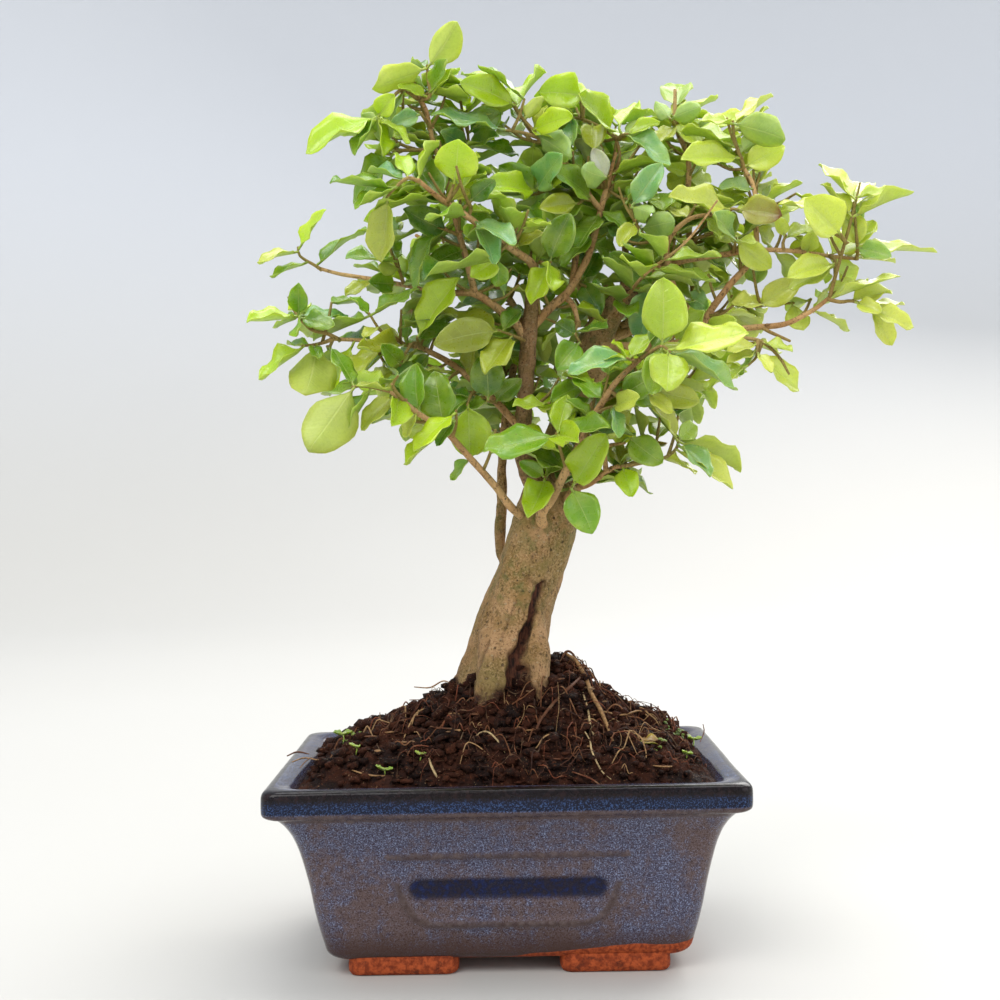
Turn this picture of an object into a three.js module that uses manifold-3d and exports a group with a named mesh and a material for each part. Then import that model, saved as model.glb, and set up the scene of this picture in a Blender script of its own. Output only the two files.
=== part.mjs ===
// A chinese privet bonsai in a glazed rectangular pot. Millimetres, +Z up, +Y away from the viewer.
import * as THREE from 'three';
import { mergeVertices } from 'three/addons/utils/BufferGeometryUtils.js';
import Module from 'manifold-3d';

const wasm = await Module();
wasm.setup();

// Driving sizes of the pot
const POT_WIDTH = 150;
const POT_DEPTH = 110;
const POT_HEIGHT = 62;
const BASE_UNDERSIDE = 4.6;
const POT_FLOOR = 10;
const CORNER_RADIUS = 9;
const CORNER_STEPS = 3;
const DRAIN_HOLE_RADIUS = 6;
const DRAIN_HOLE_X = 28;
const FOOT = { length: 35, depth: 12, centreX: 33.5, centreY: 31.5, radius: 4, height: 6 };
const SCREEN = { side: 22, thick: 1.2, slot: 2.2, slotLength: 14, slots: 4 };

// Clearance between pieces that touch, and how far a limb's smallest facets may be merged
const GAP = 0.3;
const LEAST_FACET = 0.02;

// Height and half width of the pot's wall, up the outside, over the lip and down the inside
const POT_OUTSIDE = [
  [BASE_UNDERSIDE, 54.6], [5.8, 57.4], [9.4, 58.8], [21, 61.5], [29.5, 63], [39.5, 65.2],
  [45, 67], [49.2, 69], [52.4, 71.6],
];
const POT_LIP = [[53, 74.3], [54.4, 75], [60.2, 75], [61.6, 74.2], [POT_HEIGHT, 72.6], [61.4, 68.4]];
const POT_INSIDE = [[59.8, 66.8], [52, 64.8], [40, 61.2], [26, 57.6], [13, 54.6], [POT_FLOOR, 52.4]];
const INSIDE_RISING = [...POT_INSIDE].reverse();

// Raised and sunk lines on the long faces
const RELIEF = {
  barHalf: 37, barZ: 39.5, ridgeRadius: 1.7,
  hoopTopHalf: 34.5, hoopTopZ: 30.2, hoopLowHalf: 26.5, hoopLowZ: 17,
  slotHalf: 31.5, slotZ: 28.4, slotHeight: 7.6, slotDeep: 1.1,
};

// The soil rises from the pot's inner edge (1) to a peak (0) a little right of the middle
const MOUND_PEAK_X = 10;
const MOUND_PROFILE = [
  [0, 97.6], [0.15, 93.4], [0.3, 87.6], [0.42, 83], [0.57, 77.6], [0.73, 73], [0.86, 68.6],
  [0.95, 63.4], [1, 59.2],
];
const MOUND_RINGS = [0.14, 0.3, 0.44, 0.58, 0.72, 0.84, 0.94, 1];
const MOUND_CRUMB = 1.3;
const MOUND_CORNERS = 6;
const MOUND_START = 0.45;
const SOIL_EDGE = 59.2;

// The view that picture positions are read in: the eye, its focal length in pixels, and its roll
const EYE = { x: -0.5, y: -467, z: 149, focal: 1368, centre: 500, roll: THREE.MathUtils.degToRad(1) };

// Small repeatable random draws, the same on every run
function draws(seed) {
  let state = seed;
  return () => {
    state = (state * 1664525 + 1013904223) % 4294967296;
    return state / 4294967296;
  };
}

// The point that a picture position shows at a depth behind the pot's middle
function seen(px, py, depth) {
  const right = px - EYE.centre;
  const down = py - EYE.centre;
  const across = right * Math.cos(EYE.roll) - down * Math.sin(EYE.roll);
  const up = -right * Math.sin(EYE.roll) - down * Math.cos(EYE.roll);
  const scale = (depth - EYE.y) / EYE.focal;
  return new THREE.Vector3(EYE.x + across * scale, depth, EYE.z + up * scale);
}

// Value of a profile of [place, value] rows at a place between its rows
function along(rows, place) {
  for (let i = 1; i < rows.length; i += 1) {
    const [low, lowValue] = rows[i - 1];
    const [high, highValue] = rows[i];
    if (place <= high) {
      return lowValue + (highValue - lowValue) * Math.max(0, (place - low) / (high - low));
    }
  }
  return rows[rows.length - 1][1];
}

// Closed geometry from points and triangles
function geometryOf(points, triangles) {
  const geometry = new THREE.BufferGeometry().setFromPoints(points);
  geometry.setIndex(triangles.flat());
  return geometry;
}

// A geometry as a solid that can be joined and cut
function solidOf(geometry) {
  const bare = geometry.clone();
  bare.deleteAttribute('normal');
  bare.deleteAttribute('uv');
  const merged = mergeVertices(bare, 1e-4);
  return new wasm.Manifold(new wasm.Mesh({
    numProp: 3,
    vertProperties: new Float32Array(merged.attributes.position.array),
    triVerts: new Uint32Array(merged.index.array),
  }));
}

// Triangles in order from the bottom up, in which other programs read the solid the right way out
function inOrder(position, corners) {
  const triangles = [];
  for (let i = 0; i < corners.length; i += 3) {
    const own = [corners[i], corners[i + 1], corners[i + 2]];
    triangles.push({ own, height: own.reduce((sum, corner) => sum + position.getZ(corner), 0) });
  }
  triangles.sort((one, other) => one.height - other.height);
  return triangles.flatMap((each) => each.own);
}

// A solid as a geometry
function geometryFrom(solid) {
  const mesh = solid.getMesh();
  const geometry = new THREE.BufferGeometry();
  geometry.setAttribute('position', new THREE.BufferAttribute(new Float32Array(mesh.vertProperties), 3));
  geometry.setIndex(inOrder(geometry.getAttribute('position'), mesh.triVerts));
  geometry.computeVertexNormals();
  return geometry;
}

// The largest body of a solid, without loose scraps
function largest(solid) {
  return solid.decompose().reduce((best, body) => (body.volume() > best.volume() ? body : best));
}

function union(solids) {
  return wasm.Manifold.union(solids);
}

// Rings of equal length joined into one closed skin, with a flat fan over each end
function loft(rings) {
  const count = rings[0].length;
  const triangles = [];
  for (let r = 1; r < rings.length; r += 1) {
    for (let i = 0; i < count; i += 1) {
      const next = (i + 1) % count;
      const a = (r - 1) * count + i;
      const b = (r - 1) * count + next;
      triangles.push([a, b, a + count], [b, b + count, a + count]);
    }
  }
  const last = (rings.length - 1) * count;
  for (let i = 1; i < count - 1; i += 1) {
    triangles.push([0, i + 1, i], [last, last + i, last + i + 1]);
  }
  return geometryOf(rings.flat(), triangles);
}

// A rectangle with round corners at a height
function roundedRing(halfX, halfY, radius, z, steps = CORNER_STEPS, centreX = 0, centreY = 0) {
  const ring = [];
  for (let corner = 0; corner < 4; corner += 1) {
    const signX = corner === 0 || corner === 3 ? 1 : -1;
    const signY = corner < 2 ? 1 : -1;
    for (let i = 0; i <= steps; i += 1) {
      const angle = ((corner + i / steps) * Math.PI) / 2;
      ring.push(new THREE.Vector3(
        centreX + signX * (halfX - radius) + radius * Math.cos(angle),
        centreY + signY * (halfY - radius) + radius * Math.sin(angle),
        z,
      ));
    }
  }
  return ring;
}

// A ring of the pot's wall at a height and half width
function potRing([z, halfWidth], inset = 0, lift = 0) {
  const halfDepth = halfWidth - (POT_WIDTH - POT_DEPTH) / 2;
  const radius = CORNER_RADIUS * (halfWidth / (POT_WIDTH / 2)) - inset;
  return roundedRing(halfWidth - inset, halfDepth - inset, radius, z + lift);
}

// A tapered tube along points with a radius each; the ends can be stretched
function tube(points, radii, sides, stretch = 0) {
  const path = points.map((point) => point.clone());
  const end = path.length - 1;
  path[0].addScaledVector(points[0].clone().sub(points[1]).normalize(), stretch);
  path[end].addScaledVector(points[end].clone().sub(points[end - 1]).normalize(), stretch);
  const tangents = path.map((point, i) => {
    const from = path[Math.max(0, i - 1)];
    const to = path[Math.min(end, i + 1)];
    return to.clone().sub(from).normalize();
  });
  let normal = Math.abs(tangents[0].z) > 0.9 ? new THREE.Vector3(1, 0, 0) : new THREE.Vector3(0, 0, 1);
  const rings = path.map((point, i) => {
    normal = normal.clone().addScaledVector(tangents[i], -normal.dot(tangents[i])).normalize();
    const side = tangents[i].clone().cross(normal);
    return Array.from({ length: sides }, (_, k) => {
      const angle = (2 * Math.PI * k) / sides;
      return point.clone()
        .addScaledVector(normal, radii[i] * Math.cos(angle))
        .addScaledVector(side, radii[i] * Math.sin(angle));
    });
  });
  return loft(rings);
}

function material(colour, roughness, metalness = 0) {
  return new THREE.MeshStandardMaterial({ color: colour, roughness, metalness });
}

function piece(name, solid, finish) {
  const mesh = new THREE.Mesh(geometryFrom(solid), finish);
  mesh.name = name;
  return mesh;
}

// A point on the pot's long outer face: front for side -1, back for side 1
function onFace(x, z, side, proud = 0) {
  const halfDepth = along(POT_OUTSIDE, z) - (POT_WIDTH - POT_DEPTH) / 2;
  return new THREE.Vector3(x, side * (halfDepth + proud), z);
}

// The bar and the hoop that stand out on a long face
function faceRidges(side) {
  const r = RELIEF;
  const bar = [-r.barHalf, -r.barHalf + 4, r.barHalf - 4, r.barHalf]
    .map((x, i) => onFace(x, r.barZ, side, i === 0 || i === 3 ? -1.6 : -0.5));
  const hoopPlaces = [
    [-r.hoopTopHalf, r.hoopTopZ], [-r.hoopTopHalf + 2.6, r.hoopTopZ - 7],
    [-r.hoopLowHalf - 2.4, r.hoopLowZ + 2], [-r.hoopLowHalf + 2.6, r.hoopLowZ],
    [r.hoopLowHalf - 2.6, r.hoopLowZ], [r.hoopLowHalf + 2.4, r.hoopLowZ + 2],
    [r.hoopTopHalf - 2.6, r.hoopTopZ - 7], [r.hoopTopHalf, r.hoopTopZ],
  ];
  const ends = [0, hoopPlaces.length - 1];
  const hoop = hoopPlaces.map(([x, z], i) => onFace(x, z, side, ends.includes(i) ? -1.6 : -0.5));
  return [
    solidOf(tube(bar, bar.map(() => r.ridgeRadius), 5)),
    solidOf(tube(hoop, hoop.map(() => r.ridgeRadius), 5)),
  ];
}

// The shallow slot between the bar and the hoop
function faceSlot(side) {
  const r = RELIEF;
  const middle = onFace(0, r.slotZ, side);
  const top = along(POT_OUTSIDE, r.slotZ + 1);
  const bottom = along(POT_OUTSIDE, r.slotZ - 1);
  const outline = roundedRing(r.slotHalf, r.slotHeight / 2, r.slotHeight / 2 - 0.1, 0, 3);
  const shape = new THREE.Shape(outline.map((point) => new THREE.Vector2(point.x, point.y)));
  const deep = 6;
  const cutter = new THREE.ExtrudeGeometry(shape, { depth: deep, bevelEnabled: false });
  cutter.translate(0, 0, -r.slotDeep);
  cutter.rotateX(Math.PI / 2 - Math.atan2(top - bottom, 2));
  if (side > 0) cutter.rotateZ(Math.PI);
  cutter.translate(middle.x, middle.y, middle.z);
  return solidOf(cutter);
}

function potFeet() {
  const feet = [];
  for (const signX of [-1, 1]) {
    for (const signY of [-1, 1]) {
      const at = [signX * FOOT.centreX, signY * FOOT.centreY];
      const halves = [FOOT.length / 2, FOOT.depth / 2];
      const rows = [[0, 1.2], [1.2, 0], [FOOT.height, 0]];
      const rings = rows.map(([z, inset]) => roundedRing(
        halves[0] - inset, halves[1] - inset, FOOT.radius - inset, z, 1, at[0], at[1],
      ));
      feet.push(solidOf(loft(rings)));
    }
  }
  return feet;
}

function drainHole(signX) {
  const hole = new THREE.CylinderGeometry(DRAIN_HOLE_RADIUS, DRAIN_HOLE_RADIUS, 20, 12);
  hole.rotateX(Math.PI / 2);
  hole.translate(signX * DRAIN_HOLE_X, 0, POT_FLOOR - 4);
  return solidOf(hole);
}

function pot() {
  const rows = [...POT_OUTSIDE, ...POT_LIP, ...POT_INSIDE];
  const body = solidOf(loft(rows.map((row) => potRing(row))));
  const ridges = [...faceRidges(-1), ...faceRidges(1)];
  let solid = body.subtract(union([faceSlot(-1), faceSlot(1)]));
  solid = union([solid, ...ridges, ...potFeet()]);
  return solid.subtract(union([drainHole(-1), drainHole(1)]));
}

// A thin slotted plate that keeps the soil in over a drainage hole
function drainScreen(signX) {
  const low = POT_FLOOR + GAP;
  const half = SCREEN.side / 2;
  const rings = [low, low + SCREEN.thick]
    .map((z) => roundedRing(half, half, 3, z, 2, signX * DRAIN_HOLE_X, 0));
  const plate = solidOf(loft(rings));
  const cuts = Array.from({ length: SCREEN.slots }, (_, i) => {
    const slot = new THREE.BoxGeometry(SCREEN.slot, SCREEN.slotLength, 6);
    const x = (i - (SCREEN.slots - 1) / 2) * SCREEN.slot * 2;
    slot.translate(signX * DRAIN_HOLE_X + x, 0, low);
    return solidOf(slot);
  });
  return plate.subtract(union(cuts));
}

// A ring of the pot's inside with extra points along its straight sides
function soilRing([z, halfWidth], lift = 0) {
  const halfDepth = halfWidth - (POT_WIDTH - POT_DEPTH) / 2;
  const radius = CORNER_RADIUS * (halfWidth / (POT_WIDTH / 2)) - GAP;
  const corners = roundedRing(halfWidth - GAP, halfDepth - GAP, radius, z + lift);
  return corners.flatMap((point, i) => {
    if ((i + 1) % (CORNER_STEPS + 1) !== 0) return [point];
    const next = corners[(i + 1) % corners.length];
    const parts = Math.abs(next.x - point.x) > Math.abs(next.y - point.y) ? 4 : 3;
    return Array.from({ length: parts }, (_, k) => point.clone().lerp(next, k / parts));
  });
}

// The soil: down the pot's inside, with a crumbly mound on top that grows rounder to its peak
function soilBlank() {
  const random = draws(11);
  const rings = INSIDE_RISING.slice(0, -1).map((row, i) => soilRing(row, i === 0 ? GAP : 0));
  const edgeHalf = along(INSIDE_RISING, SOIL_EDGE) - GAP;
  const edge = soilRing([SOIL_EDGE, edgeHalf]);
  const halfX = edgeHalf - GAP;
  const halfY = halfX - (POT_WIDTH - POT_DEPTH) / 2;
  for (const share of [...MOUND_RINGS].reverse()) {
    const crumb = share === 1 ? 0 : MOUND_CRUMB;
    rings.push(edge.map((point, i) => {
      const angle = MOUND_START + (2 * Math.PI * i) / edge.length;
      const at = new THREE.Vector3(halfX * Math.cos(angle), halfY * Math.sin(angle), 0)
        .lerp(point, share ** MOUND_CORNERS);
      return new THREE.Vector3(
        MOUND_PEAK_X + (at.x - MOUND_PEAK_X) * share,
        at.y * share,
        along(MOUND_PROFILE, share) + crumb * (2 * random() - 1),
      );
    }));
  }
  return solidOf(loft(rings));
}

function soil(clearances) {
  const pockets = [-1, 1].map((signX) => {
    const side = SCREEN.side + 2 * GAP;
    const high = SCREEN.thick + 2 * GAP;
    const pocket = new THREE.BoxGeometry(side, side, 2 * high);
    pocket.translate(signX * DRAIN_HOLE_X, 0, POT_FLOOR + GAP);
    return solidOf(pocket);
  });
  return largest(soilBlank().subtract(union([...pockets, ...clearances])));
}

// The trunk from under the soil to its sawn top: x, y, z and radius
const TRUNK = [
  [-4, 0, 58, 15], [-2.5, -0.5, 76, 16.6], [-0.6, 0, 87.5, 15.4], [1.5, 0, 98, 13.4],
  [3.4, 0, 108.5, 12.4], [7.5, 0.5, 121, 11.8], [11.4, 1, 133, 11.7], [14.6, 2, 144, 11.2],
  [19, 6, 159, 8.5], [24, 8, 173, 7.9], [30, 9, 187, 7.1], [35, 10, 206, 6.2], [45, 10, 221, 4.8],
];
const TRUNK_SIDES = 10;
const TRUNK_FLUTES = { count: 3, deep: 0.1, turn: 0.9 };

// Root legs round the foot of the trunk, each from inside it down into the soil
const ROOT_LEGS = [
  [[0, -6, 104, 8], [-3, -12, 90, 6.5], [-6, -16, 80, 5], [-10, -22, 68, 3]],
  [[10, -5, 112, 6.5], [13, -10, 99, 6], [13.5, -13, 88, 5], [15, -18, 76, 3.6], [18, -24, 66, 2]],
  [[-6, 2, 92, 8], [-15, 2, 80, 6], [-27, 1, 71, 3.6], [-37, 0, 65, 2]],
  [[2, 8, 98, 8], [2, 15, 84, 6.5], [0, 26, 72, 3.6], [-3, 33, 65, 2]],
  [[10, 2, 100, 7], [19, 3, 87, 5.4], [30, 5, 77, 3.6], [42, 8, 68, 2]],
];

// Branches that the picture shows: picture x and y, depth in millimetres, radius
const SEEN_BRANCHES = {
  leader: [
    [545, 500, -2, 5], [524, 450, -7, 3.6], [525, 400, -8, 2.9], [528, 350, -9, 2.9],
    [532, 300, -9, 2.4], [541, 258, -10, 1.9],
  ],
  leaderStub: [[527, 462, -7, 2], [533, 443, -13, 1.8]],
  rearStem: [
    [510, 572, 8, 2], [500, 545, 12, 1.8], [502, 500, 14, 1.7], [503, 450, 14, 1.6],
    [508, 400, 14, 1.5], [514, 365, 13, 1.3],
  ],
  leftHigh: [
    [528, 352, -9, 2.2], [518, 326, -10, 2.1], [500, 310, -12, 2], [475, 294, -13, 1.9],
    [452, 293, -10, 1.6], [430, 290, -6, 1.4], [404, 285, 0, 1.3], [372, 279, 4, 1.2],
    [340, 274, 8, 1.1], [318, 268, 10, 1],
  ],
  leftRiser: [
    [475, 294, -13, 1.7], [467, 261, -12, 1.6], [459, 233, -13, 1.5], [444, 172, -15, 1.4],
    [434, 145, -16, 1.3], [426, 110, -18, 1.2], [418, 98, -18, 1.1],
  ],
  forward: [
    [536, 278, -10, 2], [531, 263, -12, 2], [515, 251, -17, 1.8], [500, 241, -21, 1.8],
    [480, 226, -26, 1.7], [460, 211, -31, 1.6], [445, 202, -35, 1.5], [433, 193, -38, 1.4],
    [418, 180, -42, 1.2],
  ],
  leftMiddle: [
    [525, 432, -8, 2], [511, 418, -8, 1.9], [492, 398, -6, 1.8], [465, 374, -4, 1.7],
    [449, 362, -3, 1.6], [430, 352, -2, 1.5], [418, 347, -2, 1.4], [393, 343, -4, 1.3],
    [355, 340, -8, 1.1], [330, 339, -11, 1],
  ],
  leftLow: [
    [532, 524, -4, 2.2], [511, 507, -11, 2], [495, 486, -15, 1.8], [470, 458, -20, 1.7],
    [444, 430, -26, 1.5], [419, 414, -30, 1.4], [401, 399, -33, 1.3], [388, 390, -34, 1.2],
  ],
  rightFront: [
    [548, 535, -4, 2.8], [541, 516, -13, 2.6], [552, 498, -16, 2.4], [565, 473, -20, 2.2],
    [579, 445, -23, 2.1], [592, 420, -26, 2], [602, 403, -28, 1.9], [617, 381, -31, 1.7],
    [640, 359, -34, 1.4],
  ],
  rightLow: [
    [566, 500, -4, 2], [575, 489, -14, 1.8], [591, 483, -17, 1.6], [612, 468, -20, 1.3],
    [621, 467, -21, 1.1],
  ],
  rightLowStub: [[606, 472, -19, 1.3], [605, 455, -19, 1.1], [608, 446, -20, 1], [625, 443, -22, 0.8]],
  rightHigh: [
    [620, 306, 9, 2.6], [640, 281, 8, 2.2], [658, 269, 6, 1.9], [681, 261, 2, 1.7],
    [728, 254, -6, 1.5], [756, 250, -9, 1.4], [793, 251, -9, 1.2], [829, 256, -8, 1.1],
    [858, 259, -8, 0.9],
  ],
  rightMiddle: [
    [598, 347, 6, 2.8], [640, 347, -2, 2.4], [670, 345, -6, 2.2], [700, 335, -10, 1.9],
    [748, 328, -12, 1.7], [785, 324, -13, 1.5], [813, 310, -14, 1.3], [829, 298, -15, 1.2],
  ],
  rightSpike: [[829, 299, -15, 0.9], [841, 256, -17, 0.8], [852, 217, -18, 0.7], [860, 183, -19, 0.5]],
  rightRiser: [
    [697, 337, -9, 1.8], [706, 318, -8, 1.8], [728, 287, -6, 1.7], [754, 256, -5, 1.7],
    [756, 226, -4, 1.4], [754, 189, -3, 1.3], [744, 168, -2, 1.1],
  ],
  rightTwig: [[762, 327, -12, 1], [770, 332, -15, 0.9], [790, 341, -19, 0.8]],
  rightDroop: [
    [708, 334, -11, 1.1], [742, 338, -17, 1], [762, 342, -19, 0.9], [779, 357, -21, 0.8],
    [789, 374, -23, 0.6],
  ],
  rightInner: [
    [668, 345, -6, 1.8], [677, 300, -6, 1.7], [672, 282, -5, 1.6], [667, 245, -6, 1.5],
    [686, 221, -8, 1.3], [711, 214, -10, 1.1], [728, 211, -11, 0.9],
  ],
  rightInnerFork: [[667, 247, -6, 1.2], [655, 240, -7, 1], [641, 233, -8, 0.8]],
  rearRiser: [
    [604, 340, 10, 2.6], [640, 328, 15, 2.4], [675, 318, 18, 2.2], [688, 300, 19, 2],
    [690, 260, 20, 1.9], [688, 200, 20, 1.8], [688, 158, 20, 1.7], [676, 127, 20, 1.4],
    [675, 90, 20, 1.1],
  ],
  rearRiserTwig: [[689, 245, 20, 1.2], [698, 238, 17, 1.1], [728, 228, 13, 0.9]],
  middleHigh: [
    [530, 330, -9, 2.3], [550, 308, -6, 2.2], [567, 293, -4, 2.1], [579, 274, -2, 2],
    [590, 251, -1, 2], [602, 205, 0, 1.8], [610, 175, -1, 1.3], [616, 153, -2, 1],
  ],
  middleStub: [[571, 290, -3, 1.7], [579, 240, 3, 1.5]],
  middleDown: [[564, 296, -4, 1.5], [573, 305, -6, 1.5], [579, 326, -6, 1.3]],
  middleTop: [
    [602, 212, 0, 1.4], [585, 190, -4, 1.3], [563, 163, -8, 1.3], [545, 143, -10, 1.1],
    [533, 135, -11, 0.9],
  ],
  middleFork: [[606, 192, 0, 1.1], [619, 160, 1, 1], [616, 136, 1, 0.9]],
};

// Branches behind, which the picture hides: x, y, z and radius in millimetres
const REAR_BRANCHES = {
  rearLeftLow: [[18, 8, 158, 3], [6, 24, 170, 2.2], [-14, 42, 182, 1.7], [-34, 54, 192, 1.2]],
  rearMiddleLow: [[24, 10, 172, 3], [22, 28, 186, 2.2], [14, 48, 198, 1.7], [6, 64, 208, 1.2]],
  rearRightLow: [[27, 10, 178, 3], [46, 26, 184, 2.2], [64, 42, 190, 1.7], [82, 54, 198, 1.2]],
  rearRightHigh: [[35, 11, 204, 2.6], [52, 30, 216, 2], [66, 48, 228, 1.6], [78, 60, 240, 1.1]],
  rearMiddleHigh: [[35, 11, 206, 2.4], [30, 30, 226, 2], [22, 46, 244, 1.6], [12, 58, 262, 1.1]],
  rearLeftHigh: [[9.5, -8, 205, 2.2], [2, 12, 222, 1.9], [-12, 30, 236, 1.5], [-30, 42, 248, 1.1]],
  rearTop: [[44, 11, 220, 2.2], [46, 26, 244, 1.8], [42, 36, 266, 1.4], [34, 44, 282, 1]],
  frontRight: [[40, 4, 212, 2], [48, -14, 222, 1.7], [60, -32, 230, 1.3], [68, -46, 240, 1]],
};

function branchPoints(rows, read) {
  return { points: rows.map(read), radii: rows.map((row) => row[3]) };
}

const BRANCHES = {};
for (const [name, rows] of Object.entries(SEEN_BRANCHES)) {
  BRANCHES[name] = branchPoints(rows, ([px, py, depth]) => seen(px, py, depth));
}
for (const [name, rows] of Object.entries(REAR_BRANCHES)) {
  BRANCHES[name] = branchPoints(rows, ([x, y, z]) => new THREE.Vector3(x, y, z));
}

function sidesFor(radius) {
  if (radius > 3) return 6;
  return radius > 1.75 ? 4 : 3;
}

// The trunk as a tube whose section has shallow flutes that turn as they rise
function trunkBody(extra) {
  const f = TRUNK_FLUTES;
  const rings = TRUNK.map(([x, y, z, r]) => Array.from({ length: TRUNK_SIDES }, (_, i) => {
    const angle = (2 * Math.PI * i) / TRUNK_SIDES;
    const flute = 1 + f.deep * Math.cos(f.count * angle + (f.turn * z) / 20);
    const reach = r * flute + extra;
    return new THREE.Vector3(x + reach * Math.cos(angle), y + reach * Math.sin(angle), z);
  }));
  rings[0].forEach((point) => { point.z -= extra; });
  rings[rings.length - 1].forEach((point) => { point.z += extra; });
  return solidOf(loft(rings));
}

// The root legs and lines of wood, or the same forms grown by a clearance to cut neighbours with
function rootLegs(extra) {
  return ROOT_LEGS.map((rows) => {
    const { points, radii } = branchPoints(rows, ([x, y, z]) => new THREE.Vector3(x, y, z));
    return solidOf(tube(points, radii.map((r) => r + extra), 7, extra));
  });
}

function woodTubes(lines, extra) {
  return lines.map(({ points, radii }) => (
    solidOf(tube(points, radii.map((r) => r + extra), sidesFor(radii[0]), extra))
  ));
}

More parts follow.
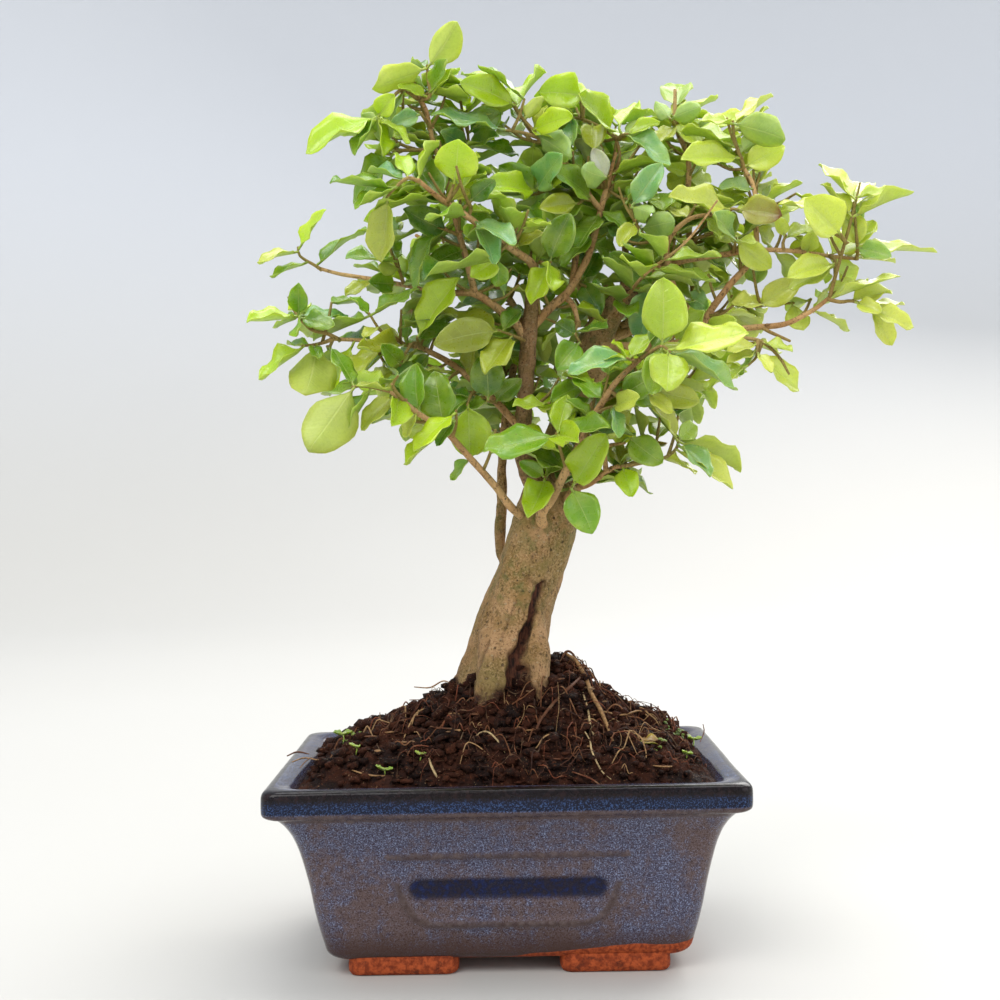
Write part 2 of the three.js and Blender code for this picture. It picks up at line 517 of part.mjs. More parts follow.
// Leafy limbs. Each has its branches, twigs that the picture shows (picture x, y and depth),
// and leaves: picture base x, y, tip x, y, width, then how much deeper the tip lies in
// millimetres, tone, and side seen (1 upper, -1 under).
const TRUNK_BRANCHES = ['leader', 'leaderStub', 'rearStem'];
const LIMBS = [
  {
    name: 'limb_left_high',
    branches: ['leftHigh', 'leftRiser'],
    twigs: [
      [[322, 270, 10], [316, 266, 9], [300, 256, 8], [298, 247, 8]],
      [[404, 285, 0], [400, 272, -3], [397, 259, -5]],
      [[459, 235, -13], [446, 230, -17], [434, 228, -19]],
      [[419, 101, -18], [430, 96, -20], [428, 80, -21], [427, 65, -22]],
      [[418, 99, -18], [402, 90, -21], [388, 103, -25], [376, 119, -28]],
      [[431, 128, -17], [424, 118, -22], [420, 112, -24]],
      [[447, 180, -15], [460, 160, -10], [468, 148, -8], [468, 133, -6], [467, 110, -5]],
      [[435, 150, -16], [418, 150, -20], [404, 150, -23], [393, 152, -25]],
    ],
    leaves: [
      [298, 248, 321, 207, 14, -6, 0, 1], [297, 253, 257, 256, 9, -8, 4, 1],
      [318, 263, 360, 220, 11, 8, 1, 1], [310, 262, 269, 270, 6, -7, 1, 1],
      [396, 283, 372, 281, 21, -10, 2, 1], [400, 268, 376, 268, 15, -6, 4, -1],
      [397, 260, 348, 251, 12, -10, 1, 1], [396, 259, 390, 232, 14, 6, 1, 1],
      [402, 290, 440, 272, 12, -8, 1, 1], [372, 279, 345, 292, 14, -8, 5, 1],
      [432, 228, 408, 283, 17, -8, 1, 1], [450, 227, 407, 209, 28, -12, 2, 1],
      [430, 62, 459, 22, 32, -6, 4, -1], [425, 62, 370, 85, 20, -8, 4, -1],
      [431, 92, 441, 59, 15, -8, 2, 1], [428, 92, 412, 76, 12, 8, 3, 1],
      [426, 68, 413, 60, 8, 8, 2, 1], [427, 97, 400, 83, 12, -6, 0, 1],
      [376, 119, 392, 95, 22, 8, 0, 1], [375, 120, 304, 144, 30, -8, 0, 1],
      [403, 92, 385, 120, 16, -12, 2, 1], [380, 120, 350, 150, 14, -10, 1, 1],
      [381, 121, 412, 137, 10, -6, 0, 1], [382, 122, 389, 153, 9, -6, 0, 1],
      [420, 112, 392, 122, 18, -8, 3, 1], [470, 149, 443, 132, 22, -10, 3, 1],
      [468, 133, 500, 112, 30, -4, 2, 1], [470, 149, 495, 133, 18, -12, 2, 1],
      [470, 145, 520, 150, 18, 6, 2, 1], [467, 112, 455, 124, 18, -8, 4, -1],
      [467, 110, 425, 97, 10, -6, 0, 1], [393, 152, 350, 196, 26, -8, 2, 1],
      [455, 222, 420, 250, 16, -12, 1, 1], [463, 250, 430, 262, 20, -10, 2, 1],
    ],
    most: 7,
  },
  {
    name: 'limb_forward',
    branches: ['forward'],
    twigs: [
      [[420, 182, -42], [408, 178, -43], [395, 188, -44], [386, 199, -44]],
      [[447, 203, -35], [451, 192, -36], [455, 181, -37]],
      [[468, 217, -28], [471, 208, -31], [468, 200, -33]],
      [[503, 243, -20], [500, 252, -24], [497, 261, -26]],
      [[515, 251, -17], [514, 243, -20], [516, 234, -21]],
    ],
    leaves: [
      [386, 200, 377, 262, 30, 4, 4, 1], [398, 188, 353, 203, 12, -8, 1, 1],
      [403, 178, 369, 164, 12, 6, 3, 1], [409, 178, 400, 148, 18, 8, 0, 1],
      [419, 178, 428, 137, 10, 4, 0, 1], [456, 179, 458, 141, 44, -8, 0, 1],
      [468, 199, 493, 180, 20, -6, 2, 1], [470, 214, 422, 207, 11, -10, 1, 1],
      [472, 211, 493, 208, 11, 6, 0, 1], [474, 218, 515, 237, 20, -12, 3, 1],
      [476, 223, 498, 259, 12, -8, 3, 1], [497, 262, 472, 275, 26, -6, 0, 1],
      [497, 262, 499, 288, 20, -8, 1, 1], [497, 258, 422, 268, 24, -10, 2, -1],
      [514, 247, 541, 230, 12, -4, 5, 1], [517, 235, 545, 228, 9, 6, 0, 1],
      [500, 243, 476, 205, 14, -8, 2, 1],
    ],
    most: 5,
  },
  {
    name: 'limb_left_middle',
    branches: ['leftMiddle'],
    twigs: [
      [[340, 340, -10], [328, 334, -13], [312, 330, -15], [303, 322, -14], [297, 314, -13]],
      [[333, 339, -11], [322, 343, -9], [312, 345, -10], [302, 346, -12]],
      [[400, 343, -4], [392, 338, -8], [380, 330, -10], [369, 313, -11]],
      [[424, 349, -2], [414, 343, -8], [405, 354, -13], [400, 366, -15]],
      [[460, 371, -3], [452, 376, -10], [446, 383, -14]],
      [[480, 388, -5], [472, 394, -14], [467, 405, -20]],
      [[497, 403, -7], [492, 402, -13], [487, 401, -17]],
      [[420, 347, -2], [418, 342, -10], [417, 337, -16]],
    ],
    leaves: [
      [296, 312, 298, 285, 20, -8, 1, 1], [297, 314, 247, 316, 11, -10, 0, 1],
      [298, 316, 271, 323, 7, 8, 1, 1], [299, 318, 292, 332, 9, -12, 1, 1],
      [298, 312, 348, 309, 15, 8, 3, 1], [300, 317, 332, 322, 18, -12, 2, 1],
      [301, 347, 256, 373, 15, -6, 0, 1], [318, 347, 306, 400, 48, -10, 4, -1],
      [312, 342, 319, 356, 11, -8, 1, 1], [310, 343, 288, 340, 9, 8, 1, 1],
      [369, 313, 415, 284, 11, -8, 1, 1], [370, 313, 311, 333, 14, -8, 1, 1],
      [370, 314, 352, 294, 8, 6, 1, 1], [380, 328, 363, 333, 9, -8, 4, 1],
      [405, 342, 378, 325, 12, -6, 5, 1], [408, 345, 364, 338, 9, -10, 5, 1],
      [384, 344, 352, 371, 20, -10, 5, 1], [402, 368, 385, 347, 20, -6, 2, 1],
      [446, 383, 397, 379, 24, -10, 2, 1], [458, 374, 420, 366, 12, -6, 4, 1],
      [466, 405, 471, 458, 42, -6, 0, 1], [470, 398, 446, 384, 12, 8, 2, 1],
      [470, 377, 470, 345, 16, -8, 5, 1], [487, 400, 484, 354, 35, -4, 2, 1],
      [489, 402, 452, 410, 18, 6, 1, 1], [417, 338, 453, 276, 30, -4, 0, 1],
      [419, 342, 444, 308, 30, 8, 2, 1], [495, 402, 520, 380, 20, 8, 2, 1],
      [430, 352, 410, 376, 16, 6, 2, 1], [505, 412, 540, 394, 22, 10, 2, 1],
    ],
    most: 6,
  },
  {
    name: 'limb_left_low',
    branches: ['leftLow'],
    twigs: [
      [[390, 391, -34], [372, 387, -36], [360, 386, -38], [352, 387, -38]],
      [[403, 400, -33], [396, 392, -38], [393, 384, -41], [398, 376, -43]],
      [[452, 438, -24], [456, 424, -30], [456, 410, -33]],
    ],
    leaves: [
      [351, 387, 309, 455, 52, -8, 4, -1], [354, 386, 335, 345, 16, 6, 1, 1],
      [398, 376, 380, 379, 10, 6, 2, 1], [396, 389, 357, 380, 9, -6, 4, 1],
      [394, 394, 359, 427, 20, -8, 4, 1], [398, 397, 396, 421, 20, -10, 0, 1],
      [415, 412, 403, 434, 12, -6, 4, 1], [456, 409, 411, 445, 18, -8, 0, 1],
      [454, 420, 436, 443, 15, -4, 2, 1], [470, 458, 448, 478, 12, 8, 1, 1],
    ],
    most: 6,
  },
  {
    name: 'limb_right_front',
    branches: ['rightFront'],
    twigs: [
      [[567, 470, -20], [561, 452, -25], [556, 433, -28]],
      [[640, 359, -34], [650, 352, -38], [662, 346, -41], [670, 352, -43]],
      [[638, 361, -33], [632, 360, -37], [627, 358, -39]],
      [[611, 391, -29], [618, 396, -33], [630, 397, -34], [645, 394, -35], [657, 390, -36]],
      [[597, 413, -27], [608, 408, -31], [616, 406, -33]],
    ],
    leaves: [
      [554, 431, 568, 393, 26, 4, 0, 1], [553, 432, 485, 445, 30, -10, 1, 1],
      [559, 433, 607, 422, 18, -8, 1, 1], [556, 434, 573, 437, 12, -14, 0, 1],
      [560, 430, 590, 390, 22, 8, 2, 1], [662, 345, 664, 279, 46, -6, 0, 1],
      [672, 352, 746, 327, 30, -8, 0, 1], [670, 354, 668, 388, 40, -8, 0, 1],
      [676, 355, 742, 381, 18, -4, 3, 1], [627, 358, 569, 367, 22, -6, 3, 1],
      [629, 356, 655, 328, 16, 6, 0, 1], [629, 354, 617, 338, 12, 4, 0, 1],
      [620, 396, 655, 376, 28, -4, 2, 1], [624, 397, 662, 396, 24, -8, 1, 1],
      [648, 395, 672, 410, 16, -6, 4, 1], [657, 389, 700, 401, 26, -6, 5, 1],
      [612, 407, 606, 427, 15, -6, 2, 1], [616, 407, 622, 434, 14, -9, 3, 1],
      [617, 406, 634, 427, 14, 6, 5, 1], [617, 404, 634, 396, 14, 4, 4, 1],
      [592, 420, 570, 396, 16, 8, 2, 1], [604, 400, 575, 372, 20, 8, 1, 1],
    ],
    most: 5,
  },
  {
    name: 'limb_right_low',
    branches: ['rightLow', 'rightLowStub'],
    twigs: [
      [[577, 489, -14], [573, 487, -20], [570, 487, -24]],
      [[620, 467, -21], [636, 464, -22], [652, 461, -23], [668, 456, -24], [677, 447, -25], [678, 438, -25]],
    ],
    leaves: [
      [572, 486, 600, 437, 30, -6, 0, 1], [568, 488, 592, 532, 36, -6, 1, 1],
      [622, 469, 632, 493, 24, -8, 0, 1], [623, 466, 617, 442, 20, 4, 5, 1],
      [628, 436, 661, 461, 30, -6, 1, 1], [675, 450, 736, 482, 20, -6, 4, 1],
      [678, 444, 712, 471, 18, -12, 3, 1], [679, 439, 742, 463, 18, 6, 0, 1],
      [678, 438, 698, 423, 20, 6, 1, 1], [675, 438, 657, 405, 14, -6, 5, 1],
      [664, 458, 700, 466, 12, 8, 4, 1],
    ],
    most: 2,
  },
  {
    name: 'limb_middle_high',
    branches: ['middleHigh', 'middleStub', 'middleDown', 'middleFork'],
    twigs: [
      [[617, 140, 1], [622, 135, -2], [628, 134, -4]],
      [[617, 138, 1], [600, 127, 0], [582, 119, -2], [568, 118, -3]],
      [[582, 119, -2], [584, 106, -3], [586, 93, -4]],
      [[606, 188, 0], [606, 182, -7], [609, 176, -11]],
      [[579, 322, -6], [575, 332, -12], [581, 344, -16]],
      [[571, 288, -4], [578, 283, 4], [584, 280, 8]],
    ],
    leaves: [
      [586, 93, 541, 90, 36, -6, 0, 1], [568, 118, 570, 143, 14, -6, 3, 1],
      [592, 123, 594, 146, 26, -6, 5, 1], [628, 135, 671, 158, 22, -10, 3, 1],
      [624, 134, 647, 122, 18, 4, 3, -1], [628, 133, 658, 118, 12, 6, 0, 1],
      [617, 128, 588, 92, 26, -8, 0, 1], [618, 127, 637, 99, 16, 8, 0, 1],
      [614, 128, 584, 110, 14, 6, 3, -1], [608, 179, 578, 170, 26, -8, 3, -1],
      [606, 182, 580, 140, 16, 6, 3, -1], [609, 175, 622, 139, 24, 8, 3, 1],
      [606, 180, 594, 148, 18, 10, 1, 1], [608, 182, 638, 173, 15, 6, 0, 1],
      [581, 344, 558, 368, 28, -6, 1, 1], [577, 336, 556, 322, 20, 6, 2, 1],
      [582, 281, 600, 312, 26, -6, 2, 1], [584, 280, 600, 250, 22, 6, 2, 1],
      [602, 212, 628, 226, 16, -8, 1, 1], [592, 245, 620, 250, 22, 10, 2, 1],
      [600, 214, 574, 240, 22, -10, 2, 1], [595, 235, 560, 262, 20, 8, 1, 1],
    ],
    most: 4,
  },
  {
    name: 'limb_right_middle',
    branches: ['rightMiddle', 'rightSpike', 'rightTwig', 'rightDroop'],
    twigs: [
      [[758, 341, -19], [757, 348, -21], [757, 355, -22]],
      [[827, 299, -15], [840, 302, -16], [852, 301, -17], [866, 306, -18], [873, 311, -19]],
      [[846, 243, -17], [843, 238, -21], [841, 234, -23]],
    ],
    leaves: [
      [757, 345, 729, 347, 11, -6, 5, 1], [762, 343, 793, 348, 10, -6, 1, 1],
      [756, 351, 727, 359, 11, -8, 4, 1], [757, 356, 773, 369, 12, -6, 4, 1],
      [758, 353, 804, 387, 24, -9, 0, 1], [850, 299, 893, 285, 20, 6, 4, 1],
      [854, 302, 880, 309, 16, -8, 4, 1], [873, 311, 914, 323, 20, -6, 4, 1],
      [872, 312, 895, 344, 24, -8, 4, 1], [868, 307, 902, 297, 14, 6, 5, 1],
      [842, 233, 808, 199, 42, -6, 0, 1], [857, 198, 888, 188, 11, -4, 1, 1],
      [700, 335, 722, 352, 16, -10, 1, 1], [672, 344, 700, 312, 20, -4, 1, 1],
      [706, 334, 732, 318, 14, -8, 1, 1],
    ],
    most: 6,
  },
  {
    name: 'limb_right_inner',
    branches: ['rightInner', 'rightInnerFork'],
    twigs: [
      [[642, 234, -8], [634, 220, -12], [630, 205, -14]],
      [[726, 211, -11], [733, 209, -13], [739, 210, -14]],
    ],
    leaves: [
      [631, 204, 661, 162, 26, -4, 3, 1], [632, 207, 654, 216, 20, -10, 3, -1],
      [641, 229, 678, 222, 28, -10, 3, -1], [634, 222, 620, 242, 18, -8, 5, 1],
      [739, 211, 781, 214, 30, -6, 5, 1], [729, 208, 672, 191, 26, -8, 5, 1],
      [705, 216, 722, 236, 14, -8, 1, 1], [690, 219, 664, 204, 16, 8, 4, 1],
      [667, 248, 640, 256, 20, 8, 1, 1], [672, 236, 700, 250, 14, 8, 1, 1],
    ],
    most: 3,
  },
  {
    name: 'limb_right_high',
    branches: ['rightHigh'],
    twigs: [
      [[645, 278, 8], [652, 284, 4], [656, 289, 1]],
      [[733, 253, -7], [735, 245, -10], [736, 238, -12]],
      [[829, 256, -8], [835, 260, -11], [835, 268, -13]],
      [[856, 259, -8], [858, 252, -11], [857, 245, -13]],
      [[784, 251, -9], [783, 243, -11], [786, 235, -12]],
    ],
    leaves: [
      [654, 289, 611, 256, 30, -8, 2, 1], [656, 286, 640, 249, 20, 8, 1, 1],
      [736, 238, 722, 213, 18, -6, 3, 1], [734, 243, 714, 231, 14, -8, 1, 1],
      [736, 241, 755, 240, 9, -6, 1, 1], [737, 240, 772, 268, 26, 10, 0, 1],
      [838, 264, 790, 273, 24, -8, 0, 1], [834, 269, 789, 285, 22, -12, 1, 1],
      [829, 255, 789, 242, 24, 4, 5, 1], [857, 245, 849, 211, 26, -6, 0, 1],
      [858, 247, 873, 216, 20, 6, 0, 1], [860, 248, 889, 254, 20, -10, 3, 1],
      [858, 258, 897, 256, 18, 8, 4, 1], [860, 250, 938, 242, 13, 4, 4, 1],
      [786, 236, 778, 216, 14, -6, 0, 1], [786, 234, 818, 222, 18, 6, 1, 1],
      [806, 253, 812, 233, 18, 8, 1, 1], [681, 262, 706, 290, 16, 8, 2, 1],
    ],
    most: 6,
  },
  {
    name: 'limb_right_riser',
    branches: ['rightRiser'],
    twigs: [
      [[744, 169, -2], [741, 158, -4], [737, 148, -6], [734, 135, -6], [733, 121, -6]],
      [[707, 316, -8], [730, 310, -2], [760, 306, 0], [794, 303, 1]],
      [[755, 212, -4], [755, 203, -1], [760, 197, 1]],
    ],
    leaves: [
      [740, 157, 684, 154, 28, -8, 0, 1], [744, 167, 784, 146, 28, -6, 0, 1],
      [740, 154, 766, 131, 14, 4, 3, -1], [734, 124, 790, 138, 26, -8, 3, -1],
      [734, 130, 768, 128, 14, 6, 2, 1], [733, 120, 770, 90, 10, 8, 4, 1],
      [733, 122, 704, 116, 12, -8, 0, 1], [735, 136, 716, 164, 16, 6, 2, 1],
      [796, 303, 803, 333, 24, -6, 4, -1], [768, 305, 735, 298, 16, -8, 4, 1],
      [750, 307, 700, 277, 20, 6, 2, 1], [757, 306, 800, 281, 26, -6, 5, 1],
      [754, 190, 722, 183, 16, -8, 3, 1], [760, 197, 777, 190, 16, 6, 2, 1],
      [756, 226, 775, 246, 20, -8, 0, 1],
    ],
    most: 4,
  },
  {
    name: 'limb_rear_riser',
    branches: ['rearRiser', 'rearRiserTwig'],
    twigs: [
      [[676, 128, 20], [673, 122, 16], [670, 119, 13]],
      [[688, 299, 19], [684, 294, 14], [681, 291, 11]],
      [[687, 152, 20], [694, 143, 18], [700, 132, 17]],
    ],
    leaves: [
      [671, 120, 703, 108, 22, -8, 3, -1], [670, 120, 656, 104, 16, 6, 3, -1],
      [677, 123, 700, 142, 22, -10, 0, 1], [674, 126, 658, 141, 20, -10, 5, 1],
      [698, 133, 748, 113, 16, -6, 0, 1], [700, 133, 716, 118, 18, 6, 3, -1],
      [681, 291, 701, 279, 24, -8, 2, 1], [684, 294, 710, 307, 22, -6, 3, 1],
      [683, 172, 668, 166, 14, -6, 0, 1], [728, 228, 716, 240, 12, -6, 0, 1],
      [690, 180, 715, 180, 20, 8, 0, 1], [690, 175, 664, 184, 20, 8, 4, 1],
    ],
    most: 8,
  },
  {
    name: 'spray_leader_left',
    branches: [],
    twigs: [[[528, 342, -9], [514, 336, -16], [498, 330, -21]]],
    leaves: [
      [497, 330, 436, 343, 35, -8, 5, 1], [500, 328, 442, 305, 20, -6, 5, 1],
      [510, 338, 484, 368, 26, -14, 5, 1], [503, 330, 520, 306, 18, 6, 2, 1],
    ],
    most: 3,
  },
  {
    name: 'spray_leader_top',
    branches: [],
    twigs: [[[540, 262, -10], [546, 264, -12], [551, 262, -14]]],
    leaves: [
      [551, 262, 570, 214, 32, -6, 2, 1], [549, 264, 530, 300, 24, -8, 0, 1],
      [550, 264, 558, 282, 14, -10, 0, 1],
    ],
    most: 2,
  },
  {
    name: 'spray_leader_right',
    branches: [],
    twigs: [[[525, 402, -8], [538, 404, -15], [550, 403, -18]]],
    leaves: [
      [549, 404, 514, 402, 12, -8, 0, 1], [551, 403, 582, 384, 22, 6, 1, 1],
      [545, 404, 556, 430, 18, 8, 2, 1],
    ],
    most: 3,
  },
  {
    name: 'spray_fork',
    branches: [],
    twigs: [[[552, 484, -2], [548, 479, -12], [545, 477, -16]]],
    leaves: [
      [546, 476, 575, 438, 24, 4, 2, 1], [545, 478, 528, 512, 26, -6, 0, 1],
      [546, 477, 520, 462, 16, 4, 1, 1],
    ],
    most: 0,
  },
  {
    name: 'spray_rear_stem',
    branches: [],
    twigs: [[[508, 400, 14], [502, 380, 16], [506, 358, 17], [500, 338, 17]]],
    most: 8, away: 0,
  },
  ...Object.keys(REAR_BRANCHES).map((name) => ({
    name: `limb_${name}`, branches: [name], most: 10, away: 0, thickest: 1.9, spacing: 7.5,
  })),
  {
    name: 'limb_middle_top',
    branches: ['middleTop'],
    twigs: [
      [[537, 137, -11], [524, 133, -14], [512, 131, -16], [503, 130, -17]],
      [[539, 139, -10], [531, 128, -12], [520, 115, -14], [514, 103, -15]],
      [[588, 194, -3], [582, 201, -8], [578, 204, -10]],
      [[568, 169, -8], [554, 184, -4], [542, 192, -6], [534, 191, -8]],
    ],
    leaves: [
      [506, 131, 434, 107, 20, -10, 3, 1], [516, 101, 464, 80, 30, -10, 0, 1],
      [516, 99, 465, 66, 20, 10, 0, 1], [518, 108, 538, 66, 18, 8, 0, 1],
      [524, 120, 540, 97, 12, 8, 4, -1], [533, 129, 567, 114, 26, -14, 0, 1],
      [537, 134, 577, 157, 16, -10, 3, -1], [590, 200, 562, 168, 24, -10, 1, 1],
      [578, 204, 541, 207, 22, -6, 5, 1], [585, 199, 553, 224, 18, -8, 2, 1],
      [534, 190, 502, 166, 28, -8, 1, 1], [536, 191, 556, 156, 28, -6, 3, 1],
      [545, 190, 564, 170, 14, -14, 0, 1], [534, 192, 493, 178, 12, -12, 0, 1],
    ],
    most: 4,
  },
];

// Sizes of leaves, twigs and leaf stalks
const LEAF = { keel: 1.3, fold: 0.16, droop: 0.12, wave: 0.035, slim: 0.5, flattest: 2.4 };
const RULED = {
  length: 15, moreLength: 9, slim: 0.5, moreSlim: 0.16, lean: 0.5, moreLean: 0.5, scatter: 0.6,
  tries: 9, swing: 0.7, shrink: 0.045, steepest: 0.35, inward: 0.25,
};
const TWIG_RADIUS = [0.95, 0.65];
const STALK_HALF = 0.5;
const STALK_LEAST = 3;
const STALK_BACK = -0.3;

// How close leaves may come to leaves and wood, in millimetres
const LEAF_CLEAR = 2.8;
const OWN_LEAF_CLEAR = 1.5;
const WOOD_CLEAR = 1.5;
const WOOD_STEP = 2.5;
const NEAR = 34;

// Changes that a seen leaf tries in turn until it is clear: extra depth of its tip, extra roll
const TRIES = [
  [0, 0], [5, 0], [-5, 0], [0, 25], [0, -25], [9, 10], [-9, -10], [13, 0], [-13, 0], [6, 40],
  [-6, -40], [17, 20], [-17, -20], [11, -40], [-11, 40], [20, 0], [-20, 0],
];

const FACING = new THREE.Vector3(0, -1, 0);
const UP = new THREE.Vector3(0, 0, 1);

// A leaf's frame: base, direction, upper side, breadth
function leafFrame(base, tip, upper, width) {
  const direction = tip.clone().sub(base);
  const length = direction.length();
  direction.divideScalar(length);
  const normal = upper.clone().addScaledVector(direction, -upper.dot(direction)).normalize();
  const side = direction.clone().cross(normal);
  return { base, direction, normal, side, length, width };
}

// A point of a leaf: share of its length, share of its half width, lift along its upper side
function leafPoint(leaf, share, across, lift = 0) {
  const arch = -LEAF.droop * leaf.length * share * share;
  const rise = LEAF.fold * Math.abs(across) * leaf.width;
  return leaf.base.clone()
    .addScaledVector(leaf.direction, share * leaf.length)
    .addScaledVector(leaf.side, (across * leaf.width) / 2)
    .addScaledVector(leaf.normal, arch + rise + lift);
}

// Half width along the blade as a share of the widest
const BLADE = [[0, 0.02], [0.12, 0.2], [0.3, 0.86], [0.45, 1], [0.62, 0.9], [0.85, 0.45], [1, 0]];

// Places on a blade that are kept clear of everything else
function leafProbe(leaf) {
  const probe = [];
  for (const share of [0.3, 0.45, 0.6, 0.75, 0.88, 1]) {
    for (const across of [-1, -0.5, 0, 0.5, 1]) {
      probe.push(leafPoint(leaf, share, across * along(BLADE, share)));
    }
  }
  return probe;
}

// The solid blade: one rim with waved edges, a fan from it to the rib above and one to the keel
// under it. Where it starts away from the wood, a narrow stalk runs back to it.
function leafSolid(leaf) {
  const [low, high] = [[0.34, 0.92], [0.7, 0.76]];
  const [waveLeft, waveRight] = leaf.waves.map((wave) => wave * LEAF.wave * leaf.length);
  const points = [
    leaf.base,
    leafPoint(leaf, low[0], low[1], waveRight),
    leafPoint(leaf, high[0], high[1], -waveRight),
    leafPoint(leaf, 1, 0),
    leafPoint(leaf, high[0], -high[1], waveLeft),
    leafPoint(leaf, low[0], -low[1], -waveLeft),
    leafPoint(leaf, 0.5, 0),
    leafPoint(leaf, 0.5, 0, -LEAF.keel),
  ];
  const [base, right1, right2, tip, left2, left1, rib, keel] = points.keys();
  const outer = [right1, right2, tip, left2, left1];
  const fan = (rim, apex) => rim.map((from, i) => [from, rim[(i + 1) % rim.length], apex]);
  const back = leaf.stalk ? leaf.stalk.clone().sub(leaf.base).normalize().dot(leaf.direction) : 0;
  if (!leaf.stalk || back > STALK_BACK) {
    const under = fan([base, ...outer], keel).map((face) => face.reverse());
    const blade = solidOf(geometryOf(points, [...fan([base, ...outer], rib), ...under]));
    if (!leaf.stalk) return blade;
    const inside = leafPoint(leaf, 0.1, 0, -0.1 * LEAF.keel);
    return union([blade, solidOf(tube([leaf.stalk, inside], [STALK_HALF, STALK_HALF], 3))]);
  }
  const [neckRight, neckLeft, neckUnder] = [8, 9, 10];
  points.push(
    leaf.base.clone().addScaledVector(leaf.side, STALK_HALF),
    leaf.base.clone().addScaledVector(leaf.side, -STALK_HALF),
    leaf.base.clone().addScaledVector(leaf.normal, -2 * STALK_HALF),
  );
  points[base] = leaf.stalk;
  const upper = fan([neckRight, ...outer, neckLeft], rib);
  const under = fan([neckUnder, neckRight, ...outer, neckLeft], keel).map((face) => face.reverse());
  const stalk = [
    [base, neckRight, neckLeft], [base, neckUnder, neckRight], [base, neckLeft, neckUnder],
  ];
  return solidOf(geometryOf(points, [...upper, ...under, ...stalk]));
}

// Evenly spaced places along a line of points, with the radius there
function spaced(points, radii, step) {
  const places = [];
  for (let i = 1; i < points.length; i += 1) {
    const count = Math.max(1, Math.ceil(points[i].distanceTo(points[i - 1]) / step));
    for (let k = 0; k < count; k += 1) {
      places.push({
        at: points[i - 1].clone().lerp(points[i], k / count),
        radius: radii[i - 1] + (radii[i] - radii[i - 1]) * (k / count),
        along: points[i].clone().sub(points[i - 1]).normalize(),
      });
    }
  }
  return places;
}

function twigLine(rows) {
  const points = rows.map(([px, py, depth]) => seen(px, py, depth));
  const last = points.length - 1;
  const radii = points.map((_, i) => TWIG_RADIUS[0] + ((TWIG_RADIUS[1] - TWIG_RADIUS[0]) * i) / last);
  return { points, radii };
}

// Each limb's lines of wood: its branches first, then its twigs
const LIMB_LINES = LIMBS.map((limb) => [
  ...limb.branches.map((name) => BRANCHES[name]),
  ...(limb.twigs ?? []).map(twigLine),
]);

// Everything that leaves are kept clear of, each with the limb it belongs to (-1 for the trunk)
const woodPlaces = [];
LIMB_LINES.forEach((lines, owner) => {
  for (const { points, radii } of lines) {
    spaced(points, radii, WOOD_STEP).forEach(({ at, radius }) => woodPlaces.push({ at, radius, owner }));
  }
});
const trunkPoints = TRUNK.map(([x, y, z]) => new THREE.Vector3(x, y, z));
const trunkRadii = TRUNK.map((row) => row[3] * 1.1);
const trunkLines = [
  { points: trunkPoints, radii: trunkRadii },
  ...TRUNK_BRANCHES.map((name) => BRANCHES[name]),
];
for (const { points, radii } of trunkLines) {
  spaced(points, radii, WOOD_STEP).forEach(({ at, radius }) => woodPlaces.push({ at, radius, owner: -1 }));
}
const leafPlaces = [];

// Whether a leaf stays clear of the wood and of the leaves placed before it
function isClear(leaf, owner) {
  const probe = leafProbe(leaf);
  const middle = leafPoint(leaf, 0.55, 0);
  for (const wood of woodPlaces) {
    const reach = wood.radius + (wood.owner === owner ? WOOD_CLEAR * 0.6 : WOOD_CLEAR);
    if (wood.at.distanceTo(middle) < NEAR) {
      if (probe.some((point) => point.distanceTo(wood.at) < reach)) return false;
    }
  }
  for (const other of leafPlaces) {
    if (other.middle.distanceTo(middle) < NEAR) {
      const reach = other.owner === owner ? OWN_LEAF_CLEAR : LEAF_CLEAR;
      if (probe.some((point) => other.probe.some((place) => place.distanceTo(point) < reach))) {
        return false;
      }
    }
  }
  return true;
}

function keepClear(leaf, owner) {
  leafPlaces.push({ owner, middle: leafPoint(leaf, 0.55, 0), probe: leafProbe(leaf) });
}

// The nearest place of a limb's wood to a picture position, as the picture shows it
function nearestWood(px, py, places) {
  let best = null;
  let bestGap = Infinity;
  for (const place of places) {
    const shown = seen(px, py, place.at.y);
    const gap = Math.hypot(shown.x - place.at.x, shown.z - place.at.z);
    if (gap < bestGap) {
      bestGap = gap;
      best = { place, shown, gap };
    }
  }
  return best;
}

// A leaf that the picture shows, on its limb, changed until it is clear
function seenLeaf(row, places, owner, random) {
  const [baseX, baseY, tipX, tipY, width, deeper, , side] = row;
  const { place, shown, gap } = nearestWood(baseX, baseY, places);
  const base = gap < STALK_LEAST ? place.at : shown;
  const waves = [2 * random() - 1, 2 * random() - 1];
  for (const [moreDeep, moreRoll] of TRIES) {
    const tip = seen(tipX, tipY, base.y + deeper + moreDeep);
    const direction = tip.clone().sub(base).normalize();
    const length = tip.distanceTo(base);
    const seenWidth = (width * (base.y - EYE.y)) / EYE.focal;
    const trueWidth = Math.max(seenWidth, Math.min(LEAF.slim * length, seenWidth * LEAF.flattest));
    const facing = FACING.clone().addScaledVector(direction, -FACING.dot(direction)).normalize();
    let rise = facing.clone().cross(direction);
    if (rise.z < 0) rise = rise.negate();
    const roll = Math.acos(Math.min(1, seenWidth / trueWidth)) + THREE.MathUtils.degToRad(moreRoll);
    const upper = facing.multiplyScalar(side * Math.cos(roll)).addScaledVector(rise, Math.sin(roll));
    const leaf = leafFrame(base, tip, upper, trueWidth);
    leaf.waves = waves;
    if (gap >= STALK_LEAST) leaf.stalk = place.at;
    if (isClear(leaf, owner)) {
      keepClear(leaf, owner);
      return leaf;
    }
  }
  return null;
}

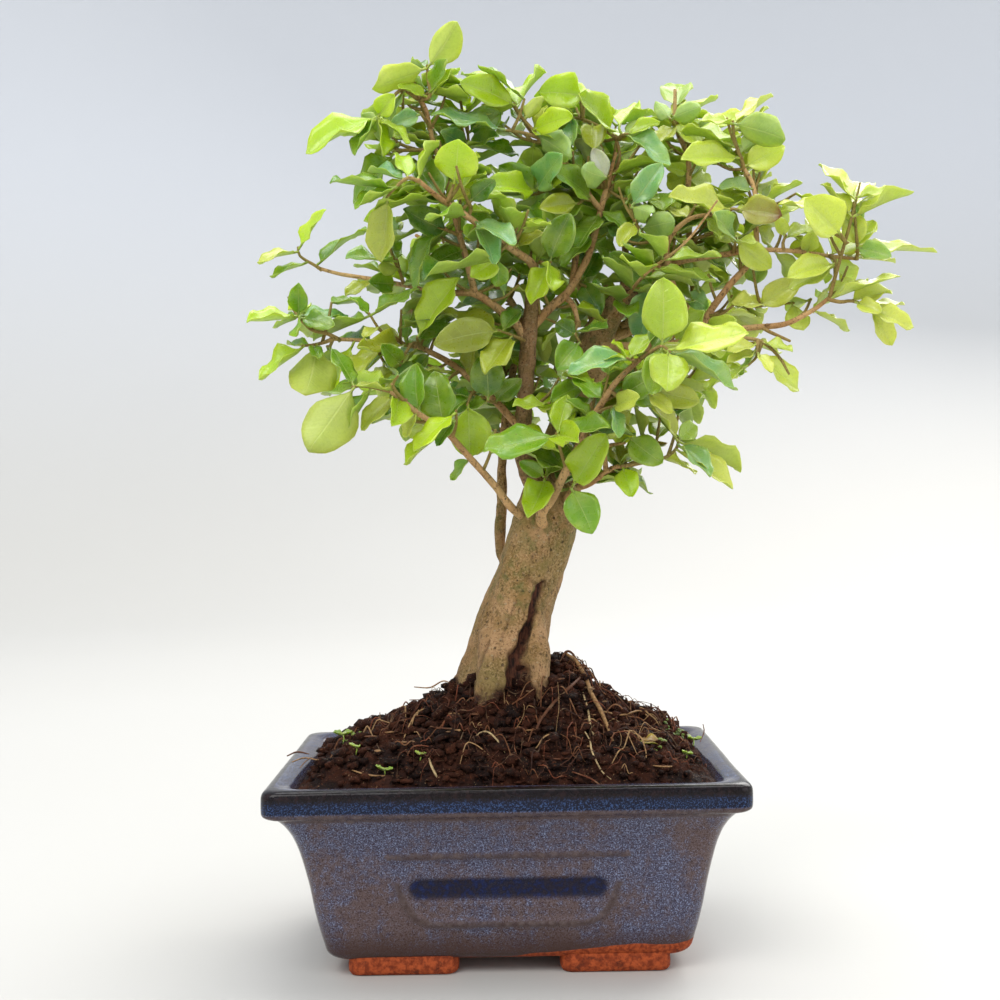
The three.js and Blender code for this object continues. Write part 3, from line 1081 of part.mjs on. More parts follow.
// A leaf by rule at a place of wood: in crossed pairs, with its upper side to the light
function ruledLeaf(place, turn, facingAway, owner, random) {
  const first = Math.abs(place.along.z) > 0.8 ? new THREE.Vector3(1, 0, 0) : UP.clone();
  const e1 = first.addScaledVector(place.along, -first.dot(place.along)).normalize();
  const e2 = place.along.clone().cross(e1);
  const size = RULED.length + RULED.moreLength * random();
  const slim = RULED.slim + RULED.moreSlim * random();
  const waves = [2 * random() - 1, 2 * random() - 1];
  const lean = RULED.lean + RULED.moreLean * random();
  const start = turn + RULED.scatter * (random() - 0.5);
  for (let attempt = 0; attempt < RULED.tries; attempt += 1) {
    const angle = start + RULED.swing * attempt * (attempt % 2 === 0 ? 1 : -1);
    const length = size * (1 - RULED.shrink * attempt);
    const direction = place.along.clone().multiplyScalar(lean)
      .addScaledVector(e1, Math.cos(angle))
      .addScaledVector(e2, Math.sin(angle));
    direction.normalize();
    const upper = UP.clone().addScaledVector(place.along, 0.5)
      .addScaledVector(FACING, RULED.inward * facingAway);
    const steep = upper.clone().cross(direction).length() < RULED.steepest;
    if (steep || direction.y * facingAway < -RULED.inward) continue;
    const base = place.at.clone().addScaledVector(direction, place.radius * 0.4);
    const tip = base.clone().addScaledVector(direction, length);
    const leaf = leafFrame(base, tip, upper, length * slim);
    leaf.waves = waves;
    if (isClear(leaf, owner)) {
      keepClear(leaf, owner);
      return leaf;
    }
  }
  return null;
}

// All seen leaves come first, then leaves by rule fill every limb
const seenLeaves = LIMBS.map((limb, owner) => {
  const random = draws(100 + owner);
  const places = LIMB_LINES[owner].flatMap(({ points, radii }) => spaced(points, radii, 1));
  return (limb.leaves ?? []).map((row) => seenLeaf(row, places, owner, random)).filter(Boolean);
});
const ruledLeaves = LIMBS.map((limb, owner) => {
  const random = draws(500 + owner);
  const leaves = [];
  for (const { points, radii } of LIMB_LINES[owner]) {
    const places = spaced(points, radii, limb.spacing ?? 9);
    places.forEach((place, i) => {
      if (place.radius > (limb.thickest ?? 1.5)) return;
      for (const turn of [0, Math.PI]) {
        const leaf = ruledLeaf(place, turn + (i % 2) * (Math.PI / 2), limb.away ?? 1, owner, random);
        if (leaf && leaves.length < (limb.most ?? 12)) leaves.push(leaf);
      }
    });
  }
  return leaves;
});

// One leafy limb: its wood and all its leaves in one body, cut clear of what carries it
function limbSolid(owner, carriers) {
  const lines = LIMB_LINES[owner];
  const woods = woodTubes(lines, 0);
  const leaves = [...seenLeaves[owner], ...ruledLeaves[owner]];
  const all = union([...woods, ...leaves.map(leafSolid)]);
  return largest(all.subtract(carriers)).asOriginal().simplify(LEAST_FACET);
}

const tree = new THREE.Group();
const glaze = material(0x3a3644, 0.25);
const plastic = material(0x1c1c1e, 0.6);
const earth = material(0x35211a, 0.95);
const bark = material(0x7d6a48, 0.85);
const limbFinish = material(0x7fae3a, 0.45);
const clearFoot = [trunkBody(GAP), ...rootLegs(GAP)];
const trunkNames = TRUNK_BRANCHES.map((name) => BRANCHES[name]);
tree.add(piece('pot', pot(), glaze));
for (const signX of [-1, 1]) {
  tree.add(piece(`drain_screen_${signX < 0 ? 1 : 2}`, drainScreen(signX), plastic));
}
tree.add(piece('soil', soil(clearFoot), earth));
tree.add(piece('trunk', largest(union([trunkBody(0), ...rootLegs(0), ...woodTubes(trunkNames, 0)])), bark));

// Each limb is cut clear of the trunk and of the limbs before it
let carriers = union([...clearFoot, ...woodTubes(trunkNames, GAP)]);
LIMBS.forEach((limb, owner) => {
  tree.add(piece(limb.name, limbSolid(owner, carriers), limbFinish));
  carriers = union([carriers, ...woodTubes(LIMB_LINES[owner], GAP)]);
});

// The origin is on the ground under the middle of the whole object
tree.updateMatrixWorld(true);
const middle = new THREE.Box3().setFromObject(tree, true).getCenter(new THREE.Vector3());
tree.position.set(-middle.x, -middle.y, 0);

export default tree;
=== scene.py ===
"""Looks of a chinese privet bonsai in a glazed rectangular pot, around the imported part.

Shapes are worked out in millimetres round the pot's middle and placed in metres.
"""
import math

import bpy
import numpy as np
from mathutils import Matrix, Vector, noise
from mathutils.bvhtree import BVHTree
from mathutils.geometry import tessellate_polygon


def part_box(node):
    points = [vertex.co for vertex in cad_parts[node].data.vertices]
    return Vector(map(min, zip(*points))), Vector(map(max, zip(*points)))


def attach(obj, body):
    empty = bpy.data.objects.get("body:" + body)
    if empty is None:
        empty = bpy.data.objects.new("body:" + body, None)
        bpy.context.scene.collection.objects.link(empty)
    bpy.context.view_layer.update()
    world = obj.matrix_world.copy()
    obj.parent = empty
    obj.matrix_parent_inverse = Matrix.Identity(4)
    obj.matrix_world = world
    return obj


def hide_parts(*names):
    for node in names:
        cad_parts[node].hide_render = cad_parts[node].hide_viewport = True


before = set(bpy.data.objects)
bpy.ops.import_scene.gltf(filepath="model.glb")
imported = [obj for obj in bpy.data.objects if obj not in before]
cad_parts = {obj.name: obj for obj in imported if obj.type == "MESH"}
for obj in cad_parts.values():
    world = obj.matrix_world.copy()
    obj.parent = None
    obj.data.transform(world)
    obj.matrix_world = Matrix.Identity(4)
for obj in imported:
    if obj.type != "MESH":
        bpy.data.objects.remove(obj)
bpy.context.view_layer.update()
pot_low, pot_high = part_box("pot")
POT_MIDDLE = np.array([500 * (pot_low.x + pot_high.x), 500 * (pot_low.y + pot_high.y), 0.0])

# The view that picture positions are read in: eye, focal length in pixels, roll
EYE = np.array([-0.5, -467.0, 149.0])
FOCAL = 1368.0
CENTRE = 500.0
ROLL = math.radians(1)


def draws(seed):
    """Small repeatable random draws, the same on every run."""
    state = seed

    def draw():
        nonlocal state
        state = (state * 1664525 + 1013904223) % 4294967296
        return state / 4294967296

    return draw


def seen(px, py, depth):
    """The point that a picture position shows at a depth behind the pot's middle."""
    right, down = px - CENTRE, py - CENTRE
    across = right * math.cos(ROLL) - down * math.sin(ROLL)
    up = -right * math.sin(ROLL) - down * math.cos(ROLL)
    scale = (depth - EYE[1]) / FOCAL
    return np.array([EYE[0] + across * scale, depth, EYE[2] + up * scale])


def shown(points):
    """Picture positions of points."""
    points = np.asarray(points, float)
    scale = (points[:, 1] - EYE[1]) / FOCAL
    across = (points[:, 0] - EYE[0]) / scale
    up = (points[:, 2] - EYE[2]) / scale
    right = across * math.cos(ROLL) - up * math.sin(ROLL)
    down = -across * math.sin(ROLL) - up * math.cos(ROLL)
    return np.stack([CENTRE + right, CENTRE + down], axis=1)


def along(rows, place):
    """Values of a profile of (place, value) rows, straight between its rows."""
    return np.interp(place, [row[0] for row in rows], [row[1] for row in rows])


def step(value, low, high):
    """A smooth step of values from 0 at low to 1 at high."""
    share = np.clip((value - low) / (high - low), 0, 1)
    return share * share * (3 - 2 * share)


def unit(vectors):
    return vectors / np.maximum(np.linalg.norm(vectors, axis=-1, keepdims=True), 1e-12)


def curve(points, step):
    """A smooth line through rows of numbers, with places about a step apart."""
    rows = np.asarray(points, float)
    ends = np.vstack([2 * rows[0] - rows[1], rows, 2 * rows[-1] - rows[-2]])
    made = []
    for i in range(len(rows) - 1):
        a, b, c, d = ends[i:i + 4]
        count = max(1, math.ceil(np.linalg.norm(c[:3] - b[:3]) / step))
        for k in range(count):
            t = k / count
            made.append(0.5 * (2 * b + (c - a) * t + (2 * a - 5 * b + 4 * c - d) * t * t
                               + (3 * b - a - 3 * c + d) * t ** 3))
    made.append(rows[-1])
    return np.array(made)


def rough(points, size, seed=0.0, octaves=1):
    """Smooth noise from -1 to 1 at points, with features of about a size."""
    shift = Vector((seed * 7.13, seed * 3.71, seed * 5.29))
    values = np.zeros(len(points))
    weight, total = 1.0, 0.0
    for _ in range(octaves):
        values += weight * np.array([noise.noise(Vector(p) / size + shift) for p in points.tolist()])
        total += weight
        weight *= 0.5
        size *= 0.5
    return 2 * values / total


# The trunk from under the soil to its sawn top: x, y, z and radius
TRUNK = [
    (-4, 0, 58, 15), (-2.5, -0.5, 76, 16.6), (-0.6, 0, 87.5, 15.4), (1.5, 0, 98, 13.4),
    (3.4, 0, 108.5, 12.4), (7.5, 0.5, 121, 11.8), (11.4, 1, 133, 11.7), (14.6, 2, 144, 11.2),
    (19, 6, 159, 8.5), (24, 8, 173, 7.9), (30, 9, 187, 7.1), (35, 10, 206, 6.2), (45, 10, 221, 4.8),
]

# Root legs round the foot of the trunk
ROOT_LEGS = [
    [(0, -6, 104, 8), (-3, -12, 90, 6.5), (-6, -16, 80, 5), (-10, -22, 68, 3)],
    [(10, -5, 112, 6.5), (13, -10, 99, 6), (13.5, -13, 88, 5), (15, -18, 76, 3.6), (18, -24, 66, 2)],
    [(-6, 2, 92, 8), (-15, 2, 80, 6), (-27, 1, 71, 3.6), (-37, 0, 65, 2)],
    [(2, 8, 98, 8), (2, 15, 84, 6.5), (0, 26, 72, 3.6), (-3, 33, 65, 2)],
    [(10, 2, 100, 7), (19, 3, 87, 5.4), (30, 5, 77, 3.6), (42, 8, 68, 2)],
]

# Branches that the picture shows: picture x and y, depth, radius
SEEN_BRANCHES = {
    "leader": [
        (545, 500, -2, 5), (524, 450, -7, 3.6), (525, 400, -8, 2.9), (528, 350, -9, 2.9),
        (532, 300, -9, 2.4), (541, 258, -10, 1.9),
    ],
    "leaderStub": [(527, 462, -7, 2), (533, 443, -13, 1.8)],
    "rearStem": [
        (510, 572, 8, 2), (500, 545, 12, 1.8), (502, 500, 14, 1.7), (503, 450, 14, 1.6),
        (508, 400, 14, 1.5), (514, 365, 13, 1.3),
    ],
    "leftHigh": [
        (528, 352, -9, 2.2), (518, 326, -10, 2.1), (500, 310, -12, 2), (475, 294, -13, 1.9),
        (452, 293, -10, 1.6), (430, 290, -6, 1.4), (404, 285, 0, 1.3), (372, 279, 4, 1.2),
        (340, 274, 8, 1.1), (318, 268, 10, 1),
    ],
    "leftRiser": [
        (475, 294, -13, 1.7), (467, 261, -12, 1.6), (459, 233, -13, 1.5), (444, 172, -15, 1.4),
        (434, 145, -16, 1.3), (426, 110, -18, 1.2), (418, 98, -18, 1.1),
    ],
    "forward": [
        (536, 278, -10, 2), (531, 263, -12, 2), (515, 251, -17, 1.8), (500, 241, -21, 1.8),
        (480, 226, -26, 1.7), (460, 211, -31, 1.6), (445, 202, -35, 1.5), (433, 193, -38, 1.4),
        (418, 180, -42, 1.2),
    ],
    "leftMiddle": [
        (525, 432, -8, 2), (511, 418, -8, 1.9), (492, 398, -6, 1.8), (465, 374, -4, 1.7),
        (449, 362, -3, 1.6), (430, 352, -2, 1.5), (418, 347, -2, 1.4), (393, 343, -4, 1.3),
        (355, 340, -8, 1.1), (330, 339, -11, 1),
    ],
    "leftLow": [
        (532, 524, -4, 2.2), (511, 507, -11, 2), (495, 486, -15, 1.8), (470, 458, -20, 1.7),
        (444, 430, -26, 1.5), (419, 414, -30, 1.4), (401, 399, -33, 1.3), (388, 390, -34, 1.2),
    ],
    "rightFront": [
        (548, 535, -4, 2.8), (541, 516, -13, 2.6), (552, 498, -16, 2.4), (565, 473, -20, 2.2),
        (579, 445, -23, 2.1), (592, 420, -26, 2), (602, 403, -28, 1.9), (617, 381, -31, 1.7),
        (640, 359, -34, 1.4),
    ],
    "rightLow": [
        (566, 500, -4, 2), (575, 489, -14, 1.8), (591, 483, -17, 1.6), (612, 468, -20, 1.3),
        (621, 467, -21, 1.1),
    ],
    "rightLowStub": [(606, 472, -19, 1.3), (605, 455, -19, 1.1), (608, 446, -20, 1), (625, 443, -22, 0.8)],
    "rightHigh": [
        (620, 306, 9, 2.6), (640, 281, 8, 2.2), (658, 269, 6, 1.9), (681, 261, 2, 1.7),
        (728, 254, -6, 1.5), (756, 250, -9, 1.4), (793, 251, -9, 1.2), (829, 256, -8, 1.1),
        (858, 259, -8, 0.9),
    ],
    "rightMiddle": [
        (598, 347, 6, 2.8), (640, 347, -2, 2.4), (670, 345, -6, 2.2), (700, 335, -10, 1.9),
        (748, 328, -12, 1.7), (785, 324, -13, 1.5), (813, 310, -14, 1.3), (829, 298, -15, 1.2),
    ],
    "rightSpike": [(829, 299, -15, 0.9), (841, 256, -17, 0.8), (852, 217, -18, 0.7), (860, 183, -19, 0.5)],
    "rightRiser": [
        (697, 337, -9, 1.8), (706, 318, -8, 1.8), (728, 287, -6, 1.7), (754, 256, -5, 1.7),
        (756, 226, -4, 1.4), (754, 189, -3, 1.3), (744, 168, -2, 1.1),
    ],
    "rightTwig": [(762, 327, -12, 1), (770, 332, -15, 0.9), (790, 341, -19, 0.8)],
    "rightDroop": [
        (708, 334, -11, 1.1), (742, 338, -17, 1), (762, 342, -19, 0.9), (779, 357, -21, 0.8),
        (789, 374, -23, 0.6),
    ],
    "rightInner": [
        (668, 345, -6, 1.8), (677, 300, -6, 1.7), (672, 282, -5, 1.6), (667, 245, -6, 1.5),
        (686, 221, -8, 1.3), (711, 214, -10, 1.1), (728, 211, -11, 0.9),
    ],
    "rightInnerFork": [(667, 247, -6, 1.2), (655, 240, -7, 1), (641, 233, -8, 0.8)],
    "rearRiser": [
        (604, 340, 10, 2.6), (640, 328, 15, 2.4), (675, 318, 18, 2.2), (688, 300, 19, 2),
        (690, 260, 20, 1.9), (688, 200, 20, 1.8), (688, 158, 20, 1.7), (676, 127, 20, 1.4),
        (675, 90, 20, 1.1),
    ],
    "rearRiserTwig": [(689, 245, 20, 1.2), (698, 238, 17, 1.1), (728, 228, 13, 0.9)],
    "middleHigh": [
        (530, 330, -9, 2.3), (550, 308, -6, 2.2), (567, 293, -4, 2.1), (579, 274, -2, 2),
        (590, 251, -1, 2), (602, 205, 0, 1.8), (610, 175, -1, 1.3), (616, 153, -2, 1),
    ],
    "middleStub": [(571, 290, -3, 1.7), (579, 240, 3, 1.5)],
    "middleDown": [(564, 296, -4, 1.5), (573, 305, -6, 1.5), (579, 326, -6, 1.3)],
    "middleTop": [
        (602, 212, 0, 1.4), (585, 190, -4, 1.3), (563, 163, -8, 1.3), (545, 143, -10, 1.1),
        (533, 135, -11, 0.9),
    ],
    "middleFork": [(606, 192, 0, 1.1), (619, 160, 1, 1), (616, 136, 1, 0.9)],
}

# Branches that are guessed, seven behind and one in front: x, y, z and radius
GUESSED_BRANCHES = {
    "rearLeftLow": [(18, 8, 158, 3), (6, 24, 170, 2.2), (-14, 42, 182, 1.7), (-34, 54, 192, 1.2)],
    "rearMiddleLow": [(24, 10, 172, 3), (22, 28, 186, 2.2), (14, 48, 198, 1.7), (6, 64, 208, 1.2)],
    "rearRightLow": [(27, 10, 178, 3), (46, 26, 184, 2.2), (64, 42, 190, 1.7), (82, 54, 198, 1.2)],
    "rearRightHigh": [(35, 11, 204, 2.6), (52, 30, 216, 2), (66, 48, 228, 1.6), (78, 60, 240, 1.1)],
    "rearMiddleHigh": [(35, 11, 206, 2.4), (30, 30, 226, 2), (22, 46, 244, 1.6), (12, 58, 262, 1.1)],
    "rearLeftHigh": [(9.5, -8, 205, 2.2), (2, 12, 222, 1.9), (-12, 30, 236, 1.5), (-30, 42, 248, 1.1)],
    "rearTop": [(44, 11, 220, 2.2), (46, 26, 244, 1.8), (42, 36, 266, 1.4), (34, 44, 282, 1)],
    "frontRight": [(40, 4, 212, 2), (48, -14, 222, 1.7), (60, -32, 230, 1.3), (68, -46, 240, 1)],
}

# Limbs: twigs as x, y, depth; leaves as base x, y, tip x, y, width, deeper, tone, and -1 for an underside
LIMBS = [
    {"name": "limb_left_high", "branches": ["leftHigh", "leftRiser"], "most": 7,
     "twigs": [
        [(322, 270, 10), (316, 266, 9), (300, 256, 8), (298, 247, 8)],
        [(404, 285, 0), (400, 272, -3), (397, 259, -5)],
        [(459, 235, -13), (446, 230, -17), (434, 228, -19)],
        [(419, 101, -18), (430, 96, -20), (428, 80, -21), (427, 65, -22)],
        [(418, 99, -18), (402, 90, -21), (388, 103, -25), (376, 119, -28)],
        [(431, 128, -17), (424, 118, -22), (420, 112, -24)],
        [(447, 180, -15), (460, 160, -10), (468, 148, -8), (468, 133, -6), (467, 110, -5)],
        [(435, 150, -16), (418, 150, -20), (404, 150, -23), (393, 152, -25)],
     ],
     "leaves": [
        (298, 248, 321, 207, 14, -6, 0), (297, 253, 257, 256, 9, -8, 4), (318, 263, 360, 220, 11, 8, 1),
        (310, 262, 269, 270, 6, -7, 1), (396, 283, 372, 281, 21, -10, 2),
        (400, 268, 376, 268, 15, -6, 4, -1), (397, 260, 348, 251, 12, -10, 1),
        (396, 259, 390, 232, 14, 6, 1), (402, 290, 440, 272, 12, -8, 1), (372, 279, 345, 292, 14, -8, 5),
        (432, 228, 408, 283, 17, -8, 1), (450, 227, 407, 209, 28, -12, 2),
        (430, 62, 459, 22, 32, -6, 4, -1), (425, 62, 370, 85, 20, -8, 4, -1),
        (431, 92, 441, 59, 15, -8, 2), (428, 92, 412, 76, 12, 8, 3), (426, 68, 413, 60, 8, 8, 2),
        (427, 97, 400, 83, 12, -6, 0), (376, 119, 392, 95, 22, 8, 0), (375, 120, 304, 144, 30, -8, 0),
        (403, 92, 385, 120, 16, -12, 2), (380, 120, 350, 150, 14, -10, 1), (381, 121, 412, 137, 10, -6, 0),
        (382, 122, 389, 153, 9, -6, 0), (420, 112, 392, 122, 18, -8, 3), (470, 149, 443, 132, 22, -10, 3),
        (468, 133, 500, 112, 30, -4, 2), (470, 149, 495, 133, 18, -12, 2), (470, 145, 520, 150, 18, 6, 2),
        (467, 112, 455, 124, 18, -8, 4, -1), (467, 110, 425, 97, 10, -6, 0),
        (393, 152, 350, 196, 26, -8, 2), (455, 222, 420, 250, 16, -12, 1), (463, 250, 430, 262, 20, -10, 2),
     ]},
    {"name": "limb_forward", "branches": ["forward"], "most": 5,
     "twigs": [
        [(420, 182, -42), (408, 178, -43), (395, 188, -44), (386, 199, -44)],
        [(447, 203, -35), (451, 192, -36), (455, 181, -37)],
        [(468, 217, -28), (471, 208, -31), (468, 200, -33)],
        [(503, 243, -20), (500, 252, -24), (497, 261, -26)],
        [(515, 251, -17), (514, 243, -20), (516, 234, -21)],
     ],
     "leaves": [
        (386, 200, 377, 262, 30, 4, 4), (398, 188, 353, 203, 12, -8, 1), (403, 178, 369, 164, 12, 6, 3),
        (409, 178, 400, 148, 18, 8, 0), (419, 178, 428, 137, 10, 4, 0), (456, 179, 458, 141, 44, -8, 0),
        (468, 199, 493, 180, 20, -6, 2), (470, 214, 422, 207, 11, -10, 1), (472, 211, 493, 208, 11, 6, 0),
        (474, 218, 515, 237, 20, -12, 3), (476, 223, 498, 259, 12, -8, 3), (497, 262, 472, 275, 26, -6, 0),
        (497, 262, 499, 288, 20, -8, 1), (497, 258, 422, 268, 24, -10, 2, -1),
        (514, 247, 541, 230, 12, -4, 5), (517, 235, 545, 228, 9, 6, 0), (500, 243, 476, 205, 14, -8, 2),
     ]},
    {"name": "limb_left_middle", "branches": ["leftMiddle"], "most": 6,
     "twigs": [
        [(340, 340, -10), (328, 334, -13), (312, 330, -15), (303, 322, -14), (297, 314, -13)],
        [(333, 339, -11), (322, 343, -9), (312, 345, -10), (302, 346, -12)],
        [(400, 343, -4), (392, 338, -8), (380, 330, -10), (369, 313, -11)],
        [(424, 349, -2), (414, 343, -8), (405, 354, -13), (400, 366, -15)],
        [(460, 371, -3), (452, 376, -10), (446, 383, -14)],
        [(480, 388, -5), (472, 394, -14), (467, 405, -20)],
        [(497, 403, -7), (492, 402, -13), (487, 401, -17)],
        [(420, 347, -2), (418, 342, -10), (417, 337, -16)],
     ],
     "leaves": [
        (296, 312, 298, 285, 20, -8, 1), (297, 314, 247, 316, 11, -10, 0), (298, 316, 271, 323, 7, 8, 1),
        (299, 318, 292, 332, 9, -12, 1), (298, 312, 348, 309, 15, 8, 3), (300, 317, 332, 322, 18, -12, 2),
        (301, 347, 256, 373, 15, -6, 0), (318, 347, 306, 400, 48, -10, 4, -1),
        (312, 342, 319, 356, 11, -8, 1), (310, 343, 288, 340, 9, 8, 1), (369, 313, 415, 284, 11, -8, 1),
        (370, 313, 311, 333, 14, -8, 1), (370, 314, 352, 294, 8, 6, 1), (380, 328, 363, 333, 9, -8, 4),
        (405, 342, 378, 325, 12, -6, 5), (408, 345, 364, 338, 9, -10, 5), (384, 344, 352, 371, 20, -10, 5),
        (402, 368, 385, 347, 20, -6, 2), (446, 383, 397, 379, 24, -10, 2), (458, 374, 420, 366, 12, -6, 4),
        (466, 405, 471, 458, 42, -6, 0), (470, 398, 446, 384, 12, 8, 2), (470, 377, 470, 345, 16, -8, 5),
        (487, 400, 484, 354, 35, -4, 2), (489, 402, 452, 410, 18, 6, 1), (417, 338, 453, 276, 30, -4, 0),
        (419, 342, 444, 308, 30, 8, 2), (495, 402, 520, 380, 20, 8, 2), (430, 352, 410, 376, 16, 6, 2),
        (505, 412, 540, 394, 22, 10, 2),
     ]},
    {"name": "limb_left_low", "branches": ["leftLow"], "most": 6,
     "twigs": [
        [(390, 391, -34), (372, 387, -36), (360, 386, -38), (352, 387, -38)],
        [(403, 400, -33), (396, 392, -38), (393, 384, -41), (398, 376, -43)],
        [(452, 438, -24), (456, 424, -30), (456, 410, -33)],
     ],
     "leaves": [
        (351, 387, 309, 455, 52, -8, 4, -1), (354, 386, 335, 345, 16, 6, 1),
        (398, 376, 380, 379, 10, 6, 2), (396, 389, 357, 380, 9, -6, 4), (394, 394, 359, 427, 20, -8, 4),
        (398, 397, 396, 421, 20, -10, 0), (415, 412, 403, 434, 12, -6, 4), (456, 409, 411, 445, 18, -8, 0),
        (454, 420, 436, 443, 15, -4, 2), (470, 458, 448, 478, 12, 8, 1),
     ]},
    {"name": "limb_right_front", "branches": ["rightFront"], "most": 5,
     "twigs": [
        [(567, 470, -20), (561, 452, -25), (556, 433, -28)],
        [(640, 359, -34), (650, 352, -38), (662, 346, -41), (670, 352, -43)],
        [(638, 361, -33), (632, 360, -37), (627, 358, -39)],
        [(611, 391, -29), (618, 396, -33), (630, 397, -34), (645, 394, -35), (657, 390, -36)],
        [(597, 413, -27), (608, 408, -31), (616, 406, -33)],
     ],
     "leaves": [
        (554, 431, 568, 393, 26, 4, 0), (553, 432, 485, 445, 30, -10, 1), (559, 433, 607, 422, 18, -8, 1),
        (556, 434, 573, 437, 12, -14, 0), (560, 430, 590, 390, 22, 8, 2), (662, 345, 664, 279, 46, -6, 0),
        (672, 352, 746, 327, 30, -8, 0), (670, 354, 668, 388, 40, -8, 0), (676, 355, 742, 381, 18, -4, 3),
        (627, 358, 569, 367, 22, -6, 3), (629, 356, 655, 328, 16, 6, 0), (629, 354, 617, 338, 12, 4, 0),
        (620, 396, 655, 376, 28, -4, 2), (624, 397, 662, 396, 24, -8, 1), (648, 395, 672, 410, 16, -6, 4),
        (657, 389, 700, 401, 26, -6, 5), (612, 407, 606, 427, 15, -6, 2), (616, 407, 622, 434, 14, -9, 3),
        (617, 406, 634, 427, 14, 6, 5), (617, 404, 634, 396, 14, 4, 4), (592, 420, 570, 396, 16, 8, 2),
        (604, 400, 575, 372, 20, 8, 1),
     ]},
    {"name": "limb_right_low", "branches": ["rightLow", "rightLowStub"], "most": 2,
     "twigs": [
        [(577, 489, -14), (573, 487, -20), (570, 487, -24)],
        [(620, 467, -21), (636, 464, -22), (652, 461, -23), (668, 456, -24), (677, 447, -25),
         (678, 438, -25)],
     ],
     "leaves": [
        (572, 486, 600, 437, 30, -6, 0), (568, 488, 592, 532, 36, -6, 1), (622, 469, 632, 493, 24, -8, 0),
        (623, 466, 617, 442, 20, 4, 5), (628, 436, 661, 461, 30, -6, 1), (675, 450, 736, 482, 20, -6, 4),
        (678, 444, 712, 471, 18, -12, 3), (679, 439, 742, 463, 18, 6, 0), (678, 438, 698, 423, 20, 6, 1),
        (675, 438, 657, 405, 14, -6, 5), (664, 458, 700, 466, 12, 8, 4),
     ]},
    {"name": "limb_middle_high", "branches": ["middleHigh", "middleStub", "middleDown", "middleFork"],
     "most": 4,
     "twigs": [
        [(617, 140, 1), (622, 135, -2), (628, 134, -4)],
        [(617, 138, 1), (600, 127, 0), (582, 119, -2), (568, 118, -3)],
        [(582, 119, -2), (584, 106, -3), (586, 93, -4)],
        [(606, 188, 0), (606, 182, -7), (609, 176, -11)],
        [(579, 322, -6), (575, 332, -12), (581, 344, -16)],
        [(571, 288, -4), (578, 283, 4), (584, 280, 8)],
     ],
     "leaves": [
        (586, 93, 541, 90, 36, -6, 0), (568, 118, 570, 143, 14, -6, 3), (592, 123, 594, 146, 26, -6, 5),
        (628, 135, 671, 158, 22, -10, 3), (624, 134, 647, 122, 18, 4, 3, -1),
        (628, 133, 658, 118, 12, 6, 0), (617, 128, 588, 92, 26, -8, 0), (618, 127, 637, 99, 16, 8, 0),
        (614, 128, 584, 110, 14, 6, 3, -1), (608, 179, 578, 170, 26, -8, 3, -1),
        (606, 182, 580, 140, 16, 6, 3, -1), (609, 175, 622, 139, 24, 8, 3),
        (606, 180, 594, 148, 18, 10, 1), (608, 182, 638, 173, 15, 6, 0), (581, 344, 558, 368, 28, -6, 1),
        (577, 336, 556, 322, 20, 6, 2), (582, 281, 600, 312, 26, -6, 2), (584, 280, 600, 250, 22, 6, 2),
        (602, 212, 628, 226, 16, -8, 1), (592, 245, 620, 250, 22, 10, 2), (600, 214, 574, 240, 22, -10, 2),
        (595, 235, 560, 262, 20, 8, 1),
     ]},
    {"name": "limb_right_middle", "branches": ["rightMiddle", "rightSpike", "rightTwig", "rightDroop"],
     "most": 6,
     "twigs": [
        [(758, 341, -19), (757, 348, -21), (757, 355, -22)],
        [(827, 299, -15), (840, 302, -16), (852, 301, -17), (866, 306, -18), (873, 311, -19)],
        [(846, 243, -17), (843, 238, -21), (841, 234, -23)],
     ],
     "leaves": [
        (757, 345, 729, 347, 11, -6, 5), (762, 343, 793, 348, 10, -6, 1), (756, 351, 727, 359, 11, -8, 4),
        (757, 356, 773, 369, 12, -6, 4), (758, 353, 804, 387, 24, -9, 0), (850, 299, 893, 285, 20, 6, 4),
        (854, 302, 880, 309, 16, -8, 4), (873, 311, 914, 323, 20, -6, 4), (872, 312, 895, 344, 24, -8, 4),
        (868, 307, 902, 297, 14, 6, 5), (842, 233, 808, 199, 42, -6, 0), (857, 198, 888, 188, 11, -4, 1),
        (700, 335, 722, 352, 16, -10, 1), (672, 344, 700, 312, 20, -4, 1), (706, 334, 732, 318, 14, -8, 1),
     ]},
    {"name": "limb_right_inner", "branches": ["rightInner", "rightInnerFork"], "most": 3,
     "twigs": [
        [(642, 234, -8), (634, 220, -12), (630, 205, -14)],
        [(726, 211, -11), (733, 209, -13), (739, 210, -14)],
     ],
     "leaves": [
        (631, 204, 661, 162, 26, -4, 3), (632, 207, 654, 216, 20, -10, 3, -1),
        (641, 229, 678, 222, 28, -10, 3, -1), (634, 222, 620, 242, 18, -8, 5),
        (739, 211, 781, 214, 30, -6, 5), (729, 208, 672, 191, 26, -8, 5), (705, 216, 722, 236, 14, -8, 1),
        (690, 219, 664, 204, 16, 8, 4), (667, 248, 640, 256, 20, 8, 1), (672, 236, 700, 250, 14, 8, 1),
     ]},
    {"name": "limb_right_high", "branches": ["rightHigh"], "most": 6,
     "twigs": [
        [(645, 278, 8), (652, 284, 4), (656, 289, 1)],
        [(733, 253, -7), (735, 245, -10), (736, 238, -12)],
        [(829, 256, -8), (835, 260, -11), (835, 268, -13)],
        [(856, 259, -8), (858, 252, -11), (857, 245, -13)],
        [(784, 251, -9), (783, 243, -11), (786, 235, -12)],
     ],
     "leaves": [
        (654, 289, 611, 256, 30, -8, 2), (656, 286, 640, 249, 20, 8, 1), (736, 238, 722, 213, 18, -6, 3),
        (734, 243, 714, 231, 14, -8, 1), (736, 241, 755, 240, 9, -6, 1), (737, 240, 772, 268, 26, 10, 0),
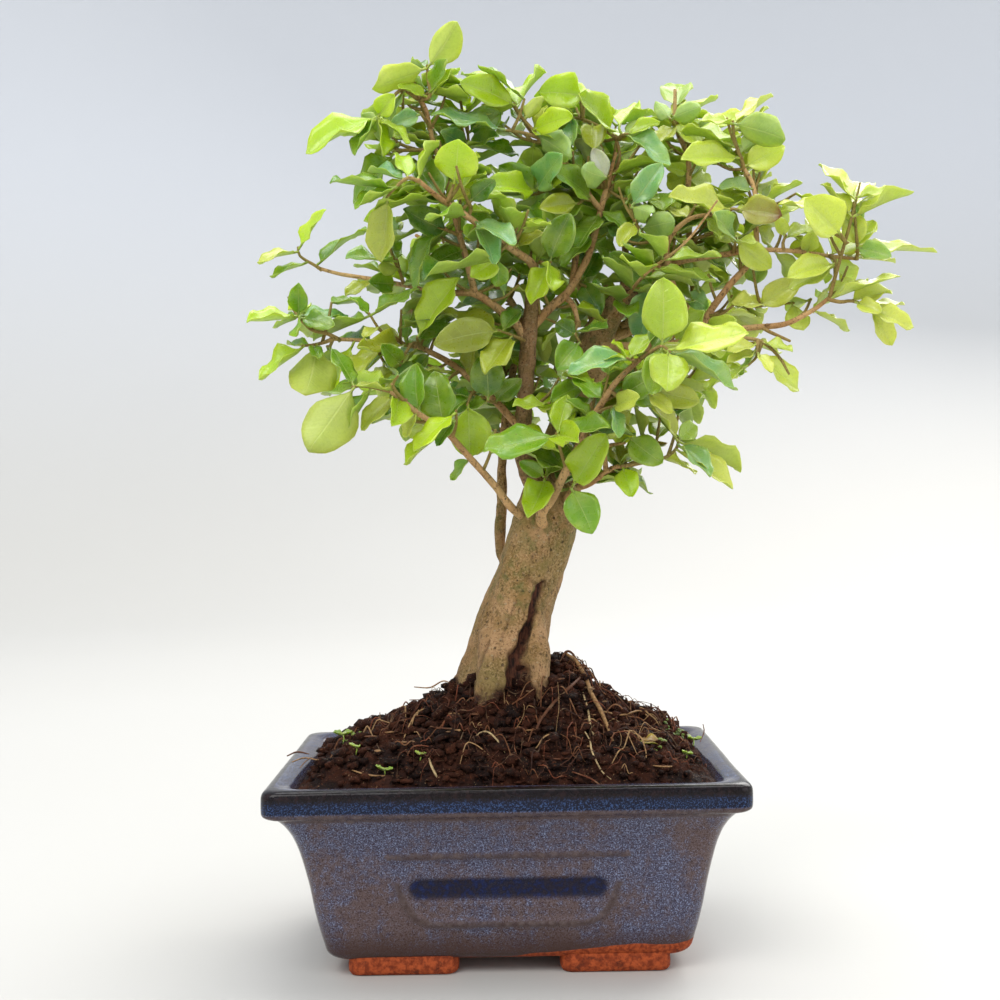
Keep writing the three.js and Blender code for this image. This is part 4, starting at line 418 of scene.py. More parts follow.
        (838, 264, 790, 273, 24, -8, 0), (834, 269, 789, 285, 22, -12, 1), (829, 255, 789, 242, 24, 4, 5),
        (857, 245, 849, 211, 26, -6, 0), (858, 247, 873, 216, 20, 6, 0), (860, 248, 889, 254, 20, -10, 3),
        (858, 258, 897, 256, 18, 8, 4), (860, 250, 938, 242, 13, 4, 4), (786, 236, 778, 216, 14, -6, 0),
        (786, 234, 818, 222, 18, 6, 1), (806, 253, 812, 233, 18, 8, 1), (681, 262, 706, 290, 16, 8, 2),
     ]},
    {"name": "limb_right_riser", "branches": ["rightRiser"], "most": 4,
     "twigs": [
        [(744, 169, -2), (741, 158, -4), (737, 148, -6), (734, 135, -6), (733, 121, -6)],
        [(707, 316, -8), (730, 310, -2), (760, 306, 0), (794, 303, 1)],
        [(755, 212, -4), (755, 203, -1), (760, 197, 1)],
     ],
     "leaves": [
        (740, 157, 684, 154, 28, -8, 0), (744, 167, 784, 146, 28, -6, 0),
        (740, 154, 766, 131, 14, 4, 3, -1), (734, 124, 790, 138, 26, -8, 3, -1),
        (734, 130, 768, 128, 14, 6, 2), (733, 120, 770, 90, 10, 8, 4), (733, 122, 704, 116, 12, -8, 0),
        (735, 136, 716, 164, 16, 6, 2), (796, 303, 803, 333, 24, -6, 4, -1),
        (768, 305, 735, 298, 16, -8, 4), (750, 307, 700, 277, 20, 6, 2), (757, 306, 800, 281, 26, -6, 5),
        (754, 190, 722, 183, 16, -8, 3), (760, 197, 777, 190, 16, 6, 2), (756, 226, 775, 246, 20, -8, 0),
     ]},
    {"name": "limb_rear_riser", "branches": ["rearRiser", "rearRiserTwig"], "most": 8,
     "twigs": [
        [(676, 128, 20), (673, 122, 16), (670, 119, 13)],
        [(688, 299, 19), (684, 294, 14), (681, 291, 11)],
        [(687, 152, 20), (694, 143, 18), (700, 132, 17)],
     ],
     "leaves": [
        (671, 120, 703, 108, 22, -8, 3, -1), (670, 120, 656, 104, 16, 6, 3, -1),
        (677, 123, 700, 142, 22, -10, 0), (674, 126, 658, 141, 20, -10, 5),
        (698, 133, 748, 113, 16, -6, 0), (700, 133, 716, 118, 18, 6, 3, -1),
        (681, 291, 701, 279, 24, -8, 2), (684, 294, 710, 307, 22, -6, 3), (683, 172, 668, 166, 14, -6, 0),
        (728, 228, 716, 240, 12, -6, 0), (690, 180, 715, 180, 20, 8, 0), (690, 175, 664, 184, 20, 8, 4),
     ]},
    {"name": "spray_leader_left", "branches": [], "most": 3,
     "twigs": [
        [(528, 342, -9), (514, 336, -16), (498, 330, -21)],
     ],
     "leaves": [
        (497, 330, 436, 343, 35, -8, 5), (500, 328, 442, 305, 20, -6, 5), (510, 338, 484, 368, 26, -14, 5),
        (503, 330, 520, 306, 18, 6, 2),
     ]},
    {"name": "spray_leader_top", "branches": [], "most": 2,
     "twigs": [
        [(540, 262, -10), (546, 264, -12), (551, 262, -14)],
     ],
     "leaves": [
        (551, 262, 570, 214, 32, -6, 2), (549, 264, 530, 300, 24, -8, 0), (550, 264, 558, 282, 14, -10, 0),
     ]},
    {"name": "spray_leader_right", "branches": [], "most": 3,
     "twigs": [
        [(525, 402, -8), (538, 404, -15), (550, 403, -18)],
     ],
     "leaves": [
        (549, 404, 514, 402, 12, -8, 0), (551, 403, 582, 384, 22, 6, 1), (545, 404, 556, 430, 18, 8, 2),
     ]},
    {"name": "spray_fork", "branches": [], "most": 0,
     "twigs": [
        [(552, 484, -2), (548, 479, -12), (545, 477, -16)],
     ],
     "leaves": [
        (546, 476, 575, 438, 24, 4, 2), (545, 478, 528, 512, 26, -6, 0), (546, 477, 520, 462, 16, 4, 1),
     ]},
    {"name": "spray_rear_stem", "branches": [], "most": 8, "away": 0,
     "twigs": [
        [(508, 400, 14), (502, 380, 16), (506, 358, 17), (500, 338, 17)],
     ]},
    *[{"name": f"limb_{name}", "branches": [name], "most": 10, "away": 0, "thickest": 1.9, "spacing": 7.5}
      for name in GUESSED_BRANCHES],
    {"name": "limb_middle_top", "branches": ["middleTop"], "most": 4,
     "twigs": [
        [(537, 137, -11), (524, 133, -14), (512, 131, -16), (503, 130, -17)],
        [(539, 139, -10), (531, 128, -12), (520, 115, -14), (514, 103, -15)],
        [(588, 194, -3), (582, 201, -8), (578, 204, -10)],
        [(568, 169, -8), (554, 184, -4), (542, 192, -6), (534, 191, -8)],
     ],
     "leaves": [
        (506, 131, 434, 107, 20, -10, 3), (516, 101, 464, 80, 30, -10, 0), (516, 99, 465, 66, 20, 10, 0),
        (518, 108, 538, 66, 18, 8, 0), (524, 120, 540, 97, 12, 8, 4, -1), (533, 129, 567, 114, 26, -14, 0),
        (537, 134, 577, 157, 16, -10, 3, -1), (590, 200, 562, 168, 24, -10, 1),
        (578, 204, 541, 207, 22, -6, 5), (585, 199, 553, 224, 18, -8, 2), (534, 190, 502, 166, 28, -8, 1),
        (536, 191, 556, 156, 28, -6, 3), (545, 190, 564, 170, 14, -14, 0), (534, 192, 493, 178, 12, -12, 0),
     ]},
]

# Sizes of leaves, twigs and leaf stalks
FOLD = 0.16
DROOP = 0.12
SLIM = 0.5
FLATTEST = 2.4
TWIG_RADIUS = (0.95, 0.65)
STALK_LEAST = 3
STEEPEST, INWARD = 0.35, 0.25
LEAF_MIDDLE = 0.55

# Leaves by rule: those that the solids have too, and smaller extra ones between them
RULED = {
    "length": 15, "more_length": 9, "slim": 0.5, "more_slim": 0.16, "lean": 0.5, "more_lean": 0.5,
    "scatter": 0.6, "tries": 9, "swing": 0.7, "shrink": 0.045, "out": 0.4,
}
EXTRA = {
    "length": 12.0, "more_length": 8.0, "slim": 0.52, "more_slim": 0.16, "lean": 0.35, "more_lean": 0.6,
    "scatter": 0.7, "tries": 4, "swing": 0.6, "shrink": 0.06, "out": 0.5,
}

# How close leaves may come to leaves and wood
LEAF_CLEAR = 2.8
OWN_LEAF_CLEAR = 1.5
WOOD_CLEAR = 1.5
OWN_WOOD = 0.6
WOOD_STEP = 2.5
NEAR = 34

# Changes that a seen leaf tries in turn until it is clear: extra depth of its tip, extra roll
TRIES = [
    (0, 0), (5, 0), (-5, 0), (0, 25), (0, -25), (9, 10), (-9, -10), (13, 0), (-13, 0), (6, 40),
    (-6, -40), (17, 20), (-17, -20), (11, -40), (-11, 40), (20, 0), (-20, 0),
]
BLADE = [(0, 0.02), (0.12, 0.2), (0.3, 0.86), (0.45, 1), (0.62, 0.9), (0.85, 0.45), (1, 0)]
FACING = np.array([0.0, -1.0, 0.0])
UP = np.array([0.0, 0.0, 1.0])

PROBE = [(share, across * along(BLADE, share))
         for share in (0.3, 0.45, 0.6, 0.75, 0.88, 1) for across in (-1, -0.5, 0, 0.5, 1)]
PROBE_SHARE = np.array([row[0] for row in PROBE])
PROBE_ACROSS = np.array([row[1] for row in PROBE])


def leaf_frame(base, tip, upper, width):
    direction = tip - base
    length = np.linalg.norm(direction)
    direction = direction / length
    normal = unit(upper - direction * np.dot(upper, direction))
    return {
        "base": base, "direction": direction, "normal": normal,
        "side": np.cross(direction, normal), "length": length, "width": width,
    }


def leaf_points(leaf, share, across, lift=0.0):
    """Points of a leaf: share of its length, share of its half width, lift along its upper side."""
    share, across = np.asarray(share, float), np.asarray(across, float)
    arch = -DROOP * leaf["length"] * share * share + FOLD * np.abs(across) * leaf["width"] + lift
    return (leaf["base"] + np.multiply.outer(share * leaf["length"], leaf["direction"])
            + np.multiply.outer(across * leaf["width"] / 2, leaf["side"])
            + np.multiply.outer(arch, leaf["normal"]))


def spaced(points, radii, step):
    """Evenly spaced places along a line of points, each with its radius and direction."""
    places = []
    for i in range(1, len(points)):
        run = points[i] - points[i - 1]
        count = max(1, math.ceil(np.linalg.norm(run) / step))
        for k in range(count):
            places.append({
                "at": points[i - 1] + run * (k / count),
                "radius": radii[i - 1] + (radii[i] - radii[i - 1]) * (k / count),
                "along": unit(run),
            })
    return places


def seen_line(rows):
    return [seen(*row[:3]) for row in rows]


def twig_line(rows):
    last = len(rows) - 1
    fade = TWIG_RADIUS[1] - TWIG_RADIUS[0]
    return seen_line(rows), [TWIG_RADIUS[0] + fade * i / last for i in range(len(rows))]


BRANCHES = {name: (seen_line(rows), [row[3] for row in rows]) for name, rows in SEEN_BRANCHES.items()}
for branch_name, branch_rows in GUESSED_BRANCHES.items():
    BRANCHES[branch_name] = ([np.array(row[:3], float) for row in branch_rows],
                             [row[3] for row in branch_rows])
TRUNK_BRANCHES = ["leader", "leaderStub", "rearStem"]
LIMB_LINES = [
    [BRANCHES[name] for name in limb["branches"]] + [twig_line(rows) for rows in limb.get("twigs", [])]
    for limb in LIMBS
]

# Everything that leaves are kept clear of, each with the limb it belongs to (-1 for the trunk)
wood_at, wood_radius, wood_owner = [], [], []
trunk_lines = [([np.array(row[:3], float) for row in TRUNK], [row[3] * 1.1 for row in TRUNK])]
trunk_lines += [BRANCHES[name] for name in TRUNK_BRANCHES]
for owner, lines in [*enumerate(LIMB_LINES), (-1, trunk_lines)]:
    for points, radii in lines:
        for place in spaced(points, radii, WOOD_STEP):
            wood_at.append(place["at"])
            wood_radius.append(place["radius"])
            wood_owner.append(owner)
wood_at, wood_radius, wood_owner = np.array(wood_at), np.array(wood_radius), np.array(wood_owner)
placed_middle, placed_probe, placed_owner = [], [], []


def is_clear(leaf, owner, share=1.0):
    """Whether a leaf stays clear of the wood and of the leaves placed before it."""
    probe = leaf_points(leaf, PROBE_SHARE, PROBE_ACROSS)
    middle = leaf_points(leaf, LEAF_MIDDLE, 0.0)
    near = np.linalg.norm(wood_at - middle, axis=1) < NEAR
    reach = wood_radius[near] + np.where(wood_owner[near] == owner, WOOD_CLEAR * OWN_WOOD, WOOD_CLEAR)
    gaps = np.linalg.norm(wood_at[near][:, None] - probe[None], axis=2)
    if (gaps < share * reach[:, None]).any():
        return False
    if placed_middle:
        owners = np.array(placed_owner)
        near = np.nonzero(np.linalg.norm(np.array(placed_middle) - middle, axis=1) < NEAR)[0]
        for other in near:
            reach = OWN_LEAF_CLEAR if owners[other] == owner else LEAF_CLEAR
            gaps = np.linalg.norm(placed_probe[other][:, None] - probe[None], axis=2)
            if (gaps < share * reach).any():
                return False
    return True


def keep_clear(leaf, owner):
    placed_middle.append(leaf_points(leaf, LEAF_MIDDLE, 0.0))
    placed_probe.append(leaf_points(leaf, PROBE_SHARE, PROBE_ACROSS))
    placed_owner.append(owner)


def seen_leaf(row, places, owner, random):
    """A leaf that the picture shows, on its limb, changed until it is clear."""
    base_x, base_y, tip_x, tip_y, width, deeper, tone, side = (*row, 1)[:8]
    best = None
    for place in places:
        spot = seen(base_x, base_y, place["at"][1])
        gap = math.hypot(spot[0] - place["at"][0], spot[2] - place["at"][2])
        if best is None or gap < best[0]:
            best = (gap, place, spot)
    gap, place, spot = best
    base = place["at"] if gap < STALK_LEAST else spot
    waves = [2 * random() - 1, 2 * random() - 1]
    for more_deep, more_roll in TRIES:
        tip = seen(tip_x, tip_y, base[1] + deeper + more_deep)
        direction = unit(tip - base)
        length = np.linalg.norm(tip - base)
        seen_width = width * (base[1] - EYE[1]) / FOCAL
        true_width = max(seen_width, min(SLIM * length, seen_width * FLATTEST))
        facing = unit(FACING - direction * np.dot(FACING, direction))
        rise = np.cross(facing, direction)
        if rise[2] < 0:
            rise = -rise
        roll = math.acos(min(1.0, seen_width / true_width)) + math.radians(more_roll)
        upper = facing * side * math.cos(roll) + rise * math.sin(roll)
        leaf = leaf_frame(base, tip, upper, true_width)
        leaf.update(waves=waves, tone=tone, wood=place["at"])
        if is_clear(leaf, owner):
            keep_clear(leaf, owner)
            return leaf
    return None


def tried_leaves(place, turn, upper, rule, away, random):
    """Leaves at a place of wood, one try after another, each turned further round it and shorter."""
    line = place["along"]
    first = np.array([1.0, 0.0, 0.0]) if abs(line[2]) > 0.8 else UP
    e1 = unit(first - line * np.dot(first, line))
    e2 = np.cross(line, e1)
    size = rule["length"] + rule["more_length"] * random()
    slim = rule["slim"] + rule["more_slim"] * random()
    waves = [2 * random() - 1, 2 * random() - 1]
    lean = rule["lean"] + rule["more_lean"] * random()
    start = turn + rule["scatter"] * (random() - 0.5)
    for attempt in range(rule["tries"]):
        angle = start + rule["swing"] * attempt * (1 if attempt % 2 == 0 else -1)
        length = size * (1 - rule["shrink"] * attempt)
        direction = unit(line * lean + e1 * math.cos(angle) + e2 * math.sin(angle))
        steep = np.linalg.norm(np.cross(upper, direction)) < STEEPEST
        if steep or direction[1] * away < -INWARD:
            continue
        base = place["at"] + direction * place["radius"] * rule["out"]
        leaf = leaf_frame(base, base + direction * length, upper, length * slim)
        leaf.update(waves=waves, tone=None, wood=place["at"])
        yield leaf


def ruled_leaf(place, turn, away, owner, random):
    """A leaf by rule at a place of wood: in crossed pairs, with its upper side to the light."""
    upper = UP + 0.5 * place["along"] + INWARD * away * FACING
    for leaf in tried_leaves(place, turn, upper, RULED, away, random):
        if is_clear(leaf, owner):
            keep_clear(leaf, owner)
            return leaf
    return None


# All seen leaves come first, then leaves by rule fill every limb
seen_leaves, ruled_leaves = [], []
for owner, limb in enumerate(LIMBS):
    random = draws(100 + owner)
    places = [place for points, radii in LIMB_LINES[owner] for place in spaced(points, radii, 1)]
    made = [seen_leaf(row, places, owner, random) for row in limb.get("leaves", [])]
    seen_leaves.append([leaf for leaf in made if leaf])
for owner, limb in enumerate(LIMBS):
    random = draws(500 + owner)
    made = []
    for points, radii in LIMB_LINES[owner]:
        for i, place in enumerate(spaced(points, radii, limb.get("spacing", 9))):
            if place["radius"] > limb.get("thickest", 1.5):
                continue
            for turn in (0, math.pi):
                leaf = ruled_leaf(place, turn + (i % 2) * math.pi / 2, limb.get("away", 1), owner, random)
                if leaf and len(made) < limb.get("most", 12):
                    made.append(leaf)
    ruled_leaves.append(made)


# More leaves than the solids have: on short side shoots, inside the crown's outline in the picture
CROWN = [
    (305, 142), (340, 108), (380, 98), (415, 66), (440, 26), (460, 24), (452, 58), (500, 58), (532, 76),
    (570, 70), (600, 92), (640, 102), (676, 94), (704, 110), (760, 98), (790, 130), (782, 160), (800, 196),
    (850, 192), (884, 187), (880, 216), (934, 243), (902, 262), (910, 320), (894, 342), (850, 304),
    (800, 330), (790, 346), (802, 384), (770, 372), (744, 382), (704, 402), (712, 424), (742, 462),
    (738, 484), (700, 466), (662, 472), (640, 490), (606, 484), (600, 524), (574, 516), (556, 496),
    (520, 508), (500, 478), (440, 440), (415, 440), (390, 424), (364, 430), (322, 452), (302, 442),
    (300, 404), (258, 374), (258, 350), (290, 322), (250, 310), (300, 284), (344, 276), (376, 238),
    (352, 192), (372, 166), (340, 142),
]
CROWN_BACK, CROWN_FRONT = 58.0, -46.0
SHOOT = {
    "step": 9.0, "thickest": 2.5, "length": 8.0, "more": 9.0, "tries": 4, "clear": 1.6, "near": 22.0,
    "pitch": 7.0, "two_above": 215, "radii": [0.62, 0.52, 0.42],
}
EXTRA_ROOM = 0.55


def in_crown(points):
    """Whether points are inside the crown's outline in the picture and its depth."""
    points = np.atleast_2d(points)
    spots = shown(points)
    inside = np.zeros(len(spots), bool)
    x, y = spots[:, 0], spots[:, 1]
    for (x0, y0), (x1, y1) in zip(CROWN, CROWN[1:] + CROWN[:1]):
        crosses = (y0 > y) != (y1 > y)
        across = x0 + (y - y0) * (x1 - x0) / ((y1 - y0) or 1e-9)
        inside ^= crosses & (x < across)
    return bool((inside & (points[:, 1] < CROWN_BACK) & (points[:, 1] > CROWN_FRONT)).all())


def thinning(point):
    """The share of extra leaves left out at a place: more below and on the right than at the top."""
    x, y = shown(point)[0]
    low = 0.72 * step(y, 190, 280) * (1 - 0.6 * step(x, 430, 520) + 0.35 * step(x, 640, 720))
    return max(low, 0.6 * step(x, 700, 760))


def line_is_clear(points):
    """Whether a thin line keeps clear of all leaves placed so far."""
    near = np.linalg.norm(np.array(placed_middle) - points[-1], axis=1) < SHOOT["near"]
    probes = np.array(placed_probe)[near].reshape(-1, 3)
    return not (np.linalg.norm(probes[:, None] - points[None], axis=2) < SHOOT["clear"]).any()


# The picture in small squares, and how much of a leaf may hide what the picture shows
CELL = 4
CELLS = 250
MOST_HIDING = 0.06


def squares(points):
    """The small square of the picture that each point falls in."""
    return np.clip((shown(points) / CELL).astype(int), 0, CELLS - 1)


def front_of_seen():
    """For each small square of the picture, the depth of the nearest seen leaf or branch there."""
    nearest = np.full((CELLS, CELLS), np.inf)
    share = np.repeat(np.linspace(0.05, 1, 16), 9)
    across = np.tile(np.linspace(-1, 1, 9), 16) * along(BLADE, share)
    spots = [leaf_points(leaf, share, across) for leaves in seen_leaves for leaf in leaves]
    for name in SEEN_BRANCHES:
        for place in spaced(*BRANCHES[name], 1.0):
            ways = (-place["radius"], 0, place["radius"])
            spots.append(place["at"] + np.array([[x, 0, z] for x in ways for z in ways]))
    spots = np.vstack(spots)
    cells = squares(spots)
    np.minimum.at(nearest, (cells[:, 0], cells[:, 1]), spots[:, 1])
    return nearest


NEAREST_SEEN = front_of_seen()


def hides_seen(points):
    """Whether points lie in front of a leaf or branch that the picture shows."""
    cells = squares(points)
    nearest = NEAREST_SEEN[cells[:, 0], cells[:, 1]]
    return (np.isfinite(nearest) & (points[:, 1] < nearest)).mean() > MOST_HIDING


def extra_leaf(at, line, turn, owner, random):
    """A smaller leaf by rule, with less room round it than the solids' leaves keep."""
    upper = UP + 0.4 * line + 0.35 * FACING * (1 if at[1] < 12 else -0.5)
    place = {"at": at, "along": line, "radius": 1.0}
    for leaf in tried_leaves(place, turn, upper, EXTRA, 0, random):
        if in_crown(leaf_points(leaf, [0.5, 1.0, 0.6, 0.6], [0, 0, 1, -1])) \
                and not hides_seen(leaf_points(leaf, PROBE_SHARE, PROBE_ACROSS)) \
                and random() > thinning(leaf_points(leaf, [0.5], [0])) \
                and is_clear(leaf, owner, EXTRA_ROOM):
            keep_clear(leaf, owner)
            return leaf
    return None


def shoot_leaves(line, ways, length, owner, random):
    """Pairs of leaves along a short shoot, which grows one way and then bends another."""
    made = []
    count = max(2, int(length / SHOOT["pitch"]))
    for number in range(1, count + 1):
        share = number / count
        if share > 0.99:
            at, way = line[0] + (line[2] - line[0]) * share, ways[1]
        elif share > 0.45:
            at, way = line[1], ways[1]
        else:
            at, way = (line[0] + line[1]) / 2, ways[0]
        for turn in (0, math.pi):
            made.append(extra_leaf(at, way, turn + number * 1.6, owner, random))
    return [leaf for leaf in made if leaf]


def fill_limb(owner):
    """A limb's extra leaves, and the lines of the short shoots that carry some of them."""
    random = draws(1300 + owner)
    made, lines = [], []
    places = [place for points, radii in LIMB_LINES[owner] for place in spaced(points, radii, SHOOT["step"])]
    for place in places:
        if place["radius"] > SHOOT["thickest"]:
            continue
        leaf = extra_leaf(place["at"], place["along"], 6 * random(), owner, random)
        if leaf:
            made.append(leaf)
        wanted = 2 if shown(place["at"][None])[0, 1] < SHOOT["two_above"] else 1
        for _ in range(SHOOT["tries"] * wanted):
            way = np.array([random() - 0.5, random() - 0.5, random() - 0.3])
            out = unit(way + 0.3 * place["along"])
            length = SHOOT["length"] + SHOOT["more"] * random()
            bend = unit(out + 0.5 * UP)
            elbow = place["at"] + out * length * 0.5
            line = np.array([place["at"], elbow, elbow + bend * length * 0.5])
            if in_crown(line[1:]) and not hides_seen(line[1:]) and line_is_clear(line[1:]):
                leaves = shoot_leaves(line, (out, bend), length, owner, random)
                if leaves:
                    made += leaves
                    lines.append(line)
                    wanted -= 1
                if wanted == 0:
                    break
    return made, lines


extra_leaves, shoots = zip(*[fill_limb(owner) for owner in range(len(LIMBS))])


class Shape:
    """Points, faces and per-point values gathered into one piece."""

    def __init__(self):
        self.points, self.faces, self.values = [], [], {}
        self.count = 0

    def add(self, points, faces, **values):
        """Add a part; a value is one number or colour for all its points, or one for each."""
        points = np.asarray(points, float)
        self.points.append(points)
        self.faces += [tuple(corner + self.count for corner in face) for face in faces]
        for name, value in values.items():
            value = np.asarray(value, float)
            if value.shape in ((), (3,)):
                value = np.broadcast_to(value, (len(points), *value.shape))
            self.values.setdefault(name, []).append(value)
        self.count += len(points)


def piece(name, shape, material, replaced=(), sharp=None):
    """A mesh of a shape, riding on the part, with its values as attributes."""
    points = (np.vstack(shape.points) + POT_MIDDLE) / 1000
    mesh = bpy.data.meshes.new(name)
    mesh.from_pydata(points.tolist(), [], shape.faces)
    mesh.materials.append(material)
    for value_name, parts in shape.values.items():
        data = np.concatenate(parts).astype(np.float32)
        if data.ndim == 1:
            mesh.attributes.new(value_name, "FLOAT", "POINT").data.foreach_set("value", data)
        else:
            colour = np.ones((len(data), 4), np.float32)
            colour[:, :data.shape[1]] = data
            layer = mesh.attributes.new(value_name, "FLOAT_COLOR", "POINT")
            layer.data.foreach_set("color", colour.ravel())
    mesh.update()
    mesh.shade_smooth()
    if sharp is not None:
        mesh.set_sharp_from_angle(angle=math.radians(sharp))
    made = bpy.data.objects.new(name, mesh)
    bpy.context.scene.collection.objects.link(made)
    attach(made, "root")
    if replaced:
        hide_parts(*replaced)
    return made


def ring_faces(rows, count, capped=True):
    """Faces of rings of equal length joined into one skin, with a face over each end."""
    faces = []
    for r in range(rows - 1):
        for i in range(count):
            a, b = r * count + i, r * count + (i + 1) % count
            faces.append((a, b, b + count, a + count))
    if capped:
        last = (rows - 1) * count
        faces.append(tuple(range(count - 1, -1, -1)))
        faces.append(tuple(range(last, last + count)))
    return faces


def frames(points):
    """A normal and a side for each place of a line, turned as little as possible."""
    tangents = unit(np.gradient(points, axis=0))
    normal = np.array([1.0, 0, 0]) if abs(tangents[0][2]) > 0.9 else UP
    normals, sides = [], []
    for tangent in tangents:
        normal = unit(normal - tangent * np.dot(normal, tangent))
        normals.append(normal)
        sides.append(np.cross(tangent, normal))
    return tangents, np.array(normals), np.array(sides)


def tube(points, radii, sides, bumps=None):
    """Points and faces of a tube along a line; bumps scale each ring's radius round its section."""
    points = np.asarray(points, float)
    _, normals, across = frames(points)
    angles = 2 * np.pi * np.arange(sides) / sides
    reach = np.asarray(radii, float)[:, None] * np.ones(sides)
    if bumps is not None:
        reach = reach * bumps
    rings = (points[:, None] + normals[:, None] * (reach * np.cos(angles))[..., None]
             + across[:, None] * (reach * np.sin(angles))[..., None])
    return rings.reshape(-1, 3), ring_faces(len(points), sides)


class Nodes:
    """Short calls for building a material's nodes."""

    def __init__(self, name):
        self.material = bpy.data.materials.new(name)
        self.material.use_nodes = True
        self.tree = self.material.node_tree
        self.shader = self.tree.nodes["Principled BSDF"]

    def node(self, kind, **settings):
        made = self.tree.nodes.new(kind)
        for name, value in settings.items():
            setattr(made, name, value)
        return made

    def link(self, source, target):
        self.tree.links.new(source, target)

    def feed(self, socket, value):
        if isinstance(value, bpy.types.NodeSocket):
            self.link(value, socket)
        else:
            socket.default_value = value

    def feed_colour(self, socket, colour):
        self.feed(socket, colour if isinstance(colour, bpy.types.NodeSocket) else (*colour, 1.0))

    def place(self):
        return self.node("ShaderNodeTexCoord").outputs["Object"]

    def value(self, name):
        return self.node("ShaderNodeAttribute", attribute_name=name).outputs["Fac"]

    def tint(self, name):
        return self.node("ShaderNodeAttribute", attribute_name=name).outputs["Color"]

    def noise(self, size, detail=3.0, rough=0.55, where=None):
        """Noise with features of a size in millimetres."""
        made = self.node("ShaderNodeTexNoise")
        made.inputs["Scale"].default_value = 1000 / size
        made.inputs["Detail"].default_value = detail
        made.inputs["Roughness"].default_value = rough
        self.link(where or self.place(), made.inputs["Vector"])
        return made.outputs["Fac"]

    def cells(self, size, where=None):
        """How far each place is from the nearest of scattered points, which lie a size apart."""
        made = self.node("ShaderNodeTexVoronoi")
        made.inputs["Scale"].default_value = 1000 / size
        self.link(where or self.place(), made.inputs["Vector"])
        return made.outputs["Distance"]

    def stretched(self, sizes):
        """A place whose axes are scaled, so that a texture draws out along the smallest."""
        made = self.node("ShaderNodeMapping")
        made.inputs["Scale"].default_value = sizes
        self.link(self.place(), made.inputs["Vector"])
        return made.outputs["Vector"]

    def maths(self, kind, a, b=0.0, c=0.0):
        made = self.node("ShaderNodeMath", operation=kind)
        for socket, value in zip(made.inputs, (a, b, c)):
            self.feed(socket, value)
        return made.outputs["Value"]

    def times(self, a, b):
        return self.maths("MULTIPLY", a, b)

    def plus(self, a, b):
        return self.maths("ADD", a, b)

    def minus(self, a, b):
        return self.maths("SUBTRACT", a, b)

    def ramp(self, value, low, high, to_low=0.0, to_high=1.0):
        """A smooth step of a value between two limits."""
        made = self.node("ShaderNodeMapRange", interpolation_type="SMOOTHSTEP")
        self.feed(made.inputs["Value"], value)
        numbers = {"From Min": low, "From Max": high, "To Min": to_low, "To Max": to_high}
        for name, number in numbers.items():
            made.inputs[name].default_value = number
        return made.outputs["Result"]

    def mix(self, share, first, second):
        """Two colours mixed by a share."""
        made = self.node("ShaderNodeMix", data_type="RGBA")
        made.clamp_factor = True
        self.feed(made.inputs["Factor"], share)
        self.feed_colour(made.inputs[6], first)
        self.feed_colour(made.inputs[7], second)
        return made.outputs[2]

    def height(self, value, depth, strength=1.0):
        """A bump of a depth in millimetres."""
        made = self.node("ShaderNodeBump")
        made.inputs["Distance"].default_value = depth / 1000
        made.inputs["Strength"].default_value = strength
        self.link(value, made.inputs["Height"])
        return made.outputs["Normal"]

    def part(self, name):
        """One coordinate of the place, in millimetres."""
        split = self.node("ShaderNodeSeparateXYZ")
        self.link(self.place(), split.inputs["Vector"])
        return self.maths("MULTIPLY", split.outputs[name], 1000.0)

    def finish(self, colour, roughness, normal=None, **constant):
        self.feed_colour(self.shader.inputs["Base Color"], colour)
        self.feed(self.shader.inputs["Roughness"], roughness)
        if normal is not None:
            self.link(normal, self.shader.inputs["Normal"])
        for name, value in constant.items():
            self.shader.inputs[name.replace("_", " ")].default_value = value
        return self.material


def rgb(red, green, blue):
    """A colour given as screen values from 0 to 255, in the light's own scale."""
    shares = [value / 255 for value in (red, green, blue)]
    return tuple(s / 12.92 if s <= 0.04045 else ((s + 0.055) / 1.055) ** 2.4 for s in shares)


